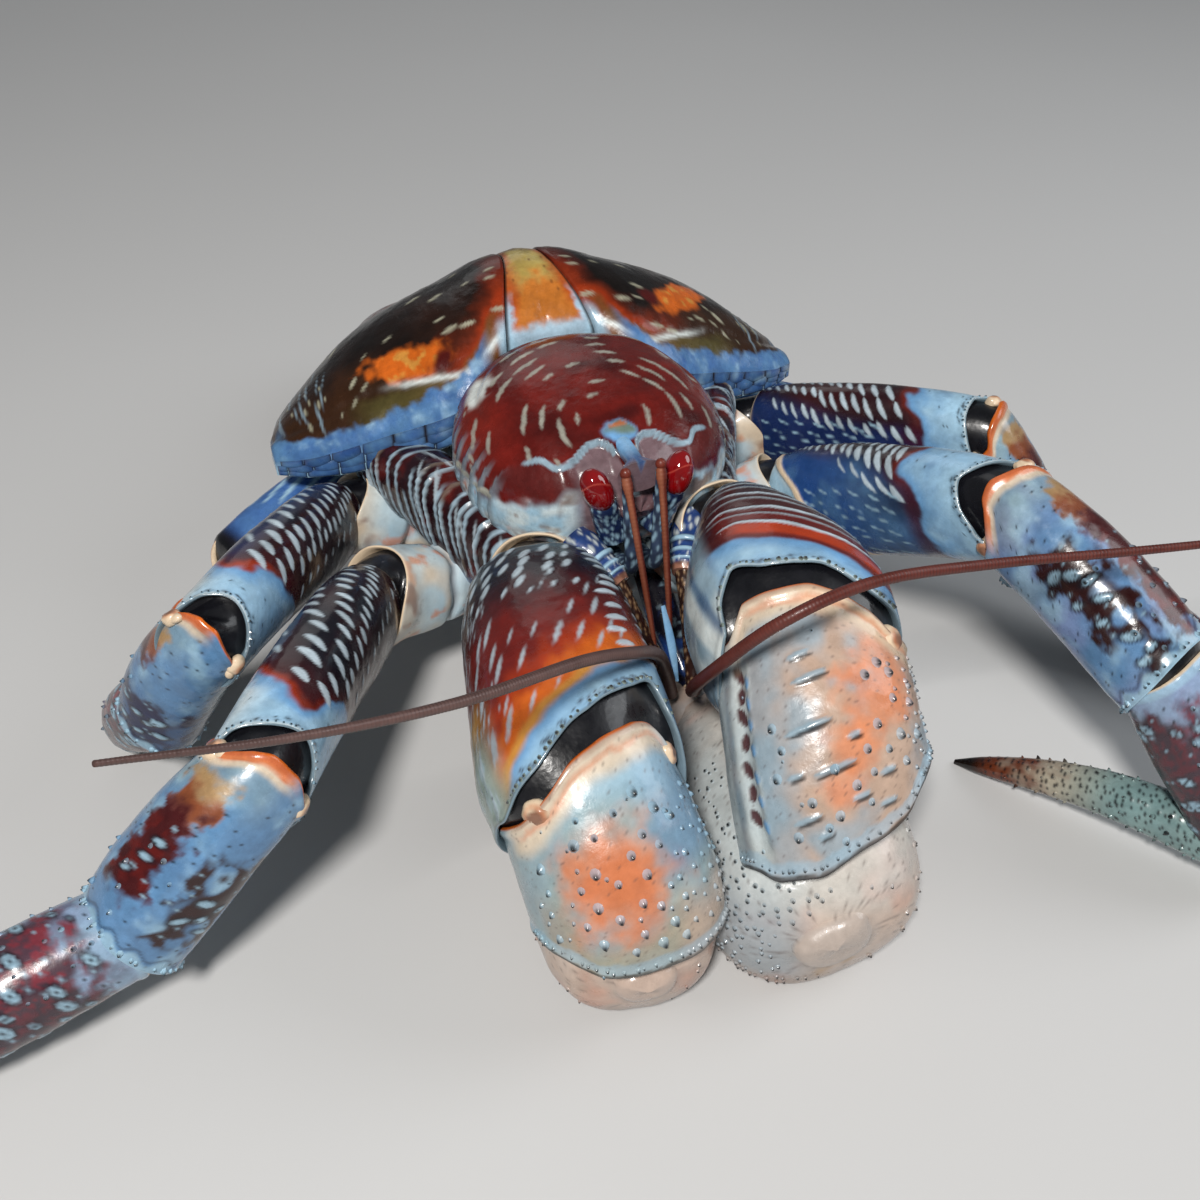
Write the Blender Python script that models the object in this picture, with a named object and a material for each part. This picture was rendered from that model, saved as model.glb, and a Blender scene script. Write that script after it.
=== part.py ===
"""Coconut crab, life size, at rest on the floor: every plate, limb joint and feeler is its own solid.

The animal faces -Y and its left is +X. Lengths are in millimetres and MM turns them into metres.
"""

import math
import random

import bmesh
import bpy
from mathutils import Vector

MM = 0.001
SIDES = (("right", -1), ("left", 1))

# Driving sizes
GAP = 0.3  # clear gap between neighbouring pieces
CARAPACE_HALF_WIDTH = 79.0
CREST_HEIGHT = 97.0
EYE_CENTRE = Vector((10.5, -60, 79.5))
EYE_HALF_LENGTH = 5.9
EYE_RADIUS = 3.8
LEG2_GIRTH = 13.0
LEG3_GIRTH = 11.3
LEG4_GIRTH = 8.5
REST_POINT = Vector((0, 112, 0))  # under the abdomen: the part's origin

# Joint centres, from the body outwards
LEG_JOINTS = {
    "leg2_right": ((-27, -20, 30), (-64, -35, 41), (-103, -101, 53), (-134, -107, 25), (-202, -121, 15),
                   (-257, -136, 0.5)),
    "leg2_left": ((27, -20, 30), (58, -29, 40), (86, -94, 71), (103, -136, 51), (118, -167, 12),
                  (75, -107, 0.5)),
    "leg3_right": ((-28, 4, 31), (-64, 4, 42), (-106, -56, 57), (-121, -44, 27), (-132, -24, 8),
                   (-94, 6, 0.5)),
    "leg3_left": ((28, 4, 31), (64, 6, 42), (111, -43, 57), (127, -60, 21), (156, -109, 11),
                  (186, -160, 0.5)),
    "leg4_right": ((-28, 27, 33), (-54, 32, 38), (-95, 9, 30), (-86, 36, 10), (-76, 58, 0.4)),
    "leg4_left": ((28, 27, 33), (54, 32, 38), (97, 17, 30), (102, 48, 12), (98, 74, 0.4)),
}
LEG_PARTS = ("ischium", "merus", "carpus", "propodus", "dactyl")
WALKING_LEGS = (("leg2", LEG2_GIRTH), ("leg3", LEG3_GIRTH))

# Cross-sections along a limb: place (0 to 1), half width, rise and drop, as shares of the girth
LEG_SECTIONS = {
    "ischium": ((0, 0.6, 0.62, 0.62), (0.35, 0.72, 0.8, 0.8), (0.8, 0.85, 1.0, 0.98),
                (1.0, 0.86, 1.02, 1.0)),
    "merus": ((-0.05, 0.45, 0.6, 0.6), (0.02, 0.66, 0.9, 0.95), (0.22, 0.74, 1.12, 1.22),
              (0.5, 0.78, 1.14, 1.2),
              (0.82, 0.84, 1.1, 1.02), (1.0, 0.86, 1.0, 0.96), (1.1, 0.74, 0.8, 0.9)),
    "carpus": ((-0.2, 0.4, 0.4, 0.4), (-0.12, 0.68, 0.7, 0.66), (0.02, 0.84, 0.92, 0.84),
               (0.3, 0.94, 1.06, 0.94),
               (0.7, 0.98, 1.08, 0.96), (1.0, 0.94, 1.0, 0.92), (1.12, 0.72, 0.74, 0.72)),
    "propodus": ((-0.12, 0.4, 0.45, 0.4), (-0.06, 0.62, 0.7, 0.62), (0.08, 0.78, 0.9, 0.8),
                 (0.35, 0.84, 0.94, 0.86),
                 (0.7, 0.76, 0.84, 0.78), (0.96, 0.62, 0.66, 0.62), (1.04, 0.48, 0.5, 0.48)),
    "dactyl": ((-0.08, 0.28, 0.3, 0.3), (-0.03, 0.42, 0.46, 0.44), (0.1, 0.5, 0.54, 0.5),
               (0.4, 0.44, 0.46, 0.42),
               (0.7, 0.32, 0.32, 0.3), (0.9, 0.18, 0.18, 0.16), (1.0, 0.06, 0.06, 0.06)),
}
LEG_BOW = {"ischium": 0, "merus": 0.16, "carpus": 0.1, "propodus": 0.08, "dactyl": 0.42}

# Claws: joint centres, girths and sections
CLAW_JOINTS = {
    "claw_right": ((-14, -36, 34), (-27, -60, 52), (-36.5, -123, 50), (-31, -142, 20)),
    "claw_left": ((16, -36, 36), (25, -62, 56), (21.5, -110, 60), (15.5, -144, 30)),
}
CLAW_PARTS = ("ischium", "merus", "carpus")
CLAW_GIRTH = {"claw_right": 20.7, "claw_left": 21.8}
CLAW_ROOT_WIDTH = {"claw_right": 1.0, "claw_left": 0.52}  # share of the upper arm's width at its root
CLAW_SECTIONS = {
    "ischium": ((-0.1, 0.5, 0.5, 0.5), (0.3, 0.56, 0.6, 0.62), (1.0, 0.6, 0.7, 0.7)),
    "merus": ((-0.06, 0.6, 0.6, 0.55), (0.04, 0.84, 0.84, 0.8), (0.3, 1.0, 1.0, 0.92),
              (0.65, 1.06, 1.06, 1.0),
              (0.92, 1.1, 1.08, 1.04), (1.06, 1.04, 0.98, 0.96), (1.14, 0.84, 0.72, 0.8)),
    "carpus": ((-0.34, 0.42, 0.36, 0.3), (-0.2, 0.72, 0.66, 0.5), (0.0, 0.9, 0.92, 0.62),
               (0.3, 1.0, 1.06, 0.7),
               (0.65, 1.02, 1.02, 0.7), (0.95, 1.0, 0.86, 0.66), (1.1, 0.92, 0.68, 0.52)),
}
# Middle of the palm's bulge, finger root, tip of the fixed finger, tip of the movable finger
PALM_JOINTS = {
    "claw_right": ((-30.5, -133, 17), (-25, -94, 13), (-26, -57, 8), (-13, -57, 8)),
    "claw_left": ((11.5, -136, 20), (18.5, -92, 16), (28, -52, 8), (13, -54, 8)),
}
PALM_GIRTH = {"claw_right": 19.5, "claw_left": 25.0}
PALM_POWER = {"claw_right": 2.3, "claw_left": 2.5}
PALM_UP = {"claw_right": (0, 0, 1), "claw_left": (-0.45, 0, 1)}
PALM_WIDTH = 20.0
FINGER_GIRTH = 18.0

# Body sections along Y: y, half width, centre height, rise, drop
SHIELD_SECTIONS = ((-57, 12, 71, 8, 8), (-54, 20, 69, 13.5, 12), (-47, 28, 67, 19, 16),
                   (-36, 34, 66.5, 23, 18),
                   (-22, 36, 67, 24, 17), (-8, 32, 69, 21.5, 15), (2, 24, 71, 16, 12),
                   (8, 15, 73, 9.5, 8))
ROSTRUM_SECTIONS = ((-44, 9.5, 82, 5, 6), (-53, 6, 83, 3.6, 5), (-60, 2.2, 84, 1.4, 2.4),
                    (-62, 0.7, 84.2, 0.6, 1))
THORAX_SECTIONS = ((-47, 13, 44, 10, 10), (-40, 22, 43, 18, 16), (-22, 28, 43, 26, 24),
                   (4, 31, 44, 32, 27),
                   (28, 31, 46, 32, 26), (48, 27, 48, 26, 22), (62, 17, 50, 15, 13), (65, 9, 50, 8, 7))
FLANK_SECTIONS = ((-49, 33, 3, 48, 7), (-44, 35.5, 6, 48, 11), (-30, 41, 8, 49, 14), (-12, 49, 9, 53, 12),
                  (8, 57, 9, 54, 9), (28, 61, 9, 54, 8), (46, 55, 9, 54, 8), (54, 48, 5, 54, 5))
ABDOMEN_SECTIONS = ((58, 22, 46, 14, 16), (66, 34, 44, 19, 24), (80, 43, 38, 22, 32),
                    (98, 46, 30, 23, 34),
                    (114, 43, 24, 22, 28), (128, 35, 19, 18, 22), (138, 23, 15, 13, 17),
                    (144, 11, 11, 7, 10))
ABDOMEN_CUTS = (82, 100, 119)  # where one ring of the abdomen meets the next


blanks = {}  # for each object, its closed meshes before any cut, which its neighbours are cut clear of


def clear_scene():
    for obj in list(bpy.data.objects):
        bpy.data.objects.remove(obj, do_unlink=True)


def shell_material(name, colour, roughness):
    material = bpy.data.materials.new(name)
    material.use_nodes = True
    shader = material.node_tree.nodes["Principled BSDF"]
    shader.inputs["Base Color"].default_value = (*colour, 1)
    shader.inputs["Roughness"].default_value = roughness
    shader.inputs["Metallic"].default_value = 0
    return material


def add_object(name, points, faces, colour=(0.2, 0.3, 0.5), roughness=0.35):
    """A mesh object from points in millimetres, set so that the part's origin is the rest point."""
    mesh = bpy.data.meshes.new(name)
    mesh.from_pydata([(point - REST_POINT) * MM for point in points], [], faces)
    obj = bpy.data.objects.new(name, mesh)
    bpy.context.scene.collection.objects.link(obj)
    mesh.materials.append(shell_material(name + "_shell", colour, roughness))
    face_out(mesh)
    blanks[obj.name] = [mesh.copy()]
    return obj


def face_out(mesh):
    work = bmesh.new()
    work.from_mesh(mesh)
    bmesh.ops.recalc_face_normals(work, faces=work.faces)
    bmesh.ops.triangulate(work, faces=work.faces)
    work.to_mesh(mesh)
    work.free()


def on_floor(point):
    return Vector((point.x, point.y, max(point.z, 0)))


def rounded(value, power):
    """A sine or cosine bent towards a box as the power grows past 2."""
    return math.copysign(abs(value) ** (2 / power), value)


def section_ring(centre, across, up, half_width, rise, drop, power, sides):
    points = []
    for i in range(sides):
        angle = math.tau * (i + 0.5) / sides
        sideways = half_width * rounded(math.cos(angle), power)
        height = rounded(math.sin(angle), power)
        height *= rise if height > 0 else drop
        points.append(on_floor(centre + across * sideways + up * height))
    return points


def loft(name, rings, **look):
    """A closed solid over rings of equally many points."""
    sides = len(rings[0])
    points = [point for ring in rings for point in ring]
    faces = []
    for i in range(len(rings) - 1):
        for j in range(sides):
            k = (j + 1) % sides
            faces.append((i * sides + j, i * sides + k, (i + 1) * sides + k, (i + 1) * sides + j))
    faces.append(tuple(reversed(range(sides))))
    faces.append(tuple(range(len(points) - sides, len(points))))
    return add_object(name, points, faces, **look)


def limb_frame(start, end, up_hint):
    along = (end - start).normalized()
    across = along.cross(up_hint).normalized()
    return along, across, across.cross(along)


def segment(name, start, end, sections, girth, up_hint=(0, 0, 1), bow=0, power=2.3, sides=12, **look):
    """One length of a limb between two joint centres, bowed towards its back by bow times the girth."""
    start, end = Vector(start), Vector(end)
    along, across, up = limb_frame(start, end, Vector(up_hint))
    rings = []
    for place, half_width, rise, drop in sections:
        arch = bow * girth * math.sin(math.pi * min(max(place, 0), 1))
        centre = start + (end - start) * place + up * arch
        rings.append(section_ring(centre, across, up, half_width * girth, rise * girth, drop * girth,
                                  power, sides))
    return loft(name, rings, **look)


def body_loft(name, sections, power=2.3, sides=20, **look):
    """A body solid from sections across Y, the same on both sides."""
    rings = []
    for y, half_width, height, rise, drop in sections:
        centre = Vector((0, y, height))
        rings.append(section_ring(centre, Vector((1, 0, 0)), Vector((0, 0, 1)), half_width, rise, drop,
                                  power, sides))
    return loft(name, rings, **look)


def between(value, pairs):
    """Reads a value from named pairs of (place, size), in a straight line between them."""
    for (low, first), (high, second) in zip(pairs, pairs[1:]):
        if value <= high:
            share = min(max((value - low) / (high - low), 0), 1)
            return first + (second - first) * share
    return pairs[-1][1]


# The dome behind the shield, read at a distance x from the middle
DOME_FRONT_Y = ((0, 9), (12, 6), (27, -7), (51, 1), (70, 7), (79, 13))
DOME_REAR_Y = ((0, 63), (25, 66), (48, 62), (64, 50), (74, 36), (79, 22))
DOME_FRONT_Z = ((0, 84), (12, 84), (27, 76), (51, 66), (79, 57))
DOME_REAR_Z = ((0, 67), (25, 64), (48, 56), (64, 53), (79, 57))
DOME_FALL = 0.01475
DOME_FALL_POWER = 1.8
DOME_RIM = ((0, 9.5), (51, 9), (79, 4.5))
DOME_INNER = ((0, 12.5), (0.5, 5.5), (0.75, 6.5), (1, 10))  # middle plate's half width, front to rear


def dome_point(x, share):
    """A point of the dome's top: share runs from the front edge to the rear edge."""
    far = abs(x)
    front = between(far, DOME_FRONT_Z)
    rear = between(far, DOME_REAR_Z)
    crest = CREST_HEIGHT - DOME_FALL * far**DOME_FALL_POWER
    swell = max(crest - (front + rear) / 2, 0.5)
    y = between(far, DOME_FRONT_Y) + (between(far, DOME_REAR_Y) - between(far, DOME_FRONT_Y)) * share
    height = front + (rear - front) * share + swell * math.sin(math.pi * share) ** 0.75
    return Vector((x, y, height))


def dome_under(x, share):
    """The flat underside below dome_point."""
    top = dome_point(x, share)
    far = abs(x)
    edge = between(far, DOME_FRONT_Z) * (1 - share) + between(far, DOME_REAR_Z) * share
    return Vector((top.x, top.y, edge - between(far, DOME_RIM)))


def wing_place(spread, share):
    """Distance from the middle: spread runs from the middle plate's edge (0) to the wing's tip (1)."""
    inner = between(share, DOME_INNER) + GAP
    return inner + (CARAPACE_HALF_WIDTH - inner) * abs(spread)


def wing_top(spread, share):
    return dome_point(math.copysign(wing_place(spread, share), spread), share)


def wing_under(spread, share):
    return dome_under(math.copysign(wing_place(spread, share), spread), share)


def heart_top(across, share):
    return dome_point(across * between(share, DOME_INNER), share)


def heart_under(across, share):
    return dome_under(across * between(share, DOME_INNER), share)


def plate_grid(name, places, steps, top, under, **look):
    """A closed plate: its top and underside are read over the same grid, so that both split alike."""
    columns, rows = len(places), steps + 1
    points = [face(x, j / steps) for face in (top, under) for x in places for j in range(rows)]
    low = columns * rows
    faces = []
    for i in range(columns - 1):
        for j in range(steps):
            a, b, c, d = i * rows + j, (i + 1) * rows + j, (i + 1) * rows + j + 1, i * rows + j + 1
            faces += [(a, b, c), (a, c, d), (low + a, low + c, low + b), (low + a, low + d, low + c)]
    border = [i * rows for i in range(columns)]
    border += [(columns - 1) * rows + j for j in range(1, rows)]
    border += [i * rows + steps for i in range(columns - 2, -1, -1)]
    border += [j for j in range(steps - 1, 0, -1)]
    for i, a in enumerate(border):
        b = border[(i + 1) % len(border)]
        faces.append((a, low + a, low + b, b))
    return add_object(name, points, faces, **look)


def applied(obj):
    """Replaces the object's mesh by the one its modifiers give."""
    graph = bpy.context.evaluated_depsgraph_get()
    mesh = bpy.data.meshes.new_from_object(obj.evaluated_get(graph))
    obj.modifiers.clear()
    obj.data = mesh


def keep_largest(obj):
    """Keeps the one closed surface that holds the most."""
    work = bmesh.new()
    work.from_mesh(obj.data)
    left = set(work.faces)
    shells = []
    while left:
        shell, edge = set(), [left.pop()]
        while edge:
            face = edge.pop()
            shell.add(face)
            for side in face.edges:
                for other in side.link_faces:
                    if other in left:
                        left.discard(other)
                        edge.append(other)
        shells.append(shell)
    shells.sort(key=shell_volume, reverse=True)
    loose = [face for shell in shells[1:] for face in shell]
    bmesh.ops.delete(work, geom=loose, context="FACES")
    work.to_mesh(obj.data)
    work.free()


def merge_flats(obj):
    """Joins faces that lie almost flat to each other, which cuts the triangles that carving leaves."""
    work = bmesh.new()
    work.from_mesh(obj.data)
    bmesh.ops.dissolve_limit(work, angle_limit=math.radians(3), verts=work.verts, edges=work.edges)
    bmesh.ops.triangulate(work, faces=work.faces)
    work.to_mesh(obj.data)
    work.free()


def shell_volume(shell):
    total = 0
    for face in shell:
        corners = [vertex.co for vertex in face.verts]
        for second, third in zip(corners[1:], corners[2:]):
            total += corners[0].dot(second.cross(third))
    return abs(total)


def grown(blank, by):
    """A helper object from a blank, larger all round by a distance in millimetres."""
    mesh = blank.copy()
    work = bmesh.new()
    work.from_mesh(mesh)
    work.normal_update()
    moves = [vertex.normal * by * MM * min(vertex.calc_shell_factor(), 2) for vertex in work.verts]
    for vertex, move in zip(work.verts, moves):
        vertex.co += move
    work.to_mesh(mesh)
    work.free()
    helper = bpy.data.objects.new("helper", mesh)
    helper.hide_render = True
    helper.display_type = "WIRE"
    bpy.context.scene.collection.objects.link(helper)
    return helper


def boxes_meet(first, second, margin):
    a = [vertex.co for vertex in first.vertices]
    b = [vertex.co for vertex in second.vertices]
    for axis in range(3):
        if min(p[axis] for p in a) - margin > max(p[axis] for p in b):
            return False
        if min(p[axis] for p in b) - margin > max(p[axis] for p in a):
            return False
    return True


def carve(obj, others):
    """Cuts the object clear of its neighbours' blanks by the gap, one after another."""
    for blank in [blank for other in others for blank in blanks[other.name]]:
        if not boxes_meet(obj.data, blank, GAP * MM):
            continue
        helper = grown(blank, GAP)
        cut = obj.modifiers.new("clear", "BOOLEAN")
        cut.operation = "DIFFERENCE"
        cut.object = helper
        applied(obj)
        bpy.data.meshes.remove(helper.data)
        keep_largest(obj)


def fuse(obj, pieces):
    """Joins pieces to the object by one union and removes them."""
    for piece in pieces:
        blanks[obj.name] += blanks.pop(piece.name)
    group = bpy.data.collections.new(obj.name + "_pieces")
    bpy.context.scene.collection.children.link(group)
    for piece in pieces:
        bpy.context.scene.collection.objects.unlink(piece)
        group.objects.link(piece)
    join = obj.modifiers.new("pieces", "BOOLEAN")
    join.operation = "UNION"
    join.operand_type = "COLLECTION"
    join.collection = group
    applied(obj)
    for piece in list(group.objects):
        bpy.data.objects.remove(piece, do_unlink=True)
    bpy.data.collections.remove(group)
    keep_largest(obj)


def lump(point, normal, along, length, width, height, sides, top, sink=None):
    """A small raised form with its foot sunk in the surface: it narrows to a point, or to a flat top."""
    along = (along - normal * along.dot(normal)).normalized()
    across = normal.cross(along)
    stretch = 1 / math.cos(math.pi / sides)
    depth = sink or 0.6 + 0.14 * max(length, width)
    foot, crown = [], []
    for i in range(sides):
        angle = math.tau * (i + 0.5) / sides
        out = (along * length * math.cos(angle) + across * width * math.sin(angle)) * stretch / 2
        foot.append(point - normal * depth + out)
        crown.append(point + normal * height + out * top)
    if top:
        return loft("form", [foot, crown])
    faces = [(i, (i + 1) % sides, sides) for i in range(sides)] + [tuple(range(sides))]
    return add_object("form", foot + [point + normal * height], faces)


def cast(obj, origin, direction):
    """Where a line first meets the object's surface, and the normal there."""
    hit, spot, normal, _ = obj.ray_cast((origin - REST_POINT) * MM, direction)
    return (spot / MM + REST_POINT, normal) if hit else None


def limb_forms(obj, start, end, rows, sign, hint=(0, 0, 1)):
    """Rows of raised forms along a limb's length, each cast onto its surface."""
    start, end = Vector(start), Vector(end)
    along, across, up = limb_frame(start, end, Vector(hint))
    chance = random.Random(obj.name)
    bpy.context.view_layer.update()
    forms = []
    for angle, first, last, count, form in rows:
        for i in range(count):
            place = first + (last - first) * (i + 0.5 + chance.uniform(-0.12, 0.12)) / count
            turn = math.radians(angle + chance.uniform(-4, 4))
            out = across * math.cos(turn) * sign + up * math.sin(turn)
            found = cast(obj, start + (end - start) * place + out * 60, -out)
            if found:
                forms.append(lump(*found, along, *form))
    fuse(obj, forms)


def spindle(name, centre, axis, length, radius, rows=7, sides=10, **look):
    """An ellipsoid along an axis."""
    along, across, up = limb_frame(Vector((0, 0, 0)), Vector(axis), Vector((0, 1, 0)))
    rings = []
    for i in range(rows):
        angle = math.pi * (i + 0.5) / rows
        middle = centre - along * length * math.cos(angle)
        wide = radius * math.sin(angle)
        rings.append(section_ring(middle, across, up, wide, wide, wide, 2, sides))
    return loft(name, rings, **look)


def smooth_route(points, count):
    """Points at even steps of a smooth curve through a few hand-set points."""
    points = [Vector(point) for point in points]
    ends = [points[0] * 2 - points[1]] + points + [points[-1] * 2 - points[-2]]
    spans = len(points) - 1
    route = []
    for i in range(count + 1):
        whole = min(int(i / count * spans), spans - 1)
        t = i / count * spans - whole
        a, b, c, d = ends[whole : whole + 4]
        route.append(
            0.5 * ((2 * b) + (c - a) * t + (2 * a - 5 * b + 4 * c - d) * t**2
                   + (3 * b - a - 3 * c + d) * t**3)
        )
    return route


def tube(name, route, radii, sides=8, **look):
    """A round tube along a route, its radius read along the way."""
    rings = []
    side = Vector((0, 0, 1)).cross(route[1] - route[0]).normalized()
    for i, point in enumerate(route):
        ahead = route[min(i + 1, len(route) - 1)]
        behind = route[max(i - 1, 0)]
        along = (ahead - behind).normalized()
        side = (side - along * side.dot(along)).normalized()
        radius = between(i / (len(route) - 1), radii)
        rings.append(section_ring(point, side, along.cross(side), radius, radius, radius, 2, sides))
    return loft(name, rings, **look)


# Raised forms: length along the limb, width across it, height, sides, share of the foot that its top keeps
TUBERCLE = (3.4, 2.8, 1.6, 5, 0)
SMALL_TUBERCLE = (2.2, 2.0, 1.1, 4, 0)
SPINE = (2.0, 1.6, 1.1, 4, 0)
RIDGE = (2.2, 9.5, 1.1, 4, 0.45)
SHORT_RIDGE = (2.0, 5.5, 1.0, 4, 0.45)
RIB = (13.0, 2.4, 1.3, 4, 0.5)

# Rows on a limb's length: angle round it (0 front, 90 top), first and last place, count, form
LEG_FORMS = {
    "merus": ((90, 0.08, 0.84, 8, RIDGE), (30, 0.25, 0.8, 4, SMALL_TUBERCLE)),
    "carpus": ((100, 0.45, 0.92, 4, TUBERCLE), (55, 0.5, 0.95, 3, SMALL_TUBERCLE)),
    "propodus": ((100, 0.15, 0.85, 5, SMALL_TUBERCLE), (40, 0.2, 0.9, 4, SMALL_TUBERCLE)),
    "dactyl": ((70, 0.12, 0.8, 5, SPINE), (150, 0.12, 0.8, 5, SPINE)),
}
CLAW_FORMS = {
    "merus": ((50, 0.12, 0.66, 4, SHORT_RIDGE), (80, 0.08, 0.7, 5, SHORT_RIDGE),
              (110, 0.12, 0.66, 4, SHORT_RIDGE)),
    "carpus": ((45, 0.25, 0.85, 4, TUBERCLE), (78, 0.15, 0.9, 5, TUBERCLE), (110, 0.2, 0.85, 5, TUBERCLE),
               (140, 0.25, 0.85, 4, TUBERCLE)),
}
PALM_ROWS = ((6.5, 5), (12.5, 6))  # height and count of the tubercles across the front of a palm
# Edges, first and last spread, count
SCUTE_ROWS = ((0.005, 0.045, 0.24, 0.97, 11), (0.055, 0.1, 0.28, 0.95, 10))
SCUTE_HEIGHT = 0.8
RIB_PLACES = (-38, -29, -20, -8)
BROW_PLACES = ((3, -55), (9, -54), (16, -53), (23, -49), (29, -43))
BROW_RADII = ((0, 1.0), (0.4, 1.7), (1, 1.0))
PLATE_RISE = 1.4  # how far the back plates stand above the abdomen

MAROON = (0.09, 0.018, 0.016)
NAVY = (0.035, 0.05, 0.1)
SKY = (0.25, 0.42, 0.68)
SAND = (0.55, 0.42, 0.34)
PALE = (0.7, 0.72, 0.72)
RED = (0.5, 0.01, 0.01)
RUST = (0.16, 0.05, 0.03)


WING_PLACES = (1e-6, 0.12, 0.25, 0.38, 0.52, 0.65, 0.77, 0.88, 0.95, 1)
HEART_PLACES = (-1, -0.5, 0, 0.5, 1)
DOME_STEPS = 8


def build_carapace():
    shield = body_loft("carapace_shield", SHIELD_SECTIONS, colour=MAROON, roughness=0.25)
    fuse(shield, [body_loft("rostrum", ROSTRUM_SECTIONS, sides=8)] + brow_forms(shield))
    heart = plate_grid("carapace_heart", HEART_PLACES, DOME_STEPS, heart_top, heart_under,
                       colour=(0.5, 0.25, 0.08))
    wings = {}
    for side, sign in SIDES:
        places = [sign * place for place in WING_PLACES]
        wings[side] = plate_grid("carapace_" + side, places, DOME_STEPS, wing_top, wing_under,
                                 colour=NAVY,
                                 roughness=0.25)
        wing_scutes(wings[side], sign)
        carve(wings[side], [shield])
    carve(heart, [shield])
    return shield, heart, wings


def wing_scutes(wing, sign):
    """Rows of low plates along the front and outer edge of a wing, each laid on the wing's own surface."""
    forms = []
    for near, far, first, last, count in SCUTE_ROWS:
        step = (last - first) / count
        for i in range(count):
            start = sign * (first + step * i)
            end = sign * (first + step * (i + 0.84))
            corners = [wing_top(start, near), wing_top(end, near), wing_top(end, far),
                       wing_top(start, far)]
            middle = sum(corners, Vector()) / 4
            normal = (corners[1] - corners[3]).cross(corners[2] - corners[0]).normalized() * sign
            foot = [corner - normal * 1.2 for corner in corners]
            crown = [middle + (corner - middle) * 0.9 + normal * SCUTE_HEIGHT for corner in corners]
            forms.append(loft("form", [foot, crown]))
    fuse(wing, forms)


def brow_forms(shield):
    """The raised brow on each side, from the rostrum to the outer corner of the orbit."""
    bpy.context.view_layer.update()
    brows = []
    for _, sign in SIDES:
        route = [cast(shield, Vector((sign * x, y, 160)), Vector((0, 0, -1)))[0] for x, y in BROW_PLACES]
        brows.append(tube("brow", route, BROW_RADII, sides=6))
    return brows


def build_flank(side, sign):
    rings = []
    for y, x, half_thick, height, half_height in FLANK_SECTIONS:
        centre = Vector((sign * (x - half_thick), y, height))
        across = Vector((sign, 0, 0))
        rings.append(section_ring(centre, across, Vector((0, 0, 1)), half_thick, half_height, half_height,
                                  2.6, 12))
    flank = loft("flank_" + side, rings, colour=MAROON, roughness=0.3)
    bpy.context.view_layer.update()
    ribs = []
    for y in RIB_PLACES:
        found = cast(flank, Vector((sign * 120, y, 52)), Vector((-sign, 0, 0)))
        if found:
            ribs.append(lump(*found, Vector((0, 0.3, 1)), *RIB))
    fuse(flank, ribs)
    return flank


def build_abdomen():
    """Three rings and the tail plate: one loft, parted across Y."""
    pieces = []
    bounds = (ABDOMEN_SECTIONS[0][0],) + ABDOMEN_CUTS + (ABDOMEN_SECTIONS[-1][0],)
    names = ("abdomen_1", "abdomen_2", "abdomen_3", "telson")
    for i, name in enumerate(names):
        low = bounds[i] + (GAP / 2 if i else 0)
        high = bounds[i + 1] - (GAP / 2 if i < len(names) - 1 else 0)
        sections = [abdomen_section(y) for y in ring_places(low, high)]
        piece = body_loft(name, sections, power=2.2, sides=18, colour=(0.2, 0.08, 0.06), roughness=0.45)
        fuse(piece, [back_plate(low, high)])
        pieces.append(piece)
    return pieces


def back_plate(low, high):
    """The hard plate across the back of a ring: a narrower loft that stands a little above it."""
    sections = []
    for y in ring_places(low + 2.5, high - 1.5):
        y, half_width, height, rise, drop = abdomen_section(y)
        sections.append((y, half_width * 0.92, height + PLATE_RISE, rise, drop * 0.4))
    return body_loft("plate", sections, power=2.9, sides=14)


def ring_places(low, high):
    inner = [section[0] for section in ABDOMEN_SECTIONS if low + 1 < section[0] < high - 1]
    return [low] + inner + [high]


def abdomen_section(y):
    columns = [[(section[0], section[i]) for section in ABDOMEN_SECTIONS] for i in range(1, 5)]
    return (y, *[between(y, column) for column in columns])


def build_leg(name, girth, sign):
    joints = LEG_JOINTS[name]
    built = []
    for part, start, end in zip(LEG_PARTS, joints, joints[1:]):
        look = {"colour": PALE if part == "ischium" else SKY, "roughness": 0.3}
        sides = 10 if part in ("ischium", "dactyl") else 12
        built.append(segment(f"{name}_{part}", start, end, LEG_SECTIONS[part], girth,
                             bow=LEG_BOW[part], sides=sides, **look))
        if part in LEG_FORMS:
            limb_forms(built[-1], start, end, LEG_FORMS[part], sign)
    for inner, outer in zip(built, built[1:]):
        carve(inner, [outer])
    return built


def build_short_leg(name):
    """The fourth leg: a hip piece, one upper length and one foot."""
    joints = LEG_JOINTS[name]
    hip = segment(name + "_ischium", joints[0], joints[1], LEG_SECTIONS["ischium"], LEG4_GIRTH, sides=8,
                  colour=PALE)
    merus = segment(name + "_merus", joints[1], joints[2], LEG_SECTIONS["merus"], LEG4_GIRTH,
                    bow=LEG_BOW["merus"], sides=10, colour=SKY)
    foot = segment(name + "_foot", joints[2], joints[3], LEG_SECTIONS["carpus"], LEG4_GIRTH * 0.85,
                   sides=10,
                   colour=SKY)
    tip = segment("tip", joints[3], joints[4], LEG_SECTIONS["dactyl"], LEG4_GIRTH, bow=0.3, sides=8,
                  colour=SKY)
    fuse(foot, [tip])
    fuse(merus, [hip])
    carve(merus, [foot])
    return merus, foot


def claw_sections(name, part):
    """The upper arm of the left claw is narrower at its root."""
    if part != "merus":
        return CLAW_SECTIONS[part]
    root = CLAW_ROOT_WIDTH[name]
    spread = ((0, root), (0.3, 0.45 + root * 0.55), (0.7, 1))
    sections = CLAW_SECTIONS[part]
    return [(place, wide * between(max(place, 0), spread), *rest) for place, wide, *rest in sections]


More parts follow.
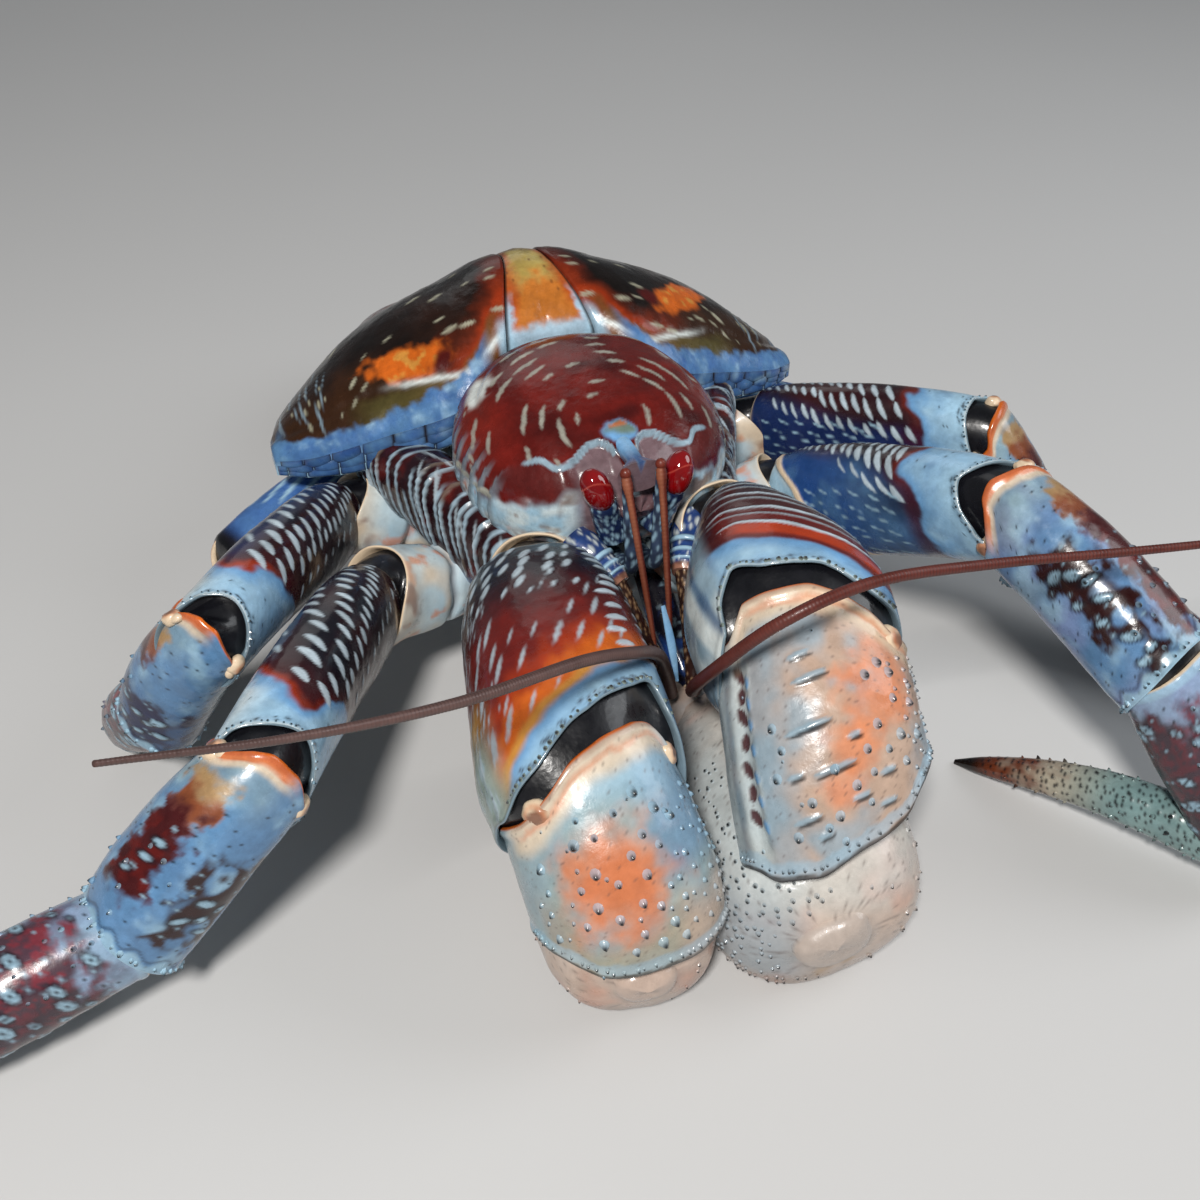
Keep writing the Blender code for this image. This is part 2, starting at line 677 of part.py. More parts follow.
def build_claw(name):
    joints = CLAW_JOINTS[name]
    girth = CLAW_GIRTH[name]
    hints = ((0, 0, 1), (0, 0, 1), (0, -1, 0.6))
    built = []
    for part, start, end, hint in zip(CLAW_PARTS, joints, joints[1:], hints):
        look = {"colour": SAND if part == "carpus" else NAVY, "roughness": 0.3}
        built.append(segment(f"{name}_{part}", start, end, claw_sections(name, part), girth, up_hint=hint,
                             bow=0.08, sides=16, **look))
        if part in CLAW_FORMS:
            limb_forms(built[-1], start, end, CLAW_FORMS[part], 1, hint)
    palm, finger = build_palm(name)
    ischium, merus, carpus = built
    carve(palm, [finger])
    carve(carpus, [palm])
    carve(merus, [carpus, palm, finger])
    carve(ischium, [merus, palm, finger])
    return ischium, merus, carpus, palm, finger


PALM_SECTIONS = ((-0.5, 0.55, 0.32, 0.5), (-0.4, 0.84, 0.56, 0.8), (-0.2, 1.02, 0.74, 0.95),
                 (0.1, 1.08, 0.82, 1.0),
                 (0.5, 1.04, 0.8, 1.0), (0.85, 0.92, 0.72, 1.0), (1.1, 0.78, 0.62, 0.9))
FINGER_SECTIONS = ((-0.3, 0.3, 0.3, 0.3), (-0.15, 0.46, 0.46, 0.46), (0.1, 0.5, 0.52, 0.5),
                   (0.5, 0.4, 0.42, 0.42),
                   (0.8, 0.26, 0.26, 0.28), (1.0, 0.1, 0.1, 0.1))


def build_palm(name):
    """The palm with its fixed finger, and the movable finger beside it."""
    start, root, fixed_tip, free_tip = (Vector(point) for point in PALM_JOINTS[name])
    palm = segment(name + "_palm", start, root, PALM_SECTIONS, PALM_GIRTH[name], up_hint=PALM_UP[name],
                   power=PALM_POWER[name], sides=16, colour=SAND, roughness=0.3)
    fixed = segment("fixed", root, fixed_tip, FINGER_SECTIONS, FINGER_GIRTH, bow=0.1, sides=10,
                    colour=SAND)
    inward = (free_tip - fixed_tip) * 0.9
    finger = segment(name + "_finger", root + inward, free_tip, FINGER_SECTIONS, FINGER_GIRTH, bow=0.1,
                     sides=10,
                     colour=SAND, roughness=0.3)
    fuse(palm, [fixed] + palm_forms(palm, start))
    return palm, finger


def palm_forms(palm, start):
    """Tubercles across the front of the palm, where the wrist leaves it bare."""
    bpy.context.view_layer.update()
    forms = []
    for height, count in PALM_ROWS:
        for i in range(count):
            across = (i + 0.5) / count * 2 - 1
            origin = Vector((start.x + across * 0.72 * PALM_WIDTH, -220, height))
            found = cast(palm, origin, Vector((0, 1, 0)))
            if found:
                forms.append(lump(*found, Vector((1, 0, 0)), *SMALL_TUBERCLE))
    return forms


EYE_AXIS = Vector((0.35, 0.25, 0.9))
STALK_FOOT = Vector((5.5, -58, 64))
ANTENNULE_ROOT = Vector((3.6, -46, 51))
ANTENNULE_FOOT = Vector((3.2, -64, 57))
ANTENNULE_ELBOW = {"right": Vector((-5.2, -65, 86)), "left": Vector((4.2, -64, 86))}
ANTENNULE_TIP = {"right": Vector((-2.4, -80, 43)), "left": Vector((2.2, -79, 42))}
ANTENNULE_RADIUS = 1.2
ANTENNA_JOINTS = {
    "right": ((-16, -50, 61), (-8, -68, 54), (1, -84, 29)),
    "left": ((19, -51, 61), (13, -66, 54), (8, -85, 29)),
}
ANTENNA_BASE_RADIUS = 5.2
ANTENNA_ARM_RADIUS = 3.4
FLAGELLUM_ROUTE = {
    "right": ((1, -84, 29), (-4, -100, 55), (-16, -116, 76), (-36, -127, 90), (-66, -143, 103),
              (-94, -154, 115),
              (-122, -170, 135)),
    "left": ((8, -85, 29), (-1, -100, 46), (-6, -117, 67), (3, -130, 90), (24, -130, 95), (52, -130, 92),
             (86, -136, 91), (122, -144, 92), (160, -154, 95)),
}
FLAGELLUM_RADII = ((0, 2.3), (0.1, 2.1), (0.6, 1.5), (1, 0.7))
FLAGELLUM_STEPS = 28


def build_eye(side, sign):
    mirror = Vector((sign, 1, 1))
    axis = EYE_AXIS * mirror
    centre = EYE_CENTRE * mirror
    eye = spindle("eye_" + side, centre, axis, EYE_HALF_LENGTH, EYE_RADIUS, colour=RED, roughness=0.08)
    stalk = tube("eyestalk_" + side, [STALK_FOOT * mirror, (STALK_FOOT * mirror + centre) / 2, centre],
                 ((0, 4.2), (0.5, 3.8), (1, 3.4)), colour=NAVY, roughness=0.4)
    carve(stalk, [eye])
    return eye, stalk


def build_antennule(side, sign):
    foot = ANTENNULE_FOOT * Vector((sign, 1, 1))
    elbow = ANTENNULE_ELBOW[side]
    rod = tube("antennule_" + side, [elbow, ANTENNULE_TIP[side]],
               ((0, ANTENNULE_RADIUS), (1, ANTENNULE_RADIUS)),
               colour=RUST, roughness=0.3)
    stem = tube("stem", [ANTENNULE_ROOT * Vector((sign, 1, 1)), foot, elbow], ((0, 2.4), (0.5, 2.0),
                                                                               (1, ANTENNULE_RADIUS)))
    knob = spindle("knob", elbow, (0, 0, 1), 1.7, 1.7, rows=5, sides=8)
    fuse(rod, [stem, knob])
    return rod


def build_antenna(side, sign):
    foot, knee, wrist = (Vector(point) for point in ANTENNA_JOINTS[side])
    base = tube("antenna_base_" + side, [foot, knee],
                ((0, ANTENNA_BASE_RADIUS), (1, ANTENNA_ARM_RADIUS * 1.15)),
                colour=SKY, roughness=0.3)
    arm = tube("arm", [knee + (foot - knee) * 0.12, wrist],
               ((0, ANTENNA_ARM_RADIUS), (1, ANTENNA_ARM_RADIUS * 0.9)))
    fuse(base, [arm])
    route = smooth_route(FLAGELLUM_ROUTE[side], FLAGELLUM_STEPS)
    half = FLAGELLUM_STEPS // 2
    middle = between(0.5, FLAGELLUM_RADII)
    inner = tube(f"antenna_{side}_1", route[: half + 1], ((0, 2.3), (0.2, 2.1), (1, middle)), sides=6,
                 colour=RUST)
    step = (route[half + 1] - route[half]).normalized() * GAP
    outer = tube(f"antenna_{side}_2", [route[half] + step] + route[half + 1 :], ((0, middle), (1, 0.6)),
                 sides=6,
                 colour=RUST)
    carve(base, [inner])
    return base, inner, outer


def build_maxilliped(side, sign):
    return segment("maxilliped_" + side, (sign * 8, -46, 42), (sign * 9, -77, 24),
                   ((0, 0.8, 0.8, 0.8), (0.5, 1, 1, 1), (0.9, 0.7, 0.7, 0.7), (1, 0.4, 0.4, 0.4)), 4.6,
                   sides=8,
                   colour=SKY, roughness=0.35)


def build():
    clear_scene()
    shield, heart, wings = build_carapace()
    dome = [heart, *wings.values()]
    thorax = body_loft("thorax", THORAX_SECTIONS, sides=16, colour=PALE, roughness=0.4)
    abdomen = build_abdomen()
    roots = []
    claws = []
    for side, sign in SIDES:
        flank = build_flank(side, sign)
        eye, stalk = build_eye(side, sign)
        rod = build_antennule(side, sign)
        base, inner, _ = build_antenna(side, sign)
        mouth = build_maxilliped(side, sign)
        claw = build_claw("claw_" + side)
        hips = []
        for leg, girth in WALKING_LEGS:
            ischium, merus, *_ = build_leg(f"{leg}_{side}", girth, sign)
            carve(merus, [wings[side]])
            carve(ischium, [wings[side]])
            hips += [ischium, merus]
        merus, _ = build_short_leg("leg4_" + side)
        hips.append(merus)
        claws.append(claw)
        carve(mouth, [stalk, rod, base])
        carve(base, [stalk, rod])
        carve(shield, [stalk, eye, rod, base])
        for piece in claw[:2]:
            carve(piece, [shield, stalk, rod, base, inner, mouth])
        carve(claw[3], [inner])
        carve(claw[4], [base, inner, mouth])
        carve(flank, [shield, wings[side], *hips, *claw[:2]])
        roots += [flank, stalk, rod, base, mouth, claw[0], *hips]
    carve(claws[1][3], claws[0][2:])
    carve(abdomen[0], [shield, *dome])
    carve(thorax, [shield, *dome, abdomen[0], *roots])
    for obj in bpy.context.scene.objects:
        merge_flats(obj)
        obj.data.shade_smooth()
        obj.data.set_sharp_from_angle(angle=math.radians(40))


build()
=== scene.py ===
"""Coconut crab, life size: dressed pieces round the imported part, in the part's own frame.

Shapes are worked out in millimetres, with the crab facing -Y and its left at +X, and then moved to the
part's origin.
"""

import math
import random

import bpy
import numpy as np
from mathutils import Matrix, Vector


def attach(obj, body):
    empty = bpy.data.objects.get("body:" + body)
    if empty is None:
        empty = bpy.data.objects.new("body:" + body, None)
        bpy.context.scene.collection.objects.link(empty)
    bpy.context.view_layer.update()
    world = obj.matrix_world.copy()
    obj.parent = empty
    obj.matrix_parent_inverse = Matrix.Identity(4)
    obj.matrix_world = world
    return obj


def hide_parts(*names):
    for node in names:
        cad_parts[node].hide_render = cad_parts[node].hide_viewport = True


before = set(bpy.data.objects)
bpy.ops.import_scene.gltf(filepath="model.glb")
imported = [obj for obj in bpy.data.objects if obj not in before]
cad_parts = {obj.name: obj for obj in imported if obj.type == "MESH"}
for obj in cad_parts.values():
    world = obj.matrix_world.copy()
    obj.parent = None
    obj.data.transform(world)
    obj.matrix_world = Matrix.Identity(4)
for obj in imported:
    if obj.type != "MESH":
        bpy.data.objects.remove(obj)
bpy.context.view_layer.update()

MM = 0.001
REST = np.array((0.0, 112.0, 0.0))  # the part's origin, in the crab's own millimetres
SIDES = (("right", -1), ("left", 1))
STEP = 0.74  # usual distance between grid points, in millimetres
FINE = 0.56  # the same on the pieces that the camera sees best
EDGE = 0.26  # half the softness of a painted mark's edge, in millimetres
LOWEST = 0.02  # the least height of any point above the floor, in millimetres


def rgb(red, green, blue):
    """A linear colour from its usual 0 to 255 values."""
    c = np.array((red, green, blue)) / 255.0
    return np.where(c <= 0.04045, c / 12.92, ((c + 0.055) / 1.055) ** 2.4)


NAVY = rgb(17, 15, 24)
BLACK_BROWN = rgb(16, 9, 6)
MAROON = rgb(58, 14, 16)
RED_BROWN = rgb(98, 22, 16)
RED_ORANGE = rgb(158, 50, 14)
ORANGE = rgb(196, 94, 24)
YELLOW = rgb(184, 138, 62)
SKY = rgb(104, 152, 196)
PALE_BLUE = rgb(154, 188, 208)
STEEL = rgb(74, 106, 142)
DEEP_BLUE = rgb(28, 62, 124)
FLECK = rgb(178, 194, 204)
CREAM = rgb(214, 192, 164)
WHITE = rgb(206, 214, 212)
GREY_GREEN = rgb(140, 156, 148)
BLUE_GREY = rgb(134, 158, 172)
SAND = rgb(182, 156, 138)
PEACH = rgb(202, 124, 82)
PINK = rgb(190, 136, 114)
INK = rgb(10, 10, 14)
TURQUOISE = rgb(104, 132, 134)
RUST = rgb(100, 46, 24)
MAUVE = rgb(96, 72, 76)
LILAC = rgb(128, 138, 180)


def step(low, high, x):
    """0 at low and 1 at high, smooth between; low may be the greater."""
    t = np.clip((x - low) / (high - low), 0, 1)
    return t * t * (3 - 2 * t)


def band(low, high, soft, x):
    """1 between low and high, with soft edges."""
    return step(low - soft, low + soft, x) * step(high + soft, high - soft, x)


def curve(x, pairs):
    """A smooth curve through (place, value) pairs that never overshoots them."""
    xs = np.array([p[0] for p in pairs], float)
    ys = np.array([p[1] for p in pairs], float)
    h = np.diff(xs)
    d = np.diff(ys) / h
    m = np.zeros(len(xs))
    m[0], m[-1] = d[0], d[-1]
    for i in range(1, len(xs) - 1):
        if d[i - 1] * d[i] > 0:
            m[i] = 2 * d[i - 1] * d[i] / (d[i - 1] + d[i])
    i = np.clip(np.searchsorted(xs, x, side="right") - 1, 0, len(xs) - 2)
    t = np.clip((x - xs[i]) / h[i], 0, 1)
    a = 2 * t**3 - 3 * t**2 + 1
    b = t**3 - 2 * t**2 + t
    return a * ys[i] + b * h[i] * m[i] + (1 - a) * ys[i + 1] + (t**3 - t**2) * h[i] * m[i + 1]


def round_curve(angle, pairs):
    """A smooth closed curve through (angle, value) pairs, in degrees."""
    lap = [(a - 360, v) for a, v in pairs] + list(pairs) + [(a + 360, v) for a, v in pairs]
    return curve(np.mod(angle, 360), lap)


def lattice(ix, iy, iz, seed):
    """A fixed number from 0 to 1 for each whole-number place."""
    h = (ix * 73856093) ^ (iy * 19349663) ^ (iz * 83492791) ^ (seed * 961748927)
    h = (h ^ (h >> 13)) * 1274126177
    h = h ^ (h >> 16)
    return (h & 0xFFFF) / 65535.0


def noise(points, size, seed, octaves=2):
    """Smooth noise from 0 to 1 at points in millimetres."""
    total = np.zeros(points.shape[:-1])
    weight = 0
    for o in range(octaves):
        q = points * (2**o / size) + 31.7 * seed
        i = np.floor(q).astype(np.int64)
        f = q - i
        f = f * f * (3 - 2 * f)
        found = 0
        for dx in (0, 1):
            for dy in (0, 1):
                for dz in (0, 1):
                    w = (f[..., 0] if dx else 1 - f[..., 0]) * (f[..., 1] if dy else 1 - f[..., 1])
                    w = w * (f[..., 2] if dz else 1 - f[..., 2])
                    found = found + w * lattice(i[..., 0] + dx, i[..., 1] + dy, i[..., 2] + dz, seed + 7 * o)
        total += found * 0.5**o
        weight += 0.5**o
    return total / weight


def unit(v):
    """Vectors of length 1."""
    return v / np.maximum(np.linalg.norm(v, axis=-1, keepdims=True), 1e-12)


def bent(value, power):
    """A sine or cosine bent so that a circle becomes a rounded box."""
    return np.sign(value) * np.abs(value) ** (2 / power)


class Skin:
    """A grid of points in millimetres, rows by columns, with a colour and a relief at each point."""

    def __init__(self, points, wrap=True, colour=WHITE):
        self.p = points
        self.wrap = wrap
        self.rows, self.cols = points.shape[:2]
        self.colour = np.tile(colour, (self.rows, self.cols, 1)).astype(float)
        self.relief = np.zeros((self.rows, self.cols))
        self.n = self.normals(points)

    def normals(self, points):
        along = np.gradient(points, axis=0)
        if self.wrap:
            around = np.roll(points, -1, axis=1) - np.roll(points, 1, axis=1)
            out = points - points.mean(axis=1, keepdims=True)
        else:
            around = np.gradient(points, axis=1)
            out = np.zeros_like(points)
            out[..., 2] = 1
        n = unit(np.cross(along, around))
        if (n * out).sum() < 0:
            n = -n
        return n

    def tint(self, mask, colour):
        """Paints a colour where the mask is high."""
        mask = np.clip(mask, 0, 1)[..., None]
        self.colour = self.colour * (1 - mask) + np.asarray(colour) * mask

    def shade(self, amount, size, seed):
        """Uneven lighter and darker patches over the whole skin."""
        blot = noise(self.p, size, seed, 3) - 0.5
        self.colour = self.colour * (1 + amount * 2 * blot)[..., None]

    def at(self, i, j):
        """The nearest grid place."""
        i = int(round(min(max(i, 0), self.rows - 1)))
        j = int(round(j)) % self.cols if self.wrap else int(round(min(max(j, 0), self.cols - 1)))
        return i, j

    def window(self, i, j, reach):
        """The part of the grid within reach of a place."""
        k = min(i, self.rows - 2)
        l = min(j, self.cols - 2)
        du = max(np.linalg.norm(self.p[k + 1, j] - self.p[k, j]), 0.05)
        dv = max(np.linalg.norm(self.p[i, l + 1] - self.p[i, l]), 0.05)
        ni = int(min(reach / du + 2, self.rows))
        nj = int(min(reach / dv + 2, self.cols // 2 - 1))
        rows = np.arange(max(i - ni, 0), min(i + ni + 1, self.rows))
        cols = np.arange(j - nj, j + nj + 1)
        cols = cols % self.cols if self.wrap else cols[(cols >= 0) & (cols < self.cols)]
        return np.ix_(rows, cols)

    def stamp(self, i, j, direction, half, wide, colour, lift, strength, halo=None):
        """An oval mark, half long and wide across, laid along a direction."""
        i, j = self.at(i, j)
        n = self.n[i, j]
        d = direction - n * float(direction @ n)
        size = np.linalg.norm(d)
        if size < 1e-6:
            return
        d = d / size
        w = np.cross(n, d)
        win = self.window(i, j, max(half, wide) * 1.5 + 0.8)
        q = self.p[win] - self.p[i, j]
        gap = (np.hypot(q @ d / half, q @ w / wide) - 1) * min(half, wide)
        if halo is not None:
            m = (step(0.9, 0.2, gap) * strength * 0.85)[..., None]
            self.colour[win] = self.colour[win] * (1 - m) + halo * m
        m = step(EDGE, -EDGE, gap) * strength
        self.colour[win] = self.colour[win] * (1 - m[..., None]) + colour * m[..., None]
        self.relief[win] += lift * m

    def spots(self, pitch_i, pitch_j, stagger, jitter, seed):
        """Places on the grid at even distances, in staggered rows."""
        rng = random.Random(seed)
        mid = self.p[:, self.cols // 2]
        arc = np.concatenate([[0], np.cumsum(np.linalg.norm(np.diff(mid, axis=0), axis=1))])
        found = []
        k = 0
        s = pitch_i * 0.5
        while s < arc[-1]:
            i = float(np.interp(s, arc, np.arange(self.rows)))
            ring = self.p[int(i)]
            girth = np.linalg.norm(np.diff(ring, axis=0), axis=1).sum()
            count = max(int(round(girth / pitch_j)), 1)
            for c in range(count):
                j = (c + (k * stagger) % 1 + rng.uniform(-jitter, jitter)) / count * self.cols
                i_near = i + rng.uniform(-jitter, jitter) * pitch_i / max(arc[-1], 1) * self.rows
                found.append((i_near, j, rng.random()))
            s += pitch_i
            k += 1
        return found

    def settle(self):
        """Moves the points by the relief and works the normals out again."""
        self.p = self.p + self.n * self.relief[..., None]
        self.p[..., 2] = np.maximum(self.p[..., 2], LOWEST)
        self.n = self.normals(self.p)


class Limb(Skin):
    """A length of limb between two joint centres, cut at each end by a curve round it."""

    def __init__(self, start, end, sections, girth, hint=(0, 0, 1), sign=1, bow=0.0, starts=((0, 0),),
                 ends=((0, 1),), pitch=STEP, power=2.3, wide=None, colour=WHITE):
        self.start, self.end = np.array(start, float), np.array(end, float)
        along = self.end - self.start
        self.length = np.linalg.norm(along)
        self.along = along / self.length
        self.across = unit(np.cross(self.along, np.array(hint, float)))
        self.up = np.cross(self.across, self.along)
        self.across = self.across * sign
        self.sections, self.girth, self.bow, self.power = sections, girth, bow, power
        self.wide = wide
        self.starts, self.ends = starts, ends
        cols = max(int(2 * math.pi * girth * 0.95 / pitch), 24)
        t0 = min(v for _, v in starts)
        t1 = max(v for _, v in ends)
        rows = max(int(self.length * (t1 - t0) / pitch), 8)
        self.angle = -90 + 360 * np.arange(cols) / cols
        self.low = round_curve(self.angle, starts)
        self.high = round_curve(self.angle, ends)
        u = np.linspace(0, 1, rows)[:, None]
        self.u = u
        t = self.low * (1 - u) + self.high * u
        points = self.place(t, np.broadcast_to(self.angle, t.shape))
        super().__init__(points, True, colour)
        q = self.p - self.start
        self.t = (q @ self.along) / self.length
        self.h = np.degrees(np.arctan2(q @ self.up, q @ self.across))
        self.from_start = self.u * (self.high - self.low) * self.length
        self.to_end = (1 - self.u) * (self.high - self.low) * self.length

    def place(self, t, angle):
        """Points of the plain surface at places along (0 to 1) and angles round (0 front, 90 top)."""
        a = np.radians(angle)
        columns = [[(s[0], s[k]) for s in self.sections] for k in (1, 2, 3)]
        half, rise, drop = (curve(t, c) * self.girth for c in columns)
        if self.wide is not None:
            half = half * curve(np.clip(t, 0, 1), self.wide)
        c, s = bent(np.cos(a), self.power), bent(np.sin(a), self.power)
        arch = self.bow * self.girth * np.sin(np.pi * np.clip(t, 0, 1))
        height = np.where(s > 0, rise, drop) * s + arch
        out = self.start + (self.end - self.start) * t[..., None]
        out = out + self.across * (half * c)[..., None] + self.up * height[..., None]
        out[..., 2] = np.maximum(out[..., 2], LOWEST)
        return out

    def turn(self, angle):
        """Degrees from an angle round the limb, the short way."""
        return (self.h - angle + 180) % 360 - 180

    def spot(self, t, angle):
        """Grid place nearest to a place along and an angle round, both as picked off the straight axis."""
        score = ((self.t - t) * self.length) ** 2 + (np.radians(self.turn(angle)) * self.girth) ** 2
        k = int(np.argmin(score))
        return k // self.cols, k % self.cols

    def stroke(self, path, wide, colour, lift, strength=0.95):
        """A long mark through given (place, angle) points, widest in its middle."""
        middle = path[len(path) // 2][1]
        x = self.t * self.length
        y = np.radians(self.turn(middle)) * self.girth
        spots = [np.array((t * self.length, math.radians(a - middle) * self.girth)) for t, a in path]
        gap = np.full(x.shape, 1e9)
        total = len(spots) - 1
        for k, (a, b) in enumerate(zip(spots, spots[1:])):
            d = b - a
            s = np.clip(((x - a[0]) * d[0] + (y - a[1]) * d[1]) / max(float(d @ d), 1e-9), 0, 1)
            away = np.hypot(x - a[0] - s * d[0], y - a[1] - s * d[1])
            body = np.sqrt(np.clip(1 - (2 * (k + s) / total - 1) ** 2, 0.02, 1))
            gap = np.minimum(gap, away - wide * body)
        m = step(EDGE, -EDGE, gap) * strength
        self.tint(m, colour)
        self.relief += lift * m

    def comb(self, line, span, gaps, halves, wides, tilt, seed, lift, keep=None, colour=FLECK, offset=0.0,
             strength=0.92):
        """A row of marks along a given line, growing to the last one; tilt 0 lies round the limb."""
        rng = random.Random(seed)
        round_share, long_share = math.cos(math.radians(tilt)), math.sin(math.radians(tilt))
        t = span[0]
        while t < span[1]:
            share = (t - span[0]) / (span[1] - span[0])
            half, wide, gap = (v[0] + (v[1] - v[0]) * share for v in (halves, wides, gaps))
            half, wide = half * rng.uniform(0.8, 1.2), wide * rng.uniform(0.85, 1.15)
            middle = float(curve(np.array(t), line)) + offset + rng.uniform(-3, 3)
            turned = math.degrees(half * round_share / self.girth)
            shift = half * long_share / self.length
            path = [(t + shift, middle - turned), (t - shift * 0.25, middle), (t - shift, middle + turned)]
            i, j = self.spot(t, middle)
            if keep is None or keep[i, j] > 0.5:
                self.stroke(path, wide, colour * rng.uniform(0.85, 1.1), lift, strength)
            t += gap * rng.uniform(0.85, 1.15) / self.length


def cap_rings(skin, end, steps, colour):
    """Rings that turn a grid's end inwards: steps are (millimetres on, millimetres in)."""
    ring = skin.p[-1] if end else skin.p[0]
    centre = ring.mean(axis=0)
    axis = unit(centre - (skin.p[-6] if end else skin.p[5]).mean(axis=0))
    inward = centre - ring
    inward = inward - (inward @ axis)[:, None] * axis
    reach = np.linalg.norm(inward, axis=1, keepdims=True)
    inward = inward / np.maximum(reach, 1e-9)
    rings = [ring + axis * on + inward * np.minimum(into, reach * 0.9) for on, into in steps]
    colours = [np.tile(colour, (len(ring), 1))] * len(steps)
    return rings, colours


# Ways to turn an end in, as steps of (millimetres on, millimetres in)
LIP = ((0.25, 0.1), (0.4, 0.4), (0.2, 0.75), (-1.5, 1.3), (-5.0, 2.4))
ROUND_END = ((1.2, 0.6), (2.2, 1.8), (3.0, 3.6), (3.4, 6.0))
NECK = ((0.5, 0.25), (0.7, 0.9), (0.3, 1.5), (-2.0, 2.2), (-4.0, 4.0))
CLOSED_END = ((1.0, 0.4), (2.2, 1.6), (3.2, 3.4), (3.8, 5.6), (4.0, 8.0))


def shell(skin, start_cap=NECK, end_cap=LIP, start_colour=CREAM, end_colour=CREAM):
    """Vertices, faces and colours of a closed tube from a grid with turned-in ends."""
    rows, colours = list(skin.p), list(skin.colour)
    if start_cap:
        rings, tints = cap_rings(skin, False, start_cap, start_colour)
        rows = rings[::-1] + rows
        colours = tints[::-1] + colours
    if end_cap:
        rings, tints = cap_rings(skin, True, end_cap, end_colour)
        rows = rows + rings
        colours = colours + tints
    return tube_mesh(np.array(rows), np.array(colours))


def tube_mesh(rows, colours):
    """A closed tube over rings, with a middle point at each end."""
    m, n = rows.shape[:2]
    points = np.concatenate([rows.reshape(-1, 3), rows[0].mean(0)[None], rows[-1].mean(0)[None]])
    paint = np.concatenate([colours.reshape(-1, 3), colours[0].mean(0)[None], colours[-1].mean(0)[None]])
    i = np.arange(m - 1)[:, None] * n
    j = np.arange(n)[None]
    k = (j + 1) % n
    quads = np.stack([i + j, i + k, i + n + k, i + n + j], -1).reshape(-1, 4)
    j, k = j.ravel(), k.ravel()
    tris = np.concatenate([
        np.stack([k, j, np.full(n, m * n)], -1),
        np.stack([(m - 1) * n + j, (m - 1) * n + k, np.full(n, m * n + 1)], -1),
    ])
    return facing_out(points, quads, tris, paint)


def facing_out(points, quads, tris, paint):
    """The same mesh with its faces turned outwards."""
    centre = points.mean(0)
    a, b, c = points[quads[:, 0]] - centre, points[quads[:, 1]] - centre, points[quads[:, 2]] - centre
    d = points[quads[:, 3]] - centre
    volume = (a * np.cross(b, c)).sum() + (a * np.cross(c, d)).sum()
    if volume < 0:
        quads, tris = quads[:, ::-1], tris[:, ::-1]
    return points, quads, tris, paint


def sheet_mesh(top, under, colours):
    """A closed plate from two grids of the same size."""
    m, n = top.shape[:2]
    points = np.concatenate([top.reshape(-1, 3), under.reshape(-1, 3)])
    paint = np.concatenate([colours.reshape(-1, 3), np.tile(PALE_BLUE, (m * n, 1))])
    i = np.arange(m - 1)[:, None] * n
    j = np.arange(n - 1)[None]
    up = np.stack([i + j, i + j + 1, i + n + j + 1, i + n + j], -1).reshape(-1, 4)
    down = up[:, ::-1] + m * n
    edge = list(range(n)) + [r * n + n - 1 for r in range(1, m)]
    edge += [(m - 1) * n + k for k in range(n - 2, -1, -1)] + [r * n for r in range(m - 2, 0, -1)]
    edge = np.array(edge)
    after = np.roll(edge, -1)
    side = np.stack([after, edge, edge + m * n, after + m * n], -1)
    quads = np.concatenate([up, down, side])
    return facing_out(points, quads, np.zeros((0, 3), int), paint)


def lozenge(centre, axes, radii, colour, rings, sides, tint=None, rough=0.0, seed=1):
    """An oval solid along three axes."""
    a = np.pi * (np.arange(rings) + 0.5) / rings
    b = 2 * np.pi * np.arange(sides) / sides
    x = -np.cos(a)[:, None] * np.ones(sides)
    y = np.sin(a)[:, None] * np.cos(b)
    z = np.sin(a)[:, None] * np.sin(b)
    p = sum(q[..., None] * axis * radius for q, axis, radius in zip((x, y, z), axes, radii))
    if rough:
        p = p * (1 + rough * (noise(p + centre, 1.6, seed) - 0.5))[..., None]
    c = np.tile(colour, (rings, sides, 1)).astype(float)
    if tint is not None:
        c = tint(p, c)
    return tube_mesh(p + centre, c)


def thorn(point, normal, lean, radius, height, base, tip, sides=9):
    """A small pointed knob that leans one way, dark at its tip, with painted shadow on the side it leans to.
    """
    lean = unit(lean - normal * float(lean @ normal))
    across = np.cross(normal, lean)
    rings, colours = [], []
    for wide, up, shade in ((1.25, -0.25, 0), (1.0, 0.12, 0), (0.72, 0.5, 0.15), (0.42, 0.8, 0.75),
                            (0.16, 0.98, 1)):
        centre = point + normal * height * up + lean * height * 0.45 * max(up, 0) ** 1.5
        b = 2 * np.pi * np.arange(sides) / sides
        rings.append(centre + radius * wide
                     * (np.cos(b)[:, None] * lean * 1.15 + np.sin(b)[:, None] * across))
        # Painted shadow: the upper rings are darkened on the side the knob leans to.
        dark = np.clip(shade + 0.55 * (np.cos(b) > 0.2) * (up > 0.3), 0, 1)[:, None]
        colours.append(base * (1 - dark) + tip * dark)
    return tube_mesh(np.array(rings), np.array(colours))


